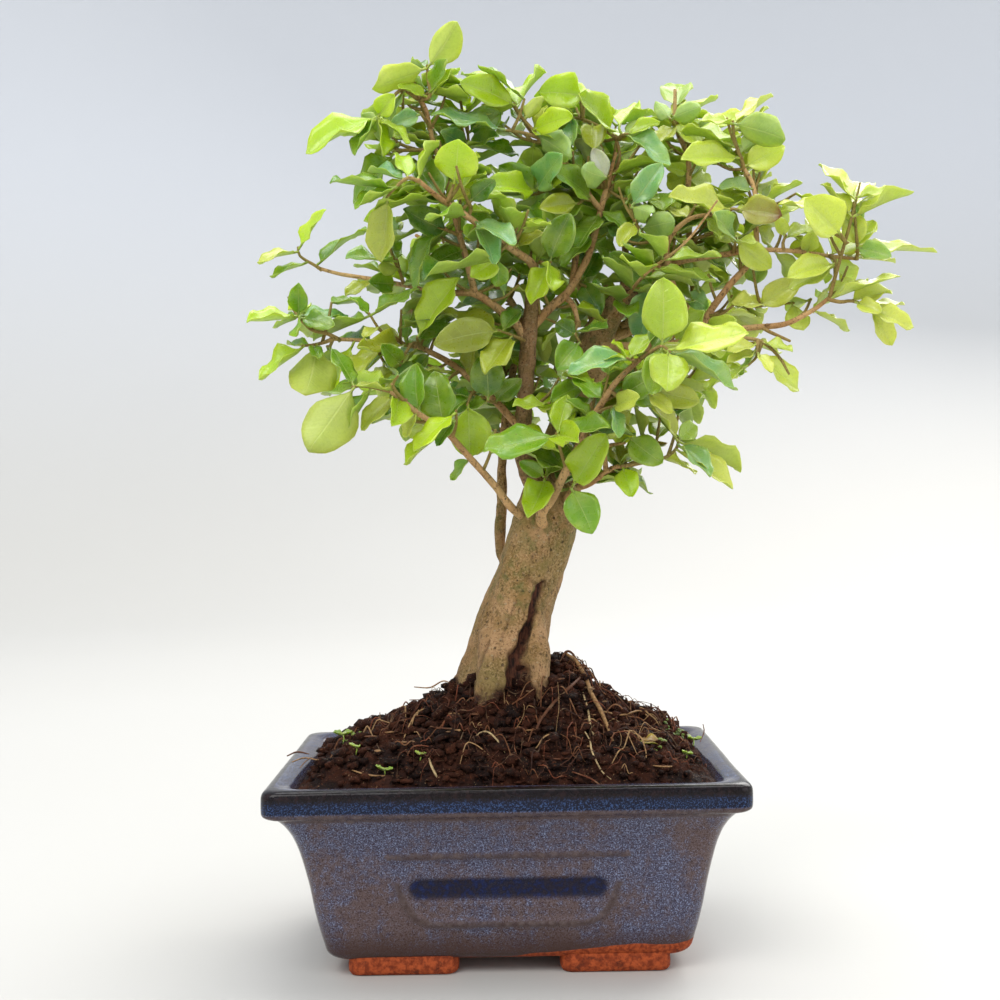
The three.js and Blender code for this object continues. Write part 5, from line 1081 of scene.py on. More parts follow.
def leaf_finish():
    """Leaf skin: each leaf's own smooth tint, a thin pale rib, faint side veins and a few brown specks."""
    n = Nodes("leaf_skin")
    split = n.node("ShaderNodeSeparateColor")
    n.link(n.tint("blade"), split.inputs["Color"])
    share, across, own = split.outputs["Red"], split.outputs["Green"], split.outputs["Blue"]
    under = n.value("under")
    rib = n.ramp(n.minus(across, n.times(share, -0.02)), 0.02, 0.06, 1.0, 0.0)
    lean = n.minus(share, n.times(across, 0.16))
    wave = n.maths("SINE", n.maths("MULTIPLY_ADD", lean, 2 * math.pi * 6.5, n.times(own, 9.0)))
    vein = n.times(n.ramp(wave, 0.88, 1.0), n.ramp(across, 0.85, 0.25))
    fine = n.noise(0.9, detail=4.0)
    broad = n.noise(7.0, detail=2.0)
    colour = n.mix(n.ramp(broad, 0.35, 0.7, 0.0, 0.3), n.tint("tint"), rgb(190, 205, 80))
    colour = n.mix(n.ramp(fine, 0.42, 0.7, 0.0, 0.12), colour, rgb(60, 100, 30))
    lines = n.maths("MAXIMUM", n.times(rib, 0.34), n.times(vein, 0.07))
    colour = n.mix(lines, colour, rgb(206, 218, 128))
    speck = n.ramp(n.cells(5.5), 0.03, 0.05, 1.0, 0.0)
    some = n.ramp(n.noise(17.0, detail=1.0), 0.56, 0.62)
    colour = n.mix(n.times(n.times(speck, some), 0.7), colour, rgb(110, 75, 30))
    edge = n.ramp(across, 0.95, 1.0, 0.0, 0.16)
    colour = n.mix(edge, colour, rgb(215, 225, 150))
    colour = n.mix(n.value("brown"), colour, rgb(125, 80, 40))
    roughness = n.ramp(under, 0.0, 1.0, 0.3, 0.52)
    roughness = n.plus(roughness, n.ramp(fine, 0.3, 0.7, -0.04, 0.06))
    relief = n.minus(n.times(fine, 0.35),
                     n.plus(n.times(rib, 0.8), n.times(vein, 0.45)))
    return n.finish(
        colour, roughness, n.height(relief, 0.16, 0.6), Subsurface_Weight=0.35,
        Subsurface_Radius=(0.8, 1.0, 0.1), Subsurface_Scale=0.0016, Specular_IOR_Level=0.6,
    )


def bark_finish(name, dark, pale, grey, pitted):
    """Bark: fine cracks along the stem, specks, pale dots, and green, worn and sawn places."""
    n = Nodes(name)
    grain = n.noise(1.4, detail=5.0, rough=0.62, where=n.stretched((1.0, 1.0, 0.32)))
    patch = n.noise(11.0, detail=4.0)
    fine = n.noise(0.45, detail=3.0)
    colour = n.mix(n.ramp(patch, 0.36, 0.66), dark, pale)
    colour = n.mix(n.ramp(n.noise(23.0, detail=3.0), 0.46, 0.66, 0.0, 0.75), colour, grey)
    crack = n.ramp(grain, 0.44, 0.32)
    colour = n.mix(n.times(crack, 0.72), colour, rgb(62, 44, 28))
    dots = n.ramp(n.cells(2.7, where=n.stretched((1.0, 1.0, 1.5))), 0.16, 0.24, 1.0, 0.0)
    colour = n.mix(n.times(dots, n.ramp(patch, 0.4, 0.6, 0.15, 0.65)), colour, rgb(188, 168, 132))
    specks = n.ramp(n.noise(0.95, detail=2.0), 0.6, 0.68)
    colour = n.mix(n.times(specks, 0.62), colour, rgb(66, 46, 28))
    pits = n.ramp(n.cells(3.1), 0.15, 0.2, 1.0, 0.0)
    colour = n.mix(n.times(pits, n.ramp(patch, 0.35, 0.6, 0.85 * pitted, 0.3 * pitted)),
                   colour, rgb(48, 32, 20))
    mottle = n.noise(0.75, detail=4.0, rough=0.75)
    blotch = n.ramp(n.noise(6.0, detail=3.0), 0.4, 0.6, 0.35, 1.0)
    light = n.times(n.ramp(mottle, 0.5, 0.62, 0.0, 0.5 * pitted), blotch)
    colour = n.mix(light, colour, rgb(208, 172, 130))
    shade = n.times(n.ramp(mottle, 0.47, 0.36, 0.0, 0.85 * pitted), blotch)
    colour = n.mix(shade, colour, rgb(68, 46, 26))
    # Green from moss, and on the trunk painted shade where the right front branch leaves it
    green = n.times(n.value("moss"), n.ramp(n.noise(3.2, detail=4.0), 0.42, 0.68, 0.0, 0.7))
    colour = n.mix(green, colour, n.mix(n.ramp(fine, 0.4, 0.6), rgb(78, 82, 40), rgb(112, 116, 62)))
    # Dark browns of soil dirt at the trunk's foot, and painted shade over the lower trunk
    dirt = n.times(n.value("dirt"), n.ramp(n.noise(2.4, detail=4.0), 0.25, 0.6, 0.55, 1.0))
    colour = n.mix(dirt, colour, n.mix(n.ramp(fine, 0.4, 0.6), rgb(38, 22, 15), rgb(74, 46, 30)))
    wound = n.value("wound")
    worn = n.mix(n.ramp(grain, 0.38, 0.66), rgb(30, 15, 10), rgb(96, 56, 38))
    colour = n.mix(wound, colour, worn)
    sawn = n.value("sawn")
    cut = n.mix(n.ramp(n.noise(1.0, detail=4.0), 0.42, 0.6), rgb(66, 40, 30), rgb(150, 108, 82))
    colour = n.mix(sawn, colour, cut)
    soft = n.value("young")
    stem = n.mix(n.ramp(fine, 0.35, 0.65), rgb(112, 96, 44), rgb(140, 136, 62))
    colour = n.mix(soft, colour, stem)
    relief = n.plus(grain, n.times(fine, 0.25))
    relief = n.plus(relief, n.times(dots, 0.25))
    roughness = n.ramp(patch, 0.3, 0.7, 0.66, 0.86)
    return n.finish(colour, roughness, n.height(relief, 0.9, 0.8), Specular_IOR_Level=0.22)


def soil_finish():
    """Damp potting soil: dark red-brown crumbs with paler fibre and black peat."""
    n = Nodes("potting_soil")
    broad = n.noise(9.0, detail=4.0)
    crumb = n.cells(2.2)
    fine = n.noise(0.8, detail=4.0)
    colour = n.mix(n.ramp(broad, 0.4, 0.6), rgb(24, 12, 9), rgb(54, 28, 18))
    colour = n.mix(n.ramp(n.value("crumb"), 0.2, 1.0, 0.0, 0.6), colour, rgb(74, 40, 26))
    colour = n.mix(n.ramp(fine, 0.56, 0.7, 0.0, 0.6), colour, rgb(96, 54, 34))
    colour = n.mix(n.ramp(fine, 0.42, 0.3, 0.0, 0.7), colour, rgb(12, 7, 6))
    colour = n.mix(n.ramp(n.noise(0.5, detail=1.0), 0.71, 0.76, 0.0, 0.8), colour, rgb(170, 140, 105))
    relief = n.plus(n.times(crumb, 0.6), fine)
    roughness = n.ramp(broad, 0.35, 0.65, 0.6, 0.9)
    return n.finish(colour, roughness, n.height(relief, 0.9, 1.0), Specular_IOR_Level=0.12)


def plain_finish(name, first, second, size, roughness, depth=0.2):
    """A two-toned natural surface with fine relief."""
    n = Nodes(name)
    patch = n.noise(size, detail=4.0)
    fine = n.noise(size / 5, detail=3.0)
    colour = n.mix(n.ramp(patch, 0.35, 0.65), first, second)
    colour = n.mix(n.ramp(fine, 0.55, 0.7, 0.0, 0.4), colour, tuple(0.35 * c for c in first))
    sheen = n.ramp(fine, 0.3, 0.7, roughness - 0.06, roughness + 0.06)
    return n.finish(colour, sheen, n.height(fine, depth))


def glaze_finish():
    """Dark speckled glaze that thins to brown on edges, with a painted highlight in brown under the lip,
    pools blue in hollows and stops above the foot.
    """
    n = Nodes("speckled_glaze")
    high = n.part("Z")
    run = n.noise(7.0, detail=3.0, where=n.stretched((1.0, 1.0, 0.35)))
    cloud = n.noise(24.0, detail=4.0, where=n.stretched((1.0, 1.0, 0.7)))
    speck = n.noise(0.42, detail=2.0, rough=0.7)
    mist = n.noise(1.9, detail=4.0, rough=0.65)
    drift = n.plus(n.times(cloud, 0.55), n.times(mist, 0.45))
    body = n.mix(n.ramp(cloud, 0.42, 0.58), rgb(96, 78, 76), rgb(88, 78, 88))
    body = n.mix(n.ramp(drift, 0.44, 0.58, 0.0, 0.55), body, rgb(66, 74, 104))
    flecks = n.times(n.ramp(speck, 0.54, 0.63), n.ramp(drift, 0.42, 0.58, 0.15, 0.85))
    body = n.mix(flecks, body, rgb(140, 152, 182))
    body = n.mix(n.ramp(speck, 0.47, 0.38, 0.0, 0.8), body, rgb(42, 26, 26))
    low = n.plus(high, n.times(run, 5.0))
    body = n.mix(n.ramp(low, 19.0, 10.0, 0.0, 0.85), body, rgb(68, 48, 42))
    pool = n.mix(n.ramp(mist, 0.45, 0.7), rgb(6, 9, 34), rgb(14, 32, 84))
    body = n.mix(n.times(n.value("pool"), n.ramp(mist, 0.2, 0.6, 0.8, 1.0)), body, pool)
    # Brown where the glaze thins on ridges and corners, and the painted highlight in brown under the lip
    thin = n.plus(n.value("thin"), n.ramp(mist, 0.35, 0.7, -0.25, 0.2))
    brown = n.mix(n.ramp(mist, 0.35, 0.65), rgb(60, 46, 44), rgb(94, 78, 74))
    colour = n.mix(n.ramp(thin, 0.25, 0.85, 0.0, 0.85), body, brown)
    worn = n.mix(n.ramp(mist, 0.45, 0.7), rgb(11, 5, 6), rgb(34, 19, 17))
    edge = n.plus(n.value("edge"), n.ramp(mist, 0.35, 0.7, -0.2, 0.15))
    colour = n.mix(n.ramp(edge, 0.3, 0.8, 0.0, 0.97), colour, worn)
    deep = n.mix(n.ramp(speck, 0.5, 0.64, 0.0, 0.75), rgb(16, 20, 38), rgb(58, 86, 136))
    colour = n.mix(n.value("band"), colour, deep)
    grog = n.noise(1.3, detail=5.0)
    clay = n.mix(n.ramp(grog, 0.35, 0.66), rgb(122, 50, 24), rgb(176, 82, 42))
    clay = n.mix(n.ramp(n.noise(3.0, detail=4.0), 0.56, 0.68, 0.0, 0.7), clay, rgb(70, 32, 22))
    bare = n.ramp(n.value("bare"), 0.45, 0.55)
    colour = n.mix(bare, colour, clay)
    roughness = n.plus(n.ramp(mist, 0.35, 0.7, 0.11, 0.22), n.times(bare, 0.62))
    relief = n.plus(n.times(n.times(grog, bare), 2.2),
                     n.plus(n.times(mist, 0.35), n.times(cloud, 1.6)))
    return n.finish(colour, roughness, n.height(relief, 0.26, 0.7), Specular_IOR_Level=0.22)


def litter_finish():
    """Roots, fibres and bits in their own tints, with fine grain."""
    n = Nodes("roots_and_litter")
    grain = n.noise(0.9, detail=4.0)
    patch = n.noise(4.0, detail=3.0)
    colour = n.mix(n.ramp(grain, 0.4, 0.65, 0.0, 0.5), n.tint("tint"), rgb(60, 38, 24))
    colour = n.mix(n.ramp(patch, 0.5, 0.7, 0.0, 0.2), colour, rgb(205, 180, 140))
    roughness = n.ramp(patch, 0.3, 0.7, 0.6, 0.85)
    return n.finish(colour, roughness, n.height(grain, 0.2, 0.8), Specular_IOR_Level=0.25)


LEAF = leaf_finish()
LITTER = litter_finish()
TRUNK_BARK = bark_finish("old_bark", rgb(146, 114, 66), rgb(190, 150, 108), rgb(136, 120, 68), 1.0)
LIMB_BARK = bark_finish("young_bark", rgb(176, 132, 84), rgb(220, 178, 124), rgb(190, 160, 108), 0.4)
SOIL = soil_finish()
GLAZE = glaze_finish()

# The pot: half width of the wall at each height, up the outside, over the lip and down the inside
POT_WIDTH, POT_DEPTH, POT_HEIGHT = 150.0, 110.0, 62.0
POT_NARROWER = (POT_WIDTH - POT_DEPTH) / 2
BODY_CORNER, LIP_CORNER, INNER_CORNER = 7.0, 4.6, 9.0
BASE_UNDERSIDE, POT_FLOOR = 4.6, 10.0
DRAIN_HOLE_RADIUS, DRAIN_HOLE_X = 6.0, 28.0
POT_OUTSIDE = [
    (BASE_UNDERSIDE, 54.6), (5.0, 55.9), (5.8, 57.2), (7.2, 58.2), (9.4, 58.8), (15, 60.2), (21, 61.5),
    (29.5, 63), (39.5, 65.2), (45, 67), (49.2, 69), (51.4, 70.6), (52.6, 71.8),
]
POT_LIP = [
    (53.0, 73.4), (53.6, 74.4), (54.6, 75), (57.4, 75.1), (60.0, 75), (61.2, 74.5), (61.8, 73.6),
    (POT_HEIGHT, 72.4), (61.9, 70.6), (61.3, 68.6),
]
POT_INSIDE = [(60.2, 67.1), (58.6, 66.4), (52, 64.8), (40, 61.2), (26, 57.6), (13, 54.6), (POT_FLOOR, 52.4)]
FOOT = {"length": 35.0, "depth": 12.0, "x": 33.5, "y": 31.5, "radius": 4.0, "height": 6.0}
FOOT_PROFILE = [(0, 1.5), (0.3, 0.7), (1.2, 0.1), (2.4, 0), (4, 0.1), (FOOT["height"], 0.2)]

# Raised and sunk lines on the long faces, and where the glaze stops
BAR_HALF, BAR_Z, RIDGE_HIGH = 37.0, 39.5, 1.1
HOOP = [
    (-34.5, 30.2), (-31.9, 23.2), (-28.9, 19), (-23.9, 17), (23.9, 17), (28.9, 19), (31.9, 23.2),
    (34.5, 30.2),
]
SLOT_HALF, SLOT_Z, SLOT_HALF_HEIGHT, SLOT_DEEP = 31.5, 28.4, 3.8, 1.1
CORNER_STEPS, LONG_STEPS, SHORT_STEPS = 12, 132, 30
HOLE_SIDES = 24


def rounded_ring(half_x, half_y, radius, corner_steps, long_steps=1, short_steps=1):
    """A rectangle with round corners, with extra places along its sides."""
    ring = []
    for corner in range(4):
        sign_x = 1 if corner in (0, 3) else -1
        sign_y = 1 if corner < 2 else -1
        for i in range(corner_steps + 1):
            angle = (corner + i / corner_steps) * math.pi / 2
            ring.append((sign_x * (half_x - radius) + radius * math.cos(angle),
                         sign_y * (half_y - radius) + radius * math.sin(angle)))
        steps = long_steps if corner % 2 == 0 else short_steps
        x, y = ring[-1]
        for k in range(1, steps):
            if corner % 2 == 0:
                ring.append((x - sign_x * 2 * (half_x - radius) * k / steps, y))
            else:
                ring.append((x, y - sign_y * 2 * (half_y - radius) * k / steps))
    return np.array(ring)


def to_segments(x, z, line):
    """Distance in a long face's plane to a line of points."""
    best = np.full(x.shape, np.inf)
    for (x0, z0), (x1, z1) in zip(line[:-1], line[1:]):
        run_x, run_z = x1 - x0, z1 - z0
        share = np.clip(((x - x0) * run_x + (z - z0) * run_z) / (run_x ** 2 + run_z ** 2), 0, 1)
        best = np.minimum(best, np.hypot(x - x0 - share * run_x, z - z0 - share * run_z))
    return best


def pot_wall():
    """The pot's skin as rings, with relief on its long faces and soft unevenness of hand-thrown glaze."""
    outside = curve(POT_OUTSIDE + POT_LIP, 0.75)
    inside = curve([POT_LIP[-1]] + POT_INSIDE, 2.5)[1:]
    rows = np.vstack([outside, inside])
    rings = []
    for number, (z, half) in enumerate(rows):
        radius = along([(46, BODY_CORNER), (53, LIP_CORNER), (61, LIP_CORNER)], z)
        if number > len(outside) - 8:
            radius = INNER_CORNER * half / (POT_WIDTH / 2)
        ring = rounded_ring(half, half - POT_NARROWER, radius, CORNER_STEPS, LONG_STEPS, SHORT_STEPS)
        rings.append(np.column_stack([ring, np.full(len(ring), z)]))
    points = np.array(rings)
    x, y, z = points[..., 0], points[..., 1], points[..., 2]
    outer = np.arange(len(rows))[:, None] < len(outside)
    face = outer & (np.abs(y) > (rows[:, 1] - POT_NARROWER)[:, None] - 0.01) & (z < 50) & (z > 8)
    bar = to_segments(x, z, [(-BAR_HALF, BAR_Z), (BAR_HALF, BAR_Z)])
    hoop = to_segments(x, z, HOOP)
    ridge = np.maximum(*[RIDGE_HIGH * (1 - step(gap, 0.2, 2.2)) for gap in (bar, hoop)])
    over = SLOT_HALF - SLOT_HALF_HEIGHT
    slot = np.hypot(np.maximum(np.abs(x) - over, 0), z - SLOT_Z) - SLOT_HALF_HEIGHT
    sunk = 1 - step(slot, -1.4, 0.4)
    lift = np.where(face, ridge - SLOT_DEEP * sunk, 0)
    points[..., 1] += np.sign(y) * lift
    uneven = rough(points[:len(outside)].reshape(-1, 3), 26, seed=3).reshape(len(outside), -1)
    centre = points.mean(axis=1, keepdims=True)
    away = unit((points - centre) * np.array([1, 1, 0]))
    points[:len(outside)] += away[:len(outside)] * (0.22 * uneven - 0.2)[..., None]
    return points, rows, len(outside), np.where(face, ridge / RIDGE_HIGH, 0), np.where(face, sunk, 0)


def floor_faces(outer, holes, first, flip):
    """A flat face with round holes in it, as triangles over the given point numbers."""
    loops = [[Vector((x, y, 0)) for x, y in loop] for loop in [outer, *holes]]
    triangles = tessellate_polygon(loops)
    numbers = np.concatenate(first)
    flat = np.vstack([outer, *holes])
    turned = []
    for a, b, c in triangles:
        area = np.cross(flat[b] - flat[a], flat[c] - flat[a])
        own = (numbers[a], numbers[b], numbers[c])
        turned.append(own if (area > 0) != flip else own[::-1])
    return turned


def make_pot():
    points, rows, outside, ridge, sunk = pot_wall()
    count = points.shape[1]
    flat = points.reshape(-1, 3)
    faces = ring_faces(len(points), count, capped=False)
    angles = 2 * np.pi * np.arange(HOLE_SIDES) / HOLE_SIDES
    holes, numbers, extra = [], [], []
    for z in (BASE_UNDERSIDE, POT_FLOOR):
        for sign in (-1, 1):
            hole = np.column_stack([sign * DRAIN_HOLE_X + DRAIN_HOLE_RADIUS * np.cos(angles),
                                    DRAIN_HOLE_RADIUS * np.sin(angles)])
            numbers.append(np.arange(HOLE_SIDES) + len(flat) + len(extra) * HOLE_SIDES)
            holes.append(hole)
            extra.append(np.column_stack([hole, np.full(HOLE_SIDES, z)]))
    first, last = np.arange(count), np.arange(count) + (len(points) - 1) * count
    faces += floor_faces(points[0][:, :2], holes[:2], [first, *numbers[:2]], flip=True)
    faces += floor_faces(points[-1][:, :2], holes[2:], [last, *numbers[2:]], flip=False)
    for low, high in ((0, 2), (1, 3)):
        for i in range(HOLE_SIDES):
            j = (i + 1) % HOLE_SIDES
            faces.append((numbers[low][j], numbers[low][i], numbers[high][i], numbers[high][j]))
    every = np.vstack([flat, *extra])
    z, half = rows[:, 0], rows[:, 1]
    inner = np.arange(len(rows)) >= outside
    on_lip = (half > 71) & ~inner
    edge = np.where(on_lip, 0.95 * step(z, 56.4, 57.6), 0)
    edge = np.maximum(edge, np.where(inner, 0.2, 0))
    band = np.where(on_lip, step(z, 54.4, 55.2) * (1 - step(z, 57.2, 59.4)), 0)
    # Painted highlight: a brown band along the lip's lower edge and the neck below it, given through the thin
    # value
    thin = np.where(on_lip | (z > 53), 0.9 * (1 - step(z, 54.4, 55.2)), 0.6 * step(z, 49.5, 52))
    thin = np.where(inner, 0.3, thin)
    top = (np.arange(len(rows)) >= np.argmax(z)) & (z > 60)
    edge = np.where(top, 0.1, edge)
    band = np.where(top, 0.55, band)
    thin = np.maximum(thin[:, None], 0.95 * ridge)
    corner = step(np.abs(points[..., 0]) / half[:, None], 0.93, 0.985) * (np.abs(points[..., 1]) > 30)
    thin = np.maximum(thin, np.where((z < 52)[:, None], 0.55 * corner, 0))
    hem = rough(np.column_stack([flat[:, 0], flat[:, 1], np.zeros(len(flat))]), 19, seed=5, octaves=3)
    stop = 5.2 + 0.8 * hem + 4.6 * step(flat[:, 0], -8, 46) * (flat[:, 1] < 0)
    bare = step(flat[:, 2], stop + 0.5, stop - 0.5)
    bare = np.where(np.arange(len(flat)) >= outside * count, 0, bare)
    glazed = {"edge": np.repeat(edge, count), "thin": thin.ravel(), "pool": 0.95 * sunk.ravel(),
              "band": np.repeat(band, count)}
    shape = Shape()
    tail = np.zeros(len(every) - len(flat))
    shape.add(every, faces, **{name: np.append(values, tail) for name, values in glazed.items()},
              bare=np.append(bare, tail + 1))
    for sign_x in (-1, 1):
        for sign_y in (-1, 1):
            rings = []
            for z, inset in FOOT_PROFILE:
                ring = rounded_ring(FOOT["length"] / 2 - inset, FOOT["depth"] / 2 - inset,
                                    FOOT["radius"] - inset, 6, 16, 4)
                ring = ring + [sign_x * FOOT["x"], sign_y * FOOT["y"]]
                rings.append(np.column_stack([ring, np.full(len(ring), z)]))
            foot = np.array(rings)
            shift = 0.18 * rough(foot.reshape(-1, 3), 7, seed=8).reshape(foot.shape[:2])
            foot[1:, :, :2] *= 1 + 0.004 * shift[1:, :, None]
            shape.add(foot.reshape(-1, 3), ring_faces(len(foot), foot.shape[1]),
                      edge=0.0, thin=0.0, pool=0.0, band=0.0, bare=1.0)
    piece("glazed_pot", shape, GLAZE, ["pot"], sharp=60)


make_pot()
for screen_name in ("drain_screen_1", "drain_screen_2"):
    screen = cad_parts[screen_name]
    screen.data.materials.clear()
    screen.data.materials.append(
        plain_finish("drain_screen_plastic", rgb(26, 26, 28), rgb(40, 40, 42), 6.0, 0.55, 0.05))


# The soil: from the pot's inner edge (1) to a peak (0) a little right of the middle
GAP = 0.3
PEAK_X = 10.0
SOIL_EDGE = 59.2
SOIL_UNDERSIDE = 12.0
MOUND_PROFILE = [
    (0, 97.6), (0.15, 93.4), (0.3, 87.6), (0.42, 83), (0.57, 77.6), (0.73, 73), (0.86, 68.6),
    (0.95, 63.4), (1, 59.2),
]
MOUND_SMOOTH = curve([(share, height, 0) for share, height in MOUND_PROFILE], 0.02)
SOIL_RINGS = 104
CRUMB_COUNT = 3600
SOIL_HEAPS = [
    (25, 2, 10, 4.5), (14, 22, 13, 3), (-16, -6, 9, 1.5), (50, 0, 14, 1.5), (17, -17, 6, 3.6),
    (-2, -24, 7, 0.8),
]
SOIL_SIDE = [(52, 64.8), (40, 61.2), (26, 57.6), (13.5, 54.6), (SOIL_UNDERSIDE, 53.4)]
SOIL_CORNER = 7.6

inside_at_edge = float(np.interp(SOIL_EDGE, [52, 58.6, 60.2], [64.8, 66.4, 67.1])) - 2 * GAP
SOIL_RIM = rounded_ring(inside_at_edge, inside_at_edge - POT_NARROWER, SOIL_CORNER, 10, 118, 70)


def lumps(points, size, seed):
    """Rounded crumbs of about a size: high in the middle of each cell, low between cells."""
    shift = Vector((seed * 3.1, seed * 1.7, seed * 2.3))
    near = [noise.voronoi(Vector(p) / size + shift)[0] for p in points.tolist()]
    return np.array([1 - min(1.0, row[0] * 1.35) for row in near])


def crumbly(points):
    """Ups and downs of loose soil, in millimetres."""
    flat = points * [1, 1, 1.4]
    broad = rough(flat, 17, seed=2, octaves=2)
    clods = lumps(flat, 5.2, 4) ** 1.4
    crumbs = lumps(flat, 2.3, 6)
    fine = rough(flat, 1.9, seed=7, octaves=2)
    return 1.2 * broad + 3.2 * clods - 1.6 + 1.7 * crumbs - 0.8 + 0.7 * fine


def make_soil():
    shares = np.linspace(0.012, 1, SOIL_RINGS)
    angle_place = 0.45 + 2 * np.pi * np.arange(len(SOIL_RIM)) / len(SOIL_RIM)
    oval = np.column_stack([inside_at_edge * np.cos(angle_place),
                            (inside_at_edge - POT_NARROWER) * np.sin(angle_place)])
    peak = np.array([PEAK_X, 0.0])
    top = []
    for share in shares:
        ring = oval + (SOIL_RIM - oval) * share ** 6
        ring = peak + (ring - peak) * share
        height = np.interp(share, MOUND_SMOOTH[:, 0], MOUND_SMOOTH[:, 1])
        top.append(np.column_stack([ring, np.full(len(ring), height)]))
    top = np.array(top)
    flat = top.reshape(-1, 3)
    calm = np.clip((1 - np.repeat(shares, len(SOIL_RIM))) / 0.04, 0.0, 1)
    lift = crumbly(flat)
    for x, y, reach, high in SOIL_HEAPS:
        flat[:, 2] += high * np.exp(-((flat[:, 0] - x) ** 2 + (flat[:, 1] - y) ** 2) / reach ** 2)
    flat[:, 2] += lift * (0.25 + 0.75 * calm)
    flat[:, 2] = np.maximum(flat[:, 2], SOIL_EDGE - 1.2)
    count = len(SOIL_RIM)
    side = []
    for z, half in SOIL_SIDE:
        scale_x = (half - 2 * GAP) / inside_at_edge
        scale_y = (half - 2 * GAP - POT_NARROWER) / (inside_at_edge - POT_NARROWER)
        side.append(np.column_stack([SOIL_RIM * [scale_x, scale_y], np.full(count, z)]))
    points = np.vstack([flat, *side])
    faces = [face[::-1] for face in ring_faces(SOIL_RINGS + len(side), count)]
    shape = Shape()
    shape.add(points, faces, crumb=np.append(np.clip(0.5 + 0.25 * lift, 0, 1), np.zeros(len(side) * count)))
    random = draws(21)
    for _ in range(CRUMB_COUNT):
        share = 0.1 + 0.87 * random() ** 0.6
        angle = 2 * math.pi * random()
        size = (0.42 + 1.5 * random() ** 2.2) * (1.25 if math.cos(angle) < -0.3 else 1.0)
        row = int(share * (SOIL_RINGS - 1))
        at = top[row][int(angle / (2 * math.pi) * count) % count] + [0, 0, size * 0.45]
        ball, sides = grain(size, random)
        shape.add(ball + at, sides, crumb=random() ** 2)
    return piece("soil_mound", shape, SOIL, ["soil"])


def grain_form():
    """The twelve corners and twenty faces of the regular form that every grain starts from."""
    golden = (1 + math.sqrt(5)) / 2
    pairs = [(s1, s2 * golden) for s1 in (-1, 1) for s2 in (-1, 1)]
    corners = np.array([(a, b, 0) for a, b in pairs] + [(0, a, b) for a, b in pairs]
                       + [(b, 0, a) for a, b in pairs])
    faces = []
    for a in range(12):
        for b in range(a + 1, 12):
            for c in range(b + 1, 12):
                sides = [np.linalg.norm(corners[p] - corners[q]) for p, q in ((a, b), (b, c), (a, c))]
                if max(sides) < 2.1:
                    out = np.dot(np.cross(corners[b] - corners[a], corners[c] - corners[a]), corners[a])
                    faces.append((a, b, c) if out > 0 else (a, c, b))
    return corners, faces


GRAIN_CORNERS, GRAIN_FACES = grain_form()


def grain(size, random):
    """Corners and faces of a small lumpy grain."""
    corners = GRAIN_CORNERS / 1.9 * np.array([[0.55 + 0.9 * random()] for _ in GRAIN_CORNERS])
    corners = corners * [1 + 0.8 * random(), 1, 0.5 + 0.5 * random()] * size
    turn = 2 * math.pi * random()
    spin = np.array([[math.cos(turn), -math.sin(turn), 0], [math.sin(turn), math.cos(turn), 0], [0, 0, 1]])
    return corners @ spin.T, GRAIN_FACES


soil_object = make_soil()

# The trunk: its tubes made one skin, then cracks, flutes and wounds where the picture shows them
SKIN_STEP = 0.00072
TRUNK_FLUTES = {"count": 3, "deep": 0.1, "turn": 0.9, "sides": 64}

# Lines on the trunk in the picture: x, y, half width in pixels; then how deep in millimetres
MAIN_CRACK = [
    (543, 582, 2.5), (539, 589, 4.5), (534, 604, 4.5), (531, 620, 4.2), (525, 635, 5), (521, 648, 6.5),
    (516, 661, 9), (516, 677, 12.5), (516, 692, 17), (514, 708, 18),
]
SMALL_CRACKS = [
    [(526, 578, 1.8), (536, 584, 2.8), (549, 585, 2)],
    [(516, 600, 1), (508, 622, 1.6), (500, 642, 1)],
    [(489, 640, 1), (482, 660, 2), (476, 680, 1.6)],
]

# Knots in the picture: x, y and size in pixels, and how far they swell or sink
KNOTS = [
    (518, 622, 3, 1.3), (500, 652, 3, 1.4), (478, 645, 2.2, 1.2), (536, 590, 2, 1.3), (527, 560, 2.2, 1.4),
    (506, 690, 3, -1),
]
SAWN_TOP = np.array([45.0, 10.0, 221.0])
TRUNK_HIGHEST, TRUNK_LOWEST = 222.0, 58.2
STEM_TOP = 172

# How deep the crack is down the picture, and how rough the bark is up the trunk
CRACK_DEEP = [(560, 0.8), (600, 1.6), (640, 2.2), (670, 3.4), (710, 4.4)]
BARK_ROUGH = [(58, 1), (150, 1), (175, 0.6), (221, 0.45)]

# Root legs that the picture shows slimmer than the solids: taken off x, y, z and radius
SLIMMER = {1: (2.2, 0, 0, 1.4), 4: (4, 0, 0, 0.8)}


def skin(shapes, name):
    """One closed skin round several closed shapes."""
    mesh = bpy.data.meshes.new(name)
    points, faces, count = [], [], 0
    for part_points, part_faces in shapes:
        points.append(part_points)
        faces += [tuple(corner + count for corner in face) for face in part_faces]
        count += len(part_points)
    mesh.from_pydata((np.vstack(points) / 1000).tolist(), [], faces)
    made = bpy.data.objects.new(name, mesh)
    bpy.context.scene.collection.objects.link(made)
    remesh = made.modifiers.new("skin", "REMESH")
    remesh.mode = "VOXEL"
    remesh.voxel_size = SKIN_STEP
    remesh.adaptivity = 0.0
    smooth = made.modifiers.new("smooth", "SMOOTH")
    smooth.factor = 0.5
    smooth.iterations = 5
    graph = bpy.context.evaluated_depsgraph_get()
    result = bpy.data.meshes.new_from_object(made.evaluated_get(graph))
    points = np.empty(len(result.vertices) * 3)
    result.vertices.foreach_get("co", points)
    faces = [tuple(face.vertices) for face in result.polygons]
    normals = np.empty(len(result.vertices) * 3)
    result.vertices.foreach_get("normal", normals)
    bpy.data.objects.remove(made)
    bpy.data.meshes.remove(mesh)
    bpy.data.meshes.remove(result)
    return points.reshape(-1, 3) * 1000, faces, normals.reshape(-1, 3)


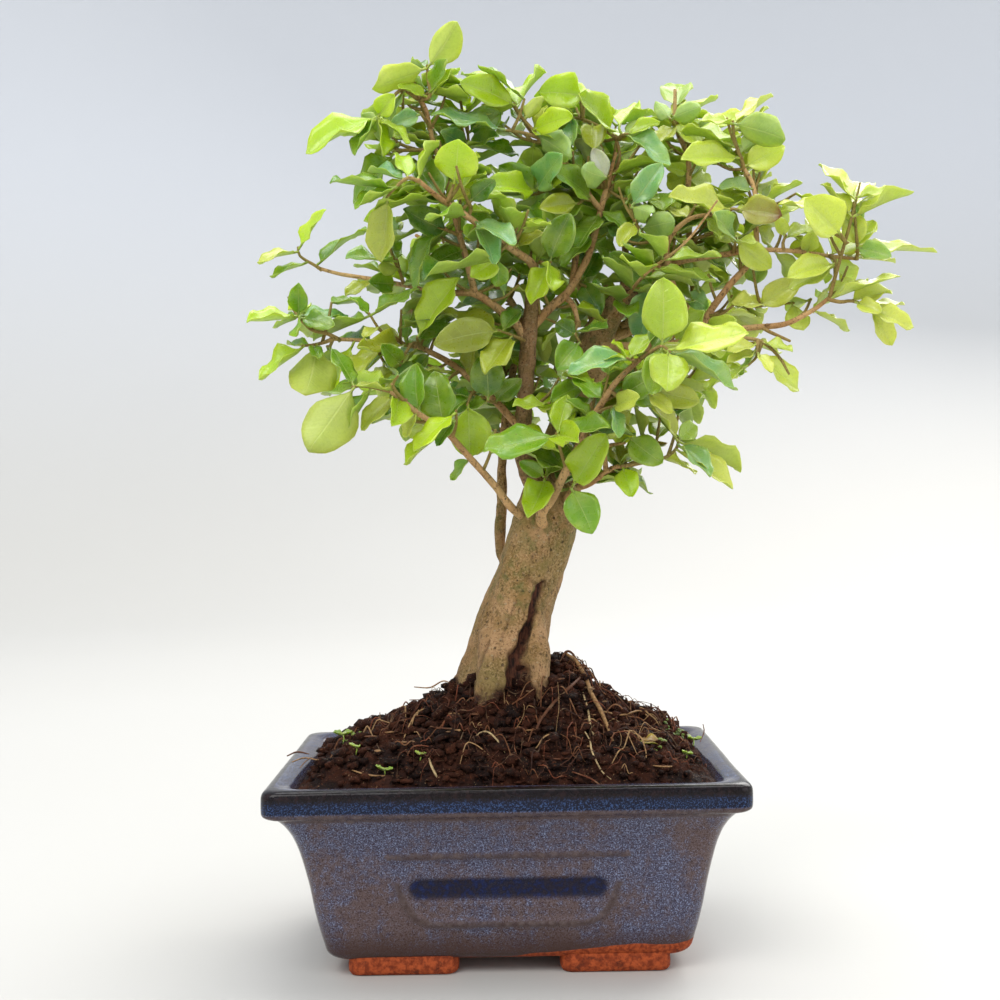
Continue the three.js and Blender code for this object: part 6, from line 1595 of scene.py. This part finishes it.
def to_line(spots, line):
    """Distance in the picture to a line, as a share of the line's half width there."""
    best = np.full(len(spots), np.inf)
    for (x0, y0, w0), (x1, y1, w1) in zip(line[:-1], line[1:]):
        run = np.array([x1 - x0, y1 - y0], float)
        share = np.clip(((spots - [x0, y0]) @ run) / (run @ run), 0, 1)
        gap = np.linalg.norm(spots - [x0, y0] - share[:, None] * run, axis=1)
        best = np.minimum(best, gap / (w0 + (w1 - w0) * share))
    return best


def soft_spot(spots, x, y, reach, squeeze=1.0):
    """A round spot in the picture that fades out from 1 in its middle."""
    return np.exp(-(np.hypot(spots[:, 0] - x, (spots[:, 1] - y) * squeeze) / reach) ** 2)


def smooth_tube(points, radii, sides, wobble=0.05, seed=1.0, pitch=1.2):
    """A limb's smooth tube with slight swellings, rounded at its end."""
    rows = curve(np.column_stack([np.array(points), radii]), pitch)
    line, reach = rows[:, :3], np.maximum(rows[:, 3], 0.3)
    step_out = unit(line[-1] - line[-2])
    line = np.vstack([line, line[-1] + step_out * reach[-1] * 0.35, line[-1] + step_out * reach[-1] * 0.6])
    reach = np.concatenate([reach, [reach[-1] * 0.82, reach[-1] * 0.3]])
    bumps = 1 + wobble * rough(np.repeat(line, sides, axis=0) + np.tile(
        np.column_stack([np.cos(np.arange(sides)), np.sin(np.arange(sides)), np.zeros(sides)]) * 2,
        (len(line), 1)), 4.0, seed, 2).reshape(len(line), sides)
    return tube(line, reach, sides, bumps)


def trunk_core():
    """The trunk's own tube, with shallow flutes that turn as they rise."""
    sides = TRUNK_FLUTES["sides"]
    angle = 2 * np.pi * np.arange(sides) / sides
    rings = []
    for x, y, z, r in curve(TRUNK, 1.5):
        waves = np.cos(TRUNK_FLUTES["count"] * angle + TRUNK_FLUTES["turn"] * z / 20)
        flute = 1 + TRUNK_FLUTES["deep"] * waves
        rings.append(np.column_stack([x + r * flute * np.cos(angle), y + r * flute * np.sin(angle),
                                      np.full(sides, z)]))
    return np.vstack(rings), ring_faces(len(rings), sides)


def make_trunk():
    shapes = [trunk_core()]
    for number, rows in enumerate(ROOT_LEGS):
        rows = np.array(rows, float) - SLIMMER.get(number, (0, 0, 0, 0))
        shapes.append(smooth_tube(rows[:, :3], rows[:, 3], 20, 0.04, 3))
    for name in TRUNK_BRANCHES:
        points, radii = BRANCHES[name]
        shapes.append(smooth_tube(points, radii, 16, 0.06, 5))
    points, faces, normals = skin(shapes, "trunk_blank")
    spots = shown(points)
    front = np.clip(-normals[:, 1] * 2.0 + 0.4, 0, 1)
    z = points[:, 2]
    on_stem = z < STEM_TOP
    thin = np.where(on_stem, 1.0, 0.35) * along(BARK_ROUGH, z)
    long_noise = rough(points * [1, 1, 0.22], 7.5, 11, 2)
    fine = rough(points * [1, 1, 0.35], 2.2, 12, 2)
    pits = lumps(points * [1, 1, 0.8], 3.0, 13)
    shift = 0.55 * long_noise * thin + 0.22 * fine * np.maximum(thin, 0.5) + 0.18 * (pits - 0.4) * thin
    gap = to_line(spots, MAIN_CRACK) * (1 + 0.35 * rough(points, 4.5, 15, 2))
    deep = along(CRACK_DEEP, spots[:, 1])
    opened = step(1.15 - gap, 0, 1)
    lips = np.exp(-((gap - 1.35) / 0.35) ** 2)
    here = front * on_stem
    shift -= deep * opened * here
    shift += 0.5 * lips * here * (spots[:, 1] < 690)
    wound = np.clip(1.5 * opened, 0, 1) * here
    for line in SMALL_CRACKS:
        near = np.clip(1.2 - to_line(spots, line), 0, 1) * here
        shift -= 0.55 * near
        wound = np.maximum(wound, 0.45 * near)
    for x, y, size, lift in KNOTS:
        shift += 0.5 * lift * soft_spot(spots, x, y, size) * here
    points = points + normals * shift[:, None]
    moss = np.clip(rough(points, 16, 21, 2) * 1.1 + 0.42 * (normals[:, 0] < 0.2) + 0.1, 0, 1)
    moss = moss * np.clip((points[:, 2] - 84) / 30, 0.1, 1)
    ground = np.interp(np.hypot((points[:, 0] - 4) * 0.8, points[:, 1]), [8, 18, 30], [92, 86, 79])
    dirt = np.clip((ground + 4.5 + 3 * rough(points, 5, 23, 2) - points[:, 2]) / 5, 0, 1)
    # Painted shade: the lower trunk is darkened up to 124 mm, over the soil dirt at its foot
    dirt = np.maximum(dirt, 0.32 * np.clip((124 - points[:, 2]) / 34, 0, 1))
    fork = soft_spot(spots, 538, 460, 24)
    # Painted shade: a dark green patch where the right front branch leaves the trunk, given through the moss
    # value
    shade = soft_spot(spots, 548, 530, 22, 0.6) * 0.8
    moss = np.clip(moss + fork + shade, 0, 1)
    top = np.linalg.norm(points - SAWN_TOP, axis=1)
    sawn = np.clip((points[:, 2] - 219.5) / 1.0, 0, 1) * (top < 9)
    head = shown(np.array([BRANCHES["leaderStub"][0][-1]]))[0]
    facing_out = normals @ np.array([0.1, -0.9, 0.4]) > 0.75
    sawn = np.maximum(sawn, (np.hypot(*(spots - head).T) < 5) * facing_out)
    x, y, z = points.T
    limb_like = (spots[:, 1] < 500) & (np.abs(x - 9) < 8) & (z > 150) & (y < 0)
    points[:, 2] = np.clip(z, TRUNK_LOWEST, TRUNK_HIGHEST)
    shape = Shape()
    shape.add(points, faces, moss=moss, wound=np.maximum(wound, 0.35 * limb_like), sawn=sawn,
              young=0.0, dirt=dirt)
    piece("trunk_wood", shape, TRUNK_BARK, ["trunk"])


make_trunk()

# Leaf colours as the picture shows them, and how a leaf's outline narrows to both ends
TONES = [
    rgb(174, 204, 28), rgb(118, 162, 26), rgb(66, 114, 22), rgb(108, 160, 104), rgb(208, 216, 88),
    rgb(152, 154, 44),
]
DEEP_TONES = (2, 3)
UNDERSIDE = rgb(168, 184, 88)
# Painted sunlight: leaves towards the right of the picture are mixed towards a pale yellow, less so for the
# deep tones
PAINTED_SUNLIGHT = {"from": 630.0, "to": 750.0, "share": 0.6, "colour": rgb(216, 222, 104)}
ODD_LEAVES = [(593, 160, rgb(196, 198, 176), 0.25), (762, 213, rgb(150, 140, 60), 1.0)]
ODD_REACH = 14.0
BLADE_EDGE = [
    (0, 0.02), (0.05, 0.1), (0.1, 0.3), (0.18, 0.62), (0.28, 0.87), (0.38, 0.98), (0.46, 1), (0.56, 0.97),
    (0.68, 0.89), (0.8, 0.73), (0.9, 0.49), (0.96, 0.26), (1, 0.03),
]
STATIONS = [0, 0.06, 0.13, 0.22, 0.33, 0.45, 0.57, 0.69, 0.8, 0.89, 0.955, 1]
ACROSS = [-1, -0.7, -0.36, 0, 0.36, 0.7, 1]
EDGE_SMOOTH = curve([(place, width, 0) for place, width in BLADE_EDGE], 0.02)
LEAF_THICK = 0.3
LEAF_WAVE, LEAF_RIPPLE, LEAF_CURL, LEAF_CUP, LEAF_QUILT, LEAF_GROOVE = 0.062, 0.042, 0.24, 0.07, 0.06, 0.16
SLENDER_BRANCHES = {"frontRight": 0.5}
PETIOLE_ENDS = (0.55, 0.42)
PETIOLE_TINT = rgb(150, 165, 70)
STALK_BLADE = (0.3, 0.5, 0.5)
BARE_END = 0.1
BUDS = {"step": 11.0, "share": 0.55}


def leaf_tone(leaf, outer, painted_sun, random):
    """A leaf's colour: as seen in the picture, or by how near the light it grows, with painted sunlight on
    leaves towards the right.
    """
    if leaf["tone"] is None:
        chance = random()
        ranks = [
            (0.2 + 0.3 * outer, 0), (0.25 + 0.35 * outer, 4), (0.54 + 0.2 * outer, 1), (0.84, 2), (0.95, 3),
            (1.01, 5),
        ]
        tone = next(rank for limit, rank in ranks if chance < limit)
    else:
        tone = leaf["tone"]
    base = np.array(TONES[tone])
    other = np.array(TONES[(tone + 1) % 3])
    share = 0.3 * random()
    colour = base * (1 - share) + other * share
    colour = colour * (0.76 + 0.42 * random())
    painted_sun = painted_sun * (0.3 if tone in DEEP_TONES else 1.0)
    return colour * (1 - painted_sun) + np.array(PAINTED_SUNLIGHT["colour"]) * painted_sun


def blade_grid(leaf, random):
    """Points of a leaf's upper skin, station by station, from edge to edge."""
    stations = np.array(STATIONS)
    half = np.interp(stations, EDGE_SMOOTH[:, 0], EDGE_SMOOTH[:, 1])
    stations = BARE_END * 0.6 + stations * (1 - BARE_END * 0.6)
    across = np.array(ACROSS)
    share = np.repeat(stations, len(across)).reshape(-1, len(across))
    place = half[:, None] * across
    skew = 0.05 * (random() - 0.5)
    length, width = leaf["length"], leaf["width"]
    wave_left, wave_right = leaf["waves"]
    turn = np.cos(2 * np.pi * (share - 0.34) / 0.72)
    wave = LEAF_WAVE * length * np.where(place > 0, wave_right, -wave_left) * turn * np.abs(across) ** 1.5
    phase = 2 * math.pi * random()
    rippling = np.sin(2 * np.pi * (2.3 * share) + phase + 2.0 * (across > 0))
    ripple = LEAF_RIPPLE * length * rippling * np.abs(across) ** 2
    fold = FOLD * (1.3 * random() - 0.45) * np.abs(place) * width
    curl = LEAF_CURL * (random() - 0.35) * length * np.clip(share - 0.55, 0, 1) ** 2 * 4
    cup = LEAF_CUP * (random() - 0.2) * width * (np.abs(across) ** 2 - 1)
    quilting = np.sin(2 * np.pi * (7.5 * share - 1.3 * np.abs(place)))
    quilt = LEAF_QUILT * quilting * np.abs(across) * (1 - np.abs(across)) * 3
    groove = -LEAF_GROOVE * np.exp(-(across / 0.12) ** 2) * np.clip((1 - share) * 3, 0, 1)
    lift = 1.3 * wave + ripple - curl + cup + quilt + groove + fold
    fade = np.clip(half * 2.2, 0, 1)[:, None]
    grid = leaf_points(leaf, share + skew * place * 0.4, place, lift * fade)
    bend = 0.06 * (random() - 0.5) * length
    sideways = bend * 4 * share * (1 - share)
    return grid + sideways[..., None] * leaf["side"], share, np.abs(across) * np.ones_like(share)


def add_leaf(shape, leaf, colour, own, random, brown=0.0, under_pale=True):
    """A leaf's two skins and its rim, with its colours, and its stalk."""
    grid, share, across = blade_grid(leaf, random)
    rows, columns = grid.shape[:2]
    along_u = np.gradient(grid, axis=0)
    along_v = np.gradient(grid, axis=1)
    normals = unit(np.cross(along_u, along_v))
    middle = normals[rows // 2, columns // 2]
    if np.dot(middle, leaf["normal"]) < 0:
        normals = -normals
    thick = LEAF_THICK * (0.4 + 0.6 * np.clip(1 - across ** 4, 0, 1))
    rib = 0.28 * np.exp(-(across / 0.1) ** 2) * np.clip((1.02 - share) * 1.6, 0, 1)
    lower = grid - normals * (thick + rib)[..., None]
    points = np.vstack([grid.reshape(-1, 3), lower.reshape(-1, 3)])
    total = rows * columns
    faces = []
    for r in range(rows - 1):
        for c in range(columns - 1):
            a = r * columns + c
            faces.append((a, a + 1, a + columns + 1, a + columns))
            faces.append((total + a, total + a + columns, total + a + columns + 1, total + a + 1))
    left, right = [r * columns for r in range(rows)], [(r + 1) * columns - 1 for r in range(rows)]
    last = left[-1]
    rim = left + [last + c for c in range(1, columns - 1)] + right[::-1] + list(range(columns - 2, 0, -1))
    faces += [(a, b, total + b, total + a) for a, b in zip(rim, rim[1:] + rim[:1])]
    if np.dot(np.cross(grid[1, 3] - grid[0, 3], grid[1, 4] - grid[1, 3]), leaf["normal"]) > 0:
        faces = [face[::-1] for face in faces]
    under = np.repeat([0.0, 1.0], total)
    pale = np.array(UNDERSIDE) * (0.85 + 0.3 * own)
    below = (colour * 0.45 + pale * 0.55) if under_pale else colour
    tint = np.vstack([np.tile(colour, (total, 1)), np.tile(below, (total, 1))])
    blade = np.column_stack([np.tile(share.ravel(), 2), np.tile(across.ravel(), 2), np.full(2 * total, own)])
    dry = brown * np.clip((share.ravel() - 0.78) * 6, 0, 1)
    shape.add(points, faces, tint=tint, blade=blade, under=under, brown=np.tile(dry, 2))
    add_petiole(shape, leaf, grid[0, columns // 2], colour)


def add_petiole(shape, leaf, start, colour):
    """The thin stalk from the wood to the blade."""
    wood = leaf["wood"]
    tip = start + leaf["direction"] * 1.2 - leaf["normal"] * 0.25
    if np.linalg.norm(tip - wood) < 0.8:
        return
    middle = leaf["base"] * 0.6 + (wood + start) * 0.2
    line = curve([wood, middle, tip], 1.6)
    points, faces = tube(line, np.linspace(*PETIOLE_ENDS, len(line)), 5)
    stem = np.array(PETIOLE_TINT) * 0.6 + colour * 0.4
    shape.add(points, faces, tint=stem, under=0.0, brown=0.0, blade=STALK_BLADE)


def bark(**given):
    """Values of a stretch of bark, none but those given."""
    return {"moss": 0.0, "wound": 0.0, "sawn": 0.0, "young": 0.0, "dirt": 0.0, **given}


def make_wood(name, owner, limb):
    """A limb's branches, twigs and short shoots, with slight swellings and small dark buds scattered along
    them.
    """
    shape = Shape()
    grown = len(limb["branches"])
    for number, (points, radii) in enumerate(LIMB_LINES[owner]):
        wobble = 0.07 if number < grown else 0.05
        slim = (0.12 + 0.66 * np.array(radii)) * np.linspace(1, 0.74, len(radii))
        for branch, share in SLENDER_BRANCHES.items():
            if radii is BRANCHES[branch][1]:
                slim = slim * share
        part_points, faces = smooth_tube(points, slim, 10 if radii[0] > 1.5 else 7, wobble,
                                         owner + number * 0.7, 1.8)
        reach = np.interp(np.linspace(0, 1, len(part_points)), np.linspace(0, 1, len(radii)), radii)
        young = np.clip((1.15 - reach) / 0.4, 0, 1) * 0.8
        moss = np.clip(rough(part_points, 9, 31 + owner, 1), 0, 1) * 0.35 * (reach > 1.3)
        shape.add(part_points, faces, **bark(moss=moss, young=young))
    for number, line in enumerate(shoots[owner]):
        part_points, faces = smooth_tube(line, SHOOT["radii"], 6, 0.05, owner + number * 0.3, 2.4)
        shape.add(part_points, faces, **bark(young=0.75))
    random = draws(700 + owner)
    for points, radii in LIMB_LINES[owner]:
        for place in spaced(points, radii, BUDS["step"]):
            if random() < BUDS["share"]:
                side = unit(np.cross(place["along"], UP) + 0.7 * UP * (random() - 0.5) + 1e-6)
                sign = 1 if random() < 0.5 else -1
                out = place["at"] + side * sign * place["radius"] * 0.6
                ball, sides = grain(0.28 + 0.4 * place["radius"] * random(), random)
                shape.add(ball + out, sides, **bark(wound=0.5 * random()))
    piece(f"{name}_wood", shape, LIMB_BARK)


def make_limb(owner, limb):
    """A limb's wood and its leaves, as two pieces that take its node's place."""
    name = limb["name"]
    make_wood(name, owner, limb)
    shape = Shape()
    random = draws(900 + owner)
    for leaf in seen_leaves[owner] + ruled_leaves[owner] + extra_leaves[owner]:
        middle = leaf_points(leaf, 0.5, 0.0)
        outer = np.clip((np.linalg.norm((middle - [10, 0, 190]) * [1, 1.2, 1]) - 45) / 60, 0, 1)
        spot = shown(middle[None])[0]
        # Painted sunlight, rising towards the right of the picture
        painted_sun = PAINTED_SUNLIGHT["share"] * np.clip((spot[0] - PAINTED_SUNLIGHT["from"]) / (PAINTED_SUNLIGHT["to"] - PAINTED_SUNLIGHT["from"]), 0, 1)
        colour = leaf_tone(leaf, outer, painted_sun, random)
        brown = 1.0 if random() < 0.03 and leaf["tone"] is None else 0.0
        for x, y, odd_colour, dry in ODD_LEAVES:
            if leaf["tone"] is not None and np.hypot(spot[0] - x, spot[1] - y) < ODD_REACH:
                colour, brown = np.array(odd_colour), dry
        add_leaf(shape, leaf, colour, random(), random, brown)
    piece(f"{name}_leaves", shape, LEAF, [name])


for limb_number, limb_row in enumerate(LIMBS):
    make_limb(limb_number, limb_row)


# Small things on the soil, read from the picture: roots and litter as x, y rows with a radius and a tint
PALE_ROOT, TAN_ROOT, BROWN_ROOT = (196, 170, 124), (160, 122, 80), (96, 58, 38)
SEEN_ROOTS = [
    ([(566, 652), (577, 666), (586, 682), (592, 696), (602, 716), (613, 741)], 0.8, TAN_ROOT),
    ([(580, 676), (570, 690), (558, 700), (542, 720), (535, 733)], 0.6, BROWN_ROOT),
    ([(560, 660), (566, 653), (572, 654), (578, 661)], 0.45, BROWN_ROOT),
    ([(583, 690), (588, 712), (592, 732), (604, 746)], 0.4, PALE_ROOT),
    ([(585, 729), (590, 742), (592, 753), (602, 773), (613, 779)], 0.32, PALE_ROOT),
    ([(429, 756), (432, 769), (439, 779)], 0.45, PALE_ROOT),
    ([(472, 738), (481, 733), (489, 734), (498, 742), (505, 751)], 0.3, PALE_ROOT),
    ([(600, 708), (622, 716), (640, 712), (652, 720)], 0.35, TAN_ROOT),
    ([(414, 684), (430, 688), (444, 682), (456, 686)], 0.25, TAN_ROOT),
    ([(430, 724), (446, 730), (462, 727)], 0.3, BROWN_ROOT),
    ([(352, 768), (370, 776), (396, 775)], 0.3, TAN_ROOT),
    ([(540, 752), (556, 760), (570, 757)], 0.28, BROWN_ROOT),
    ([(650, 762), (664, 768), (680, 765)], 0.28, TAN_ROOT),
]
RIM_BITS = [
    ([(287, 756), (297, 752), (309, 754)], 0.3, BROWN_ROOT),
    ([(292, 762), (304, 758), (318, 760)], 0.26, TAN_ROOT),
    ([(300, 768), (305, 762), (312, 757)], 0.24, BROWN_ROOT),
    ([(700, 742), (704, 732), (703, 724)], 0.22, BROWN_ROOT),
]

# Seedlings: picture x and y, height, the ways of their leaves, leaf size; moss: x, y, count, reach
SEEDLINGS = [
    (343, 742, 4.5, [(-1.0, 0.2), (1.0, 0.3)], 4.6), (356, 752, 3.0, [(0.4, -0.8), (-0.8, -0.2)], 3.4),
    (384, 775, 3.0, [(-0.9, -0.4), (0.9, -0.3)], 4.2), (693, 745, 3.6, [(0.9, -0.4), (-0.9, -0.3)], 4.4),
    (686, 758, 2.6, [(0.8, -0.5), (-0.6, -0.6)], 3.0), (420, 758, 2.2, [(0.9, 0.1), (-0.9, 0.0)], 2.6),
]
MOSS_SPOTS = [(676, 733, 26, 5.0), (352, 737, 16, 3.4), (660, 742, 10, 3.0)]
FIBRE_COUNT, FIBRE_STEPS, BIT_COUNT = 640, 4, 70
FIBRE_TINTS = [
    (70, 38, 26), (84, 46, 30), (96, 52, 34), (56, 32, 24), (128, 68, 44), (124, 78, 48), (78, 44, 30),
    (112, 60, 38), (176, 138, 94),
]


def soil_tree():
    mesh = soil_object.data
    points = [tuple(1000 * vertex.co - Vector(POT_MIDDLE)) for vertex in mesh.vertices]
    return BVHTree.FromPolygons(points, [tuple(face.vertices) for face in mesh.polygons])


SOIL_TREE = soil_tree()


def on_soil(px, py):
    """The point of the soil that the picture shows at a position."""
    direction = unit(seen(px, py, 0.0) - EYE)
    hit = SOIL_TREE.ray_cast(Vector(EYE), Vector(direction), 1000.0)[0]
    return np.array(hit) if hit is not None else seen(px, py, 0.0)


def drop(x, y):
    """The soil's surface straight under a place, or None past the soil."""
    hit = SOIL_TREE.ray_cast(Vector((x, y, 140.0)), Vector((0, 0, -1)), 200.0)[0]
    return None if hit is None else np.array(hit)


def add_strand(shape, points, radius, tint, random, sides=5):
    """A root or fibre along a line, thinner to its ends, in one tint."""
    line = curve(points, 1.0)[:, :3]
    place = np.linspace(0, 1, len(line))
    reach = radius * (0.45 + 0.55 * np.sin(np.pi * (0.15 + 0.75 * place)))
    reach = reach * (0.9 + 0.2 * np.array([random() for _ in line]))
    part_points, faces = tube(line, reach, sides)
    shape.add(part_points, faces, tint=rgb(*tint))


def make_litter():
    """Roots and bits that the picture shows, then fibres and bits strewn by rule."""
    shape = Shape()
    random = draws(41)
    for rows, radius, tint in SEEN_ROOTS:
        line = [on_soil(*row) + [0, 0, radius * (0.5 + 1.2 * random())] for row in rows]
        line[0] = line[0] - [0, 0, 1.2]
        line[-1] = line[-1] - [0, 0, 0.8]
        add_strand(shape, line, radius, tint, random)
    for rows, radius, tint in RIM_BITS:
        line = []
        for px, py in rows:
            depth = -40.0 + (770 - py) * 0.9
            spot = seen(px, py, depth)
            line.append(np.array([spot[0], spot[1], max(spot[2], POT_HEIGHT + 0.1)]))
        add_strand(shape, line, radius, tint, random, 4)
    for _ in range(FIBRE_COUNT):
        share, angle = 0.12 + 0.87 * random() ** 0.55, 2 * math.pi * random()
        side = math.cos(angle)
        if side < 0 and random() < 0.3:
            side = -side
        x = PEAK_X + share * 66 * side
        y = share * 45 * math.sin(angle)
        length = 4 + 13 * random() ** 2
        turn = 2 * math.pi * random()
        bend = 2.6 * (random() - 0.5)
        line = []
        for number in range(FIBRE_STEPS + 1):
            spot = drop(x, y)
            if spot is None:
                break
            arch = math.sin(math.pi * number / FIBRE_STEPS) * (0.2 + 2.4 * random() ** 2)
            line.append(spot + [0, 0, arch + (0.1 if 0 < number < FIBRE_STEPS else -0.5)])
            x += math.cos(turn) * length / FIBRE_STEPS
            y += math.sin(turn) * length / FIBRE_STEPS
            turn += bend / FIBRE_STEPS + 0.5 * (random() - 0.5)
        if len(line) <= FIBRE_STEPS:
            continue
        tint = FIBRE_TINTS[int(len(FIBRE_TINTS) * random())]
        add_strand(shape, line, 0.11 + 0.2 * random() ** 2, tint, random, 3)
    for _ in range(BIT_COUNT):
        x, y = PEAK_X + 110 * (random() - 0.5), 70 * (random() - 0.5)
        spot = drop(x, y)
        if spot is None:
            continue
        ball, faces = grain(0.5 + 0.6 * random(), random)
        tint = (150, 112, 74) if random() < 0.5 else (104, 66, 42)
        shape.add(ball * [1.5, 0.7, 0.45] + spot + [0, 0, 0.25], faces, tint=rgb(*tint))
    piece("roots_and_litter", shape, LITTER)


def make_greens():
    """Seedlings, moss and one fallen leaf on the soil."""
    shape = Shape()
    random = draws(43)
    for px, py, high, ways, size in SEEDLINGS:
        root = on_soil(px, py)
        high, size = 0.6 * high, 0.72 * size
        crown = root + [0.3 * (random() - 0.5), 0, high]
        stem = curve([root - [0, 0, 1], root + [0.3, 0, high * 0.5], crown], 0.9)[:, :3]
        part_points, faces = tube(stem, np.full(len(stem), 0.22), 5)
        shape.add(part_points, faces, tint=rgb(150, 180, 80), under=0.0, brown=0.0, blade=STALK_BLADE)
        for way_x, way_y in ways:
            direction = unit(np.array([way_x, way_y, 0.2 + 0.6 * random()]))
            leaf = leaf_frame(crown, crown + direction * size, UP + 0.2 * FACING, size * 0.72)
            leaf.update(waves=[0.2, 0.3], tone=0, wood=crown)
            colour = np.array(rgb(124, 156, 62)) * (0.6 + 0.5 * random())
            add_leaf(shape, leaf, colour, random(), random)
    for px, py, count, reach in MOSS_SPOTS:
        centre = on_soil(px, py)
        for _ in range(count):
            x = centre[0] + reach * (random() - 0.5) * 1.6
            y = centre[1] + reach * (random() - 0.5)
            spot = drop(x, y)
            if spot is None:
                continue
            ball, faces = grain(0.35 + 0.45 * random(), random)
            tint = np.array(rgb(92, 112, 44)) * (0.6 + 0.7 * random())
            shape.add(ball * [1, 1, 1.2] + spot, faces, tint=tint, under=1.0, brown=0.0, blade=STALK_BLADE)
    spot = on_soil(648, 744)
    leaf = leaf_frame(spot + [-3.5, 1, 0.8], spot + [3.8, -1.5, 1.4], np.array([0.2, -0.6, 1.0]), 4.6)
    leaf.update(waves=[0.9, -0.8], tone=5, wood=spot + [-3.5, 1, 0.8])
    add_leaf(shape, leaf, np.array(rgb(150, 112, 66)), 0.5, random, 0.8, False)
    piece("seedlings_and_moss", shape, LEAF)


make_litter()
make_greens()

# A plain pale floor that curves up all round, soft studio light, and the picture's view
MIDDLE = Vector((float(POT_MIDDLE[0]) / 1000, float(POT_MIDDLE[1]) / 1000, 0))
LIGHTS_AIM = Vector((0, 0, 0.15))
FLOOR_SIDES, FLOOR_FLAT, FLOOR_BEND, FLOOR_TOP = 96, 1.2, 1.2, 1.7

# Lights: name, place, size, power and colour
LIGHTS = [
    ("key", (-0.8, -1.1, 1.7), (1.2, 1.2), 23.0, (1.0, 0.985, 0.96)),
    ("fill", (1.5, -0.9, 0.9), (1.6, 1.2), 7.0, (0.94, 0.97, 1.0)),
    ("top", (0.2, 0.3, 1.9), (1.6, 1.2), 27.0, (0.98, 0.99, 1.0)),
    ("back", (0.9, 1.3, 1.2), (1.4, 1.0), 21.0, (1.0, 0.98, 0.94)),
]


def floor_finish():
    """A warm white floor that turns to a cooler white as it rises."""
    n = Nodes("pale_floor")
    colour = n.mix(n.ramp(n.part("Z"), 5.0, 900.0), (0.535, 0.52, 0.49), (0.63, 0.645, 0.68))
    cloud = n.ramp(n.noise(900.0, detail=2.0), 0.4, 0.6, 0.0, 0.05)
    return n.finish(n.mix(cloud, colour, (0.7, 0.7, 0.7)), 0.6)


def make_floor():
    turns = [math.pi / 2 * k / 24 for k in range(25)]
    profile = [(0.02, 0.0), (0.5, 0.0), (1.0, 0.0)]
    profile += [(FLOOR_FLAT + FLOOR_BEND * math.sin(a), FLOOR_BEND - FLOOR_BEND * math.cos(a)) for a in turns]
    profile.append((FLOOR_FLAT + FLOOR_BEND, FLOOR_TOP))
    ways = [2 * math.pi * k / FLOOR_SIDES for k in range(FLOOR_SIDES)]
    points = [(r * math.cos(way), r * math.sin(way), z) for r, z in profile for way in ways]
    faces = ring_faces(len(profile), FLOOR_SIDES, capped=False) + [tuple(range(FLOOR_SIDES))]
    mesh = bpy.data.meshes.new("floor")
    mesh.from_pydata(points, [], faces)
    mesh.materials.append(floor_finish())
    mesh.shade_smooth()
    floor = bpy.data.objects.new("floor", mesh)
    bpy.context.scene.collection.objects.link(floor)
    floor.location = MIDDLE


def soft_light(name, at, size, power, colour):
    data = bpy.data.lights.new(name, "AREA")
    data.shape = "RECTANGLE"
    data.size, data.size_y = size
    data.energy = power
    data.color = colour
    light = bpy.data.objects.new(name, data)
    bpy.context.scene.collection.objects.link(light)
    light.location = Vector(at) + MIDDLE
    aim = LIGHTS_AIM + MIDDLE - light.location
    light.rotation_euler = aim.to_track_quat("-Z", "Y").to_euler()


make_floor()
for light_row in LIGHTS:
    soft_light(*light_row)

world = bpy.data.worlds.new("studio")
bpy.context.scene.world = world
world.use_nodes = True
world.node_tree.nodes["Background"].inputs["Color"].default_value = (0.86, 0.93, 1.0, 1.0)
world.node_tree.nodes["Background"].inputs["Strength"].default_value = 0.7
bpy.context.scene.view_settings.view_transform = "Standard"

camera_data = bpy.data.cameras.new("camera")
camera_data.sensor_width = 36.0
camera_data.lens = FOCAL * 36.0 / 1000.0
camera_data.clip_start = 0.01
camera = bpy.data.objects.new("camera", camera_data)
bpy.context.scene.collection.objects.link(camera)
camera.matrix_world = Matrix((
    (math.cos(ROLL), math.sin(ROLL), 0.0, (EYE[0] + POT_MIDDLE[0]) / 1000),
    (0.0, 0.0, -1.0, (EYE[1] + POT_MIDDLE[1]) / 1000),
    (-math.sin(ROLL), math.cos(ROLL), 0.0, EYE[2] / 1000),
    (0.0, 0.0, 0.0, 1.0),
))
bpy.context.scene.camera = camera
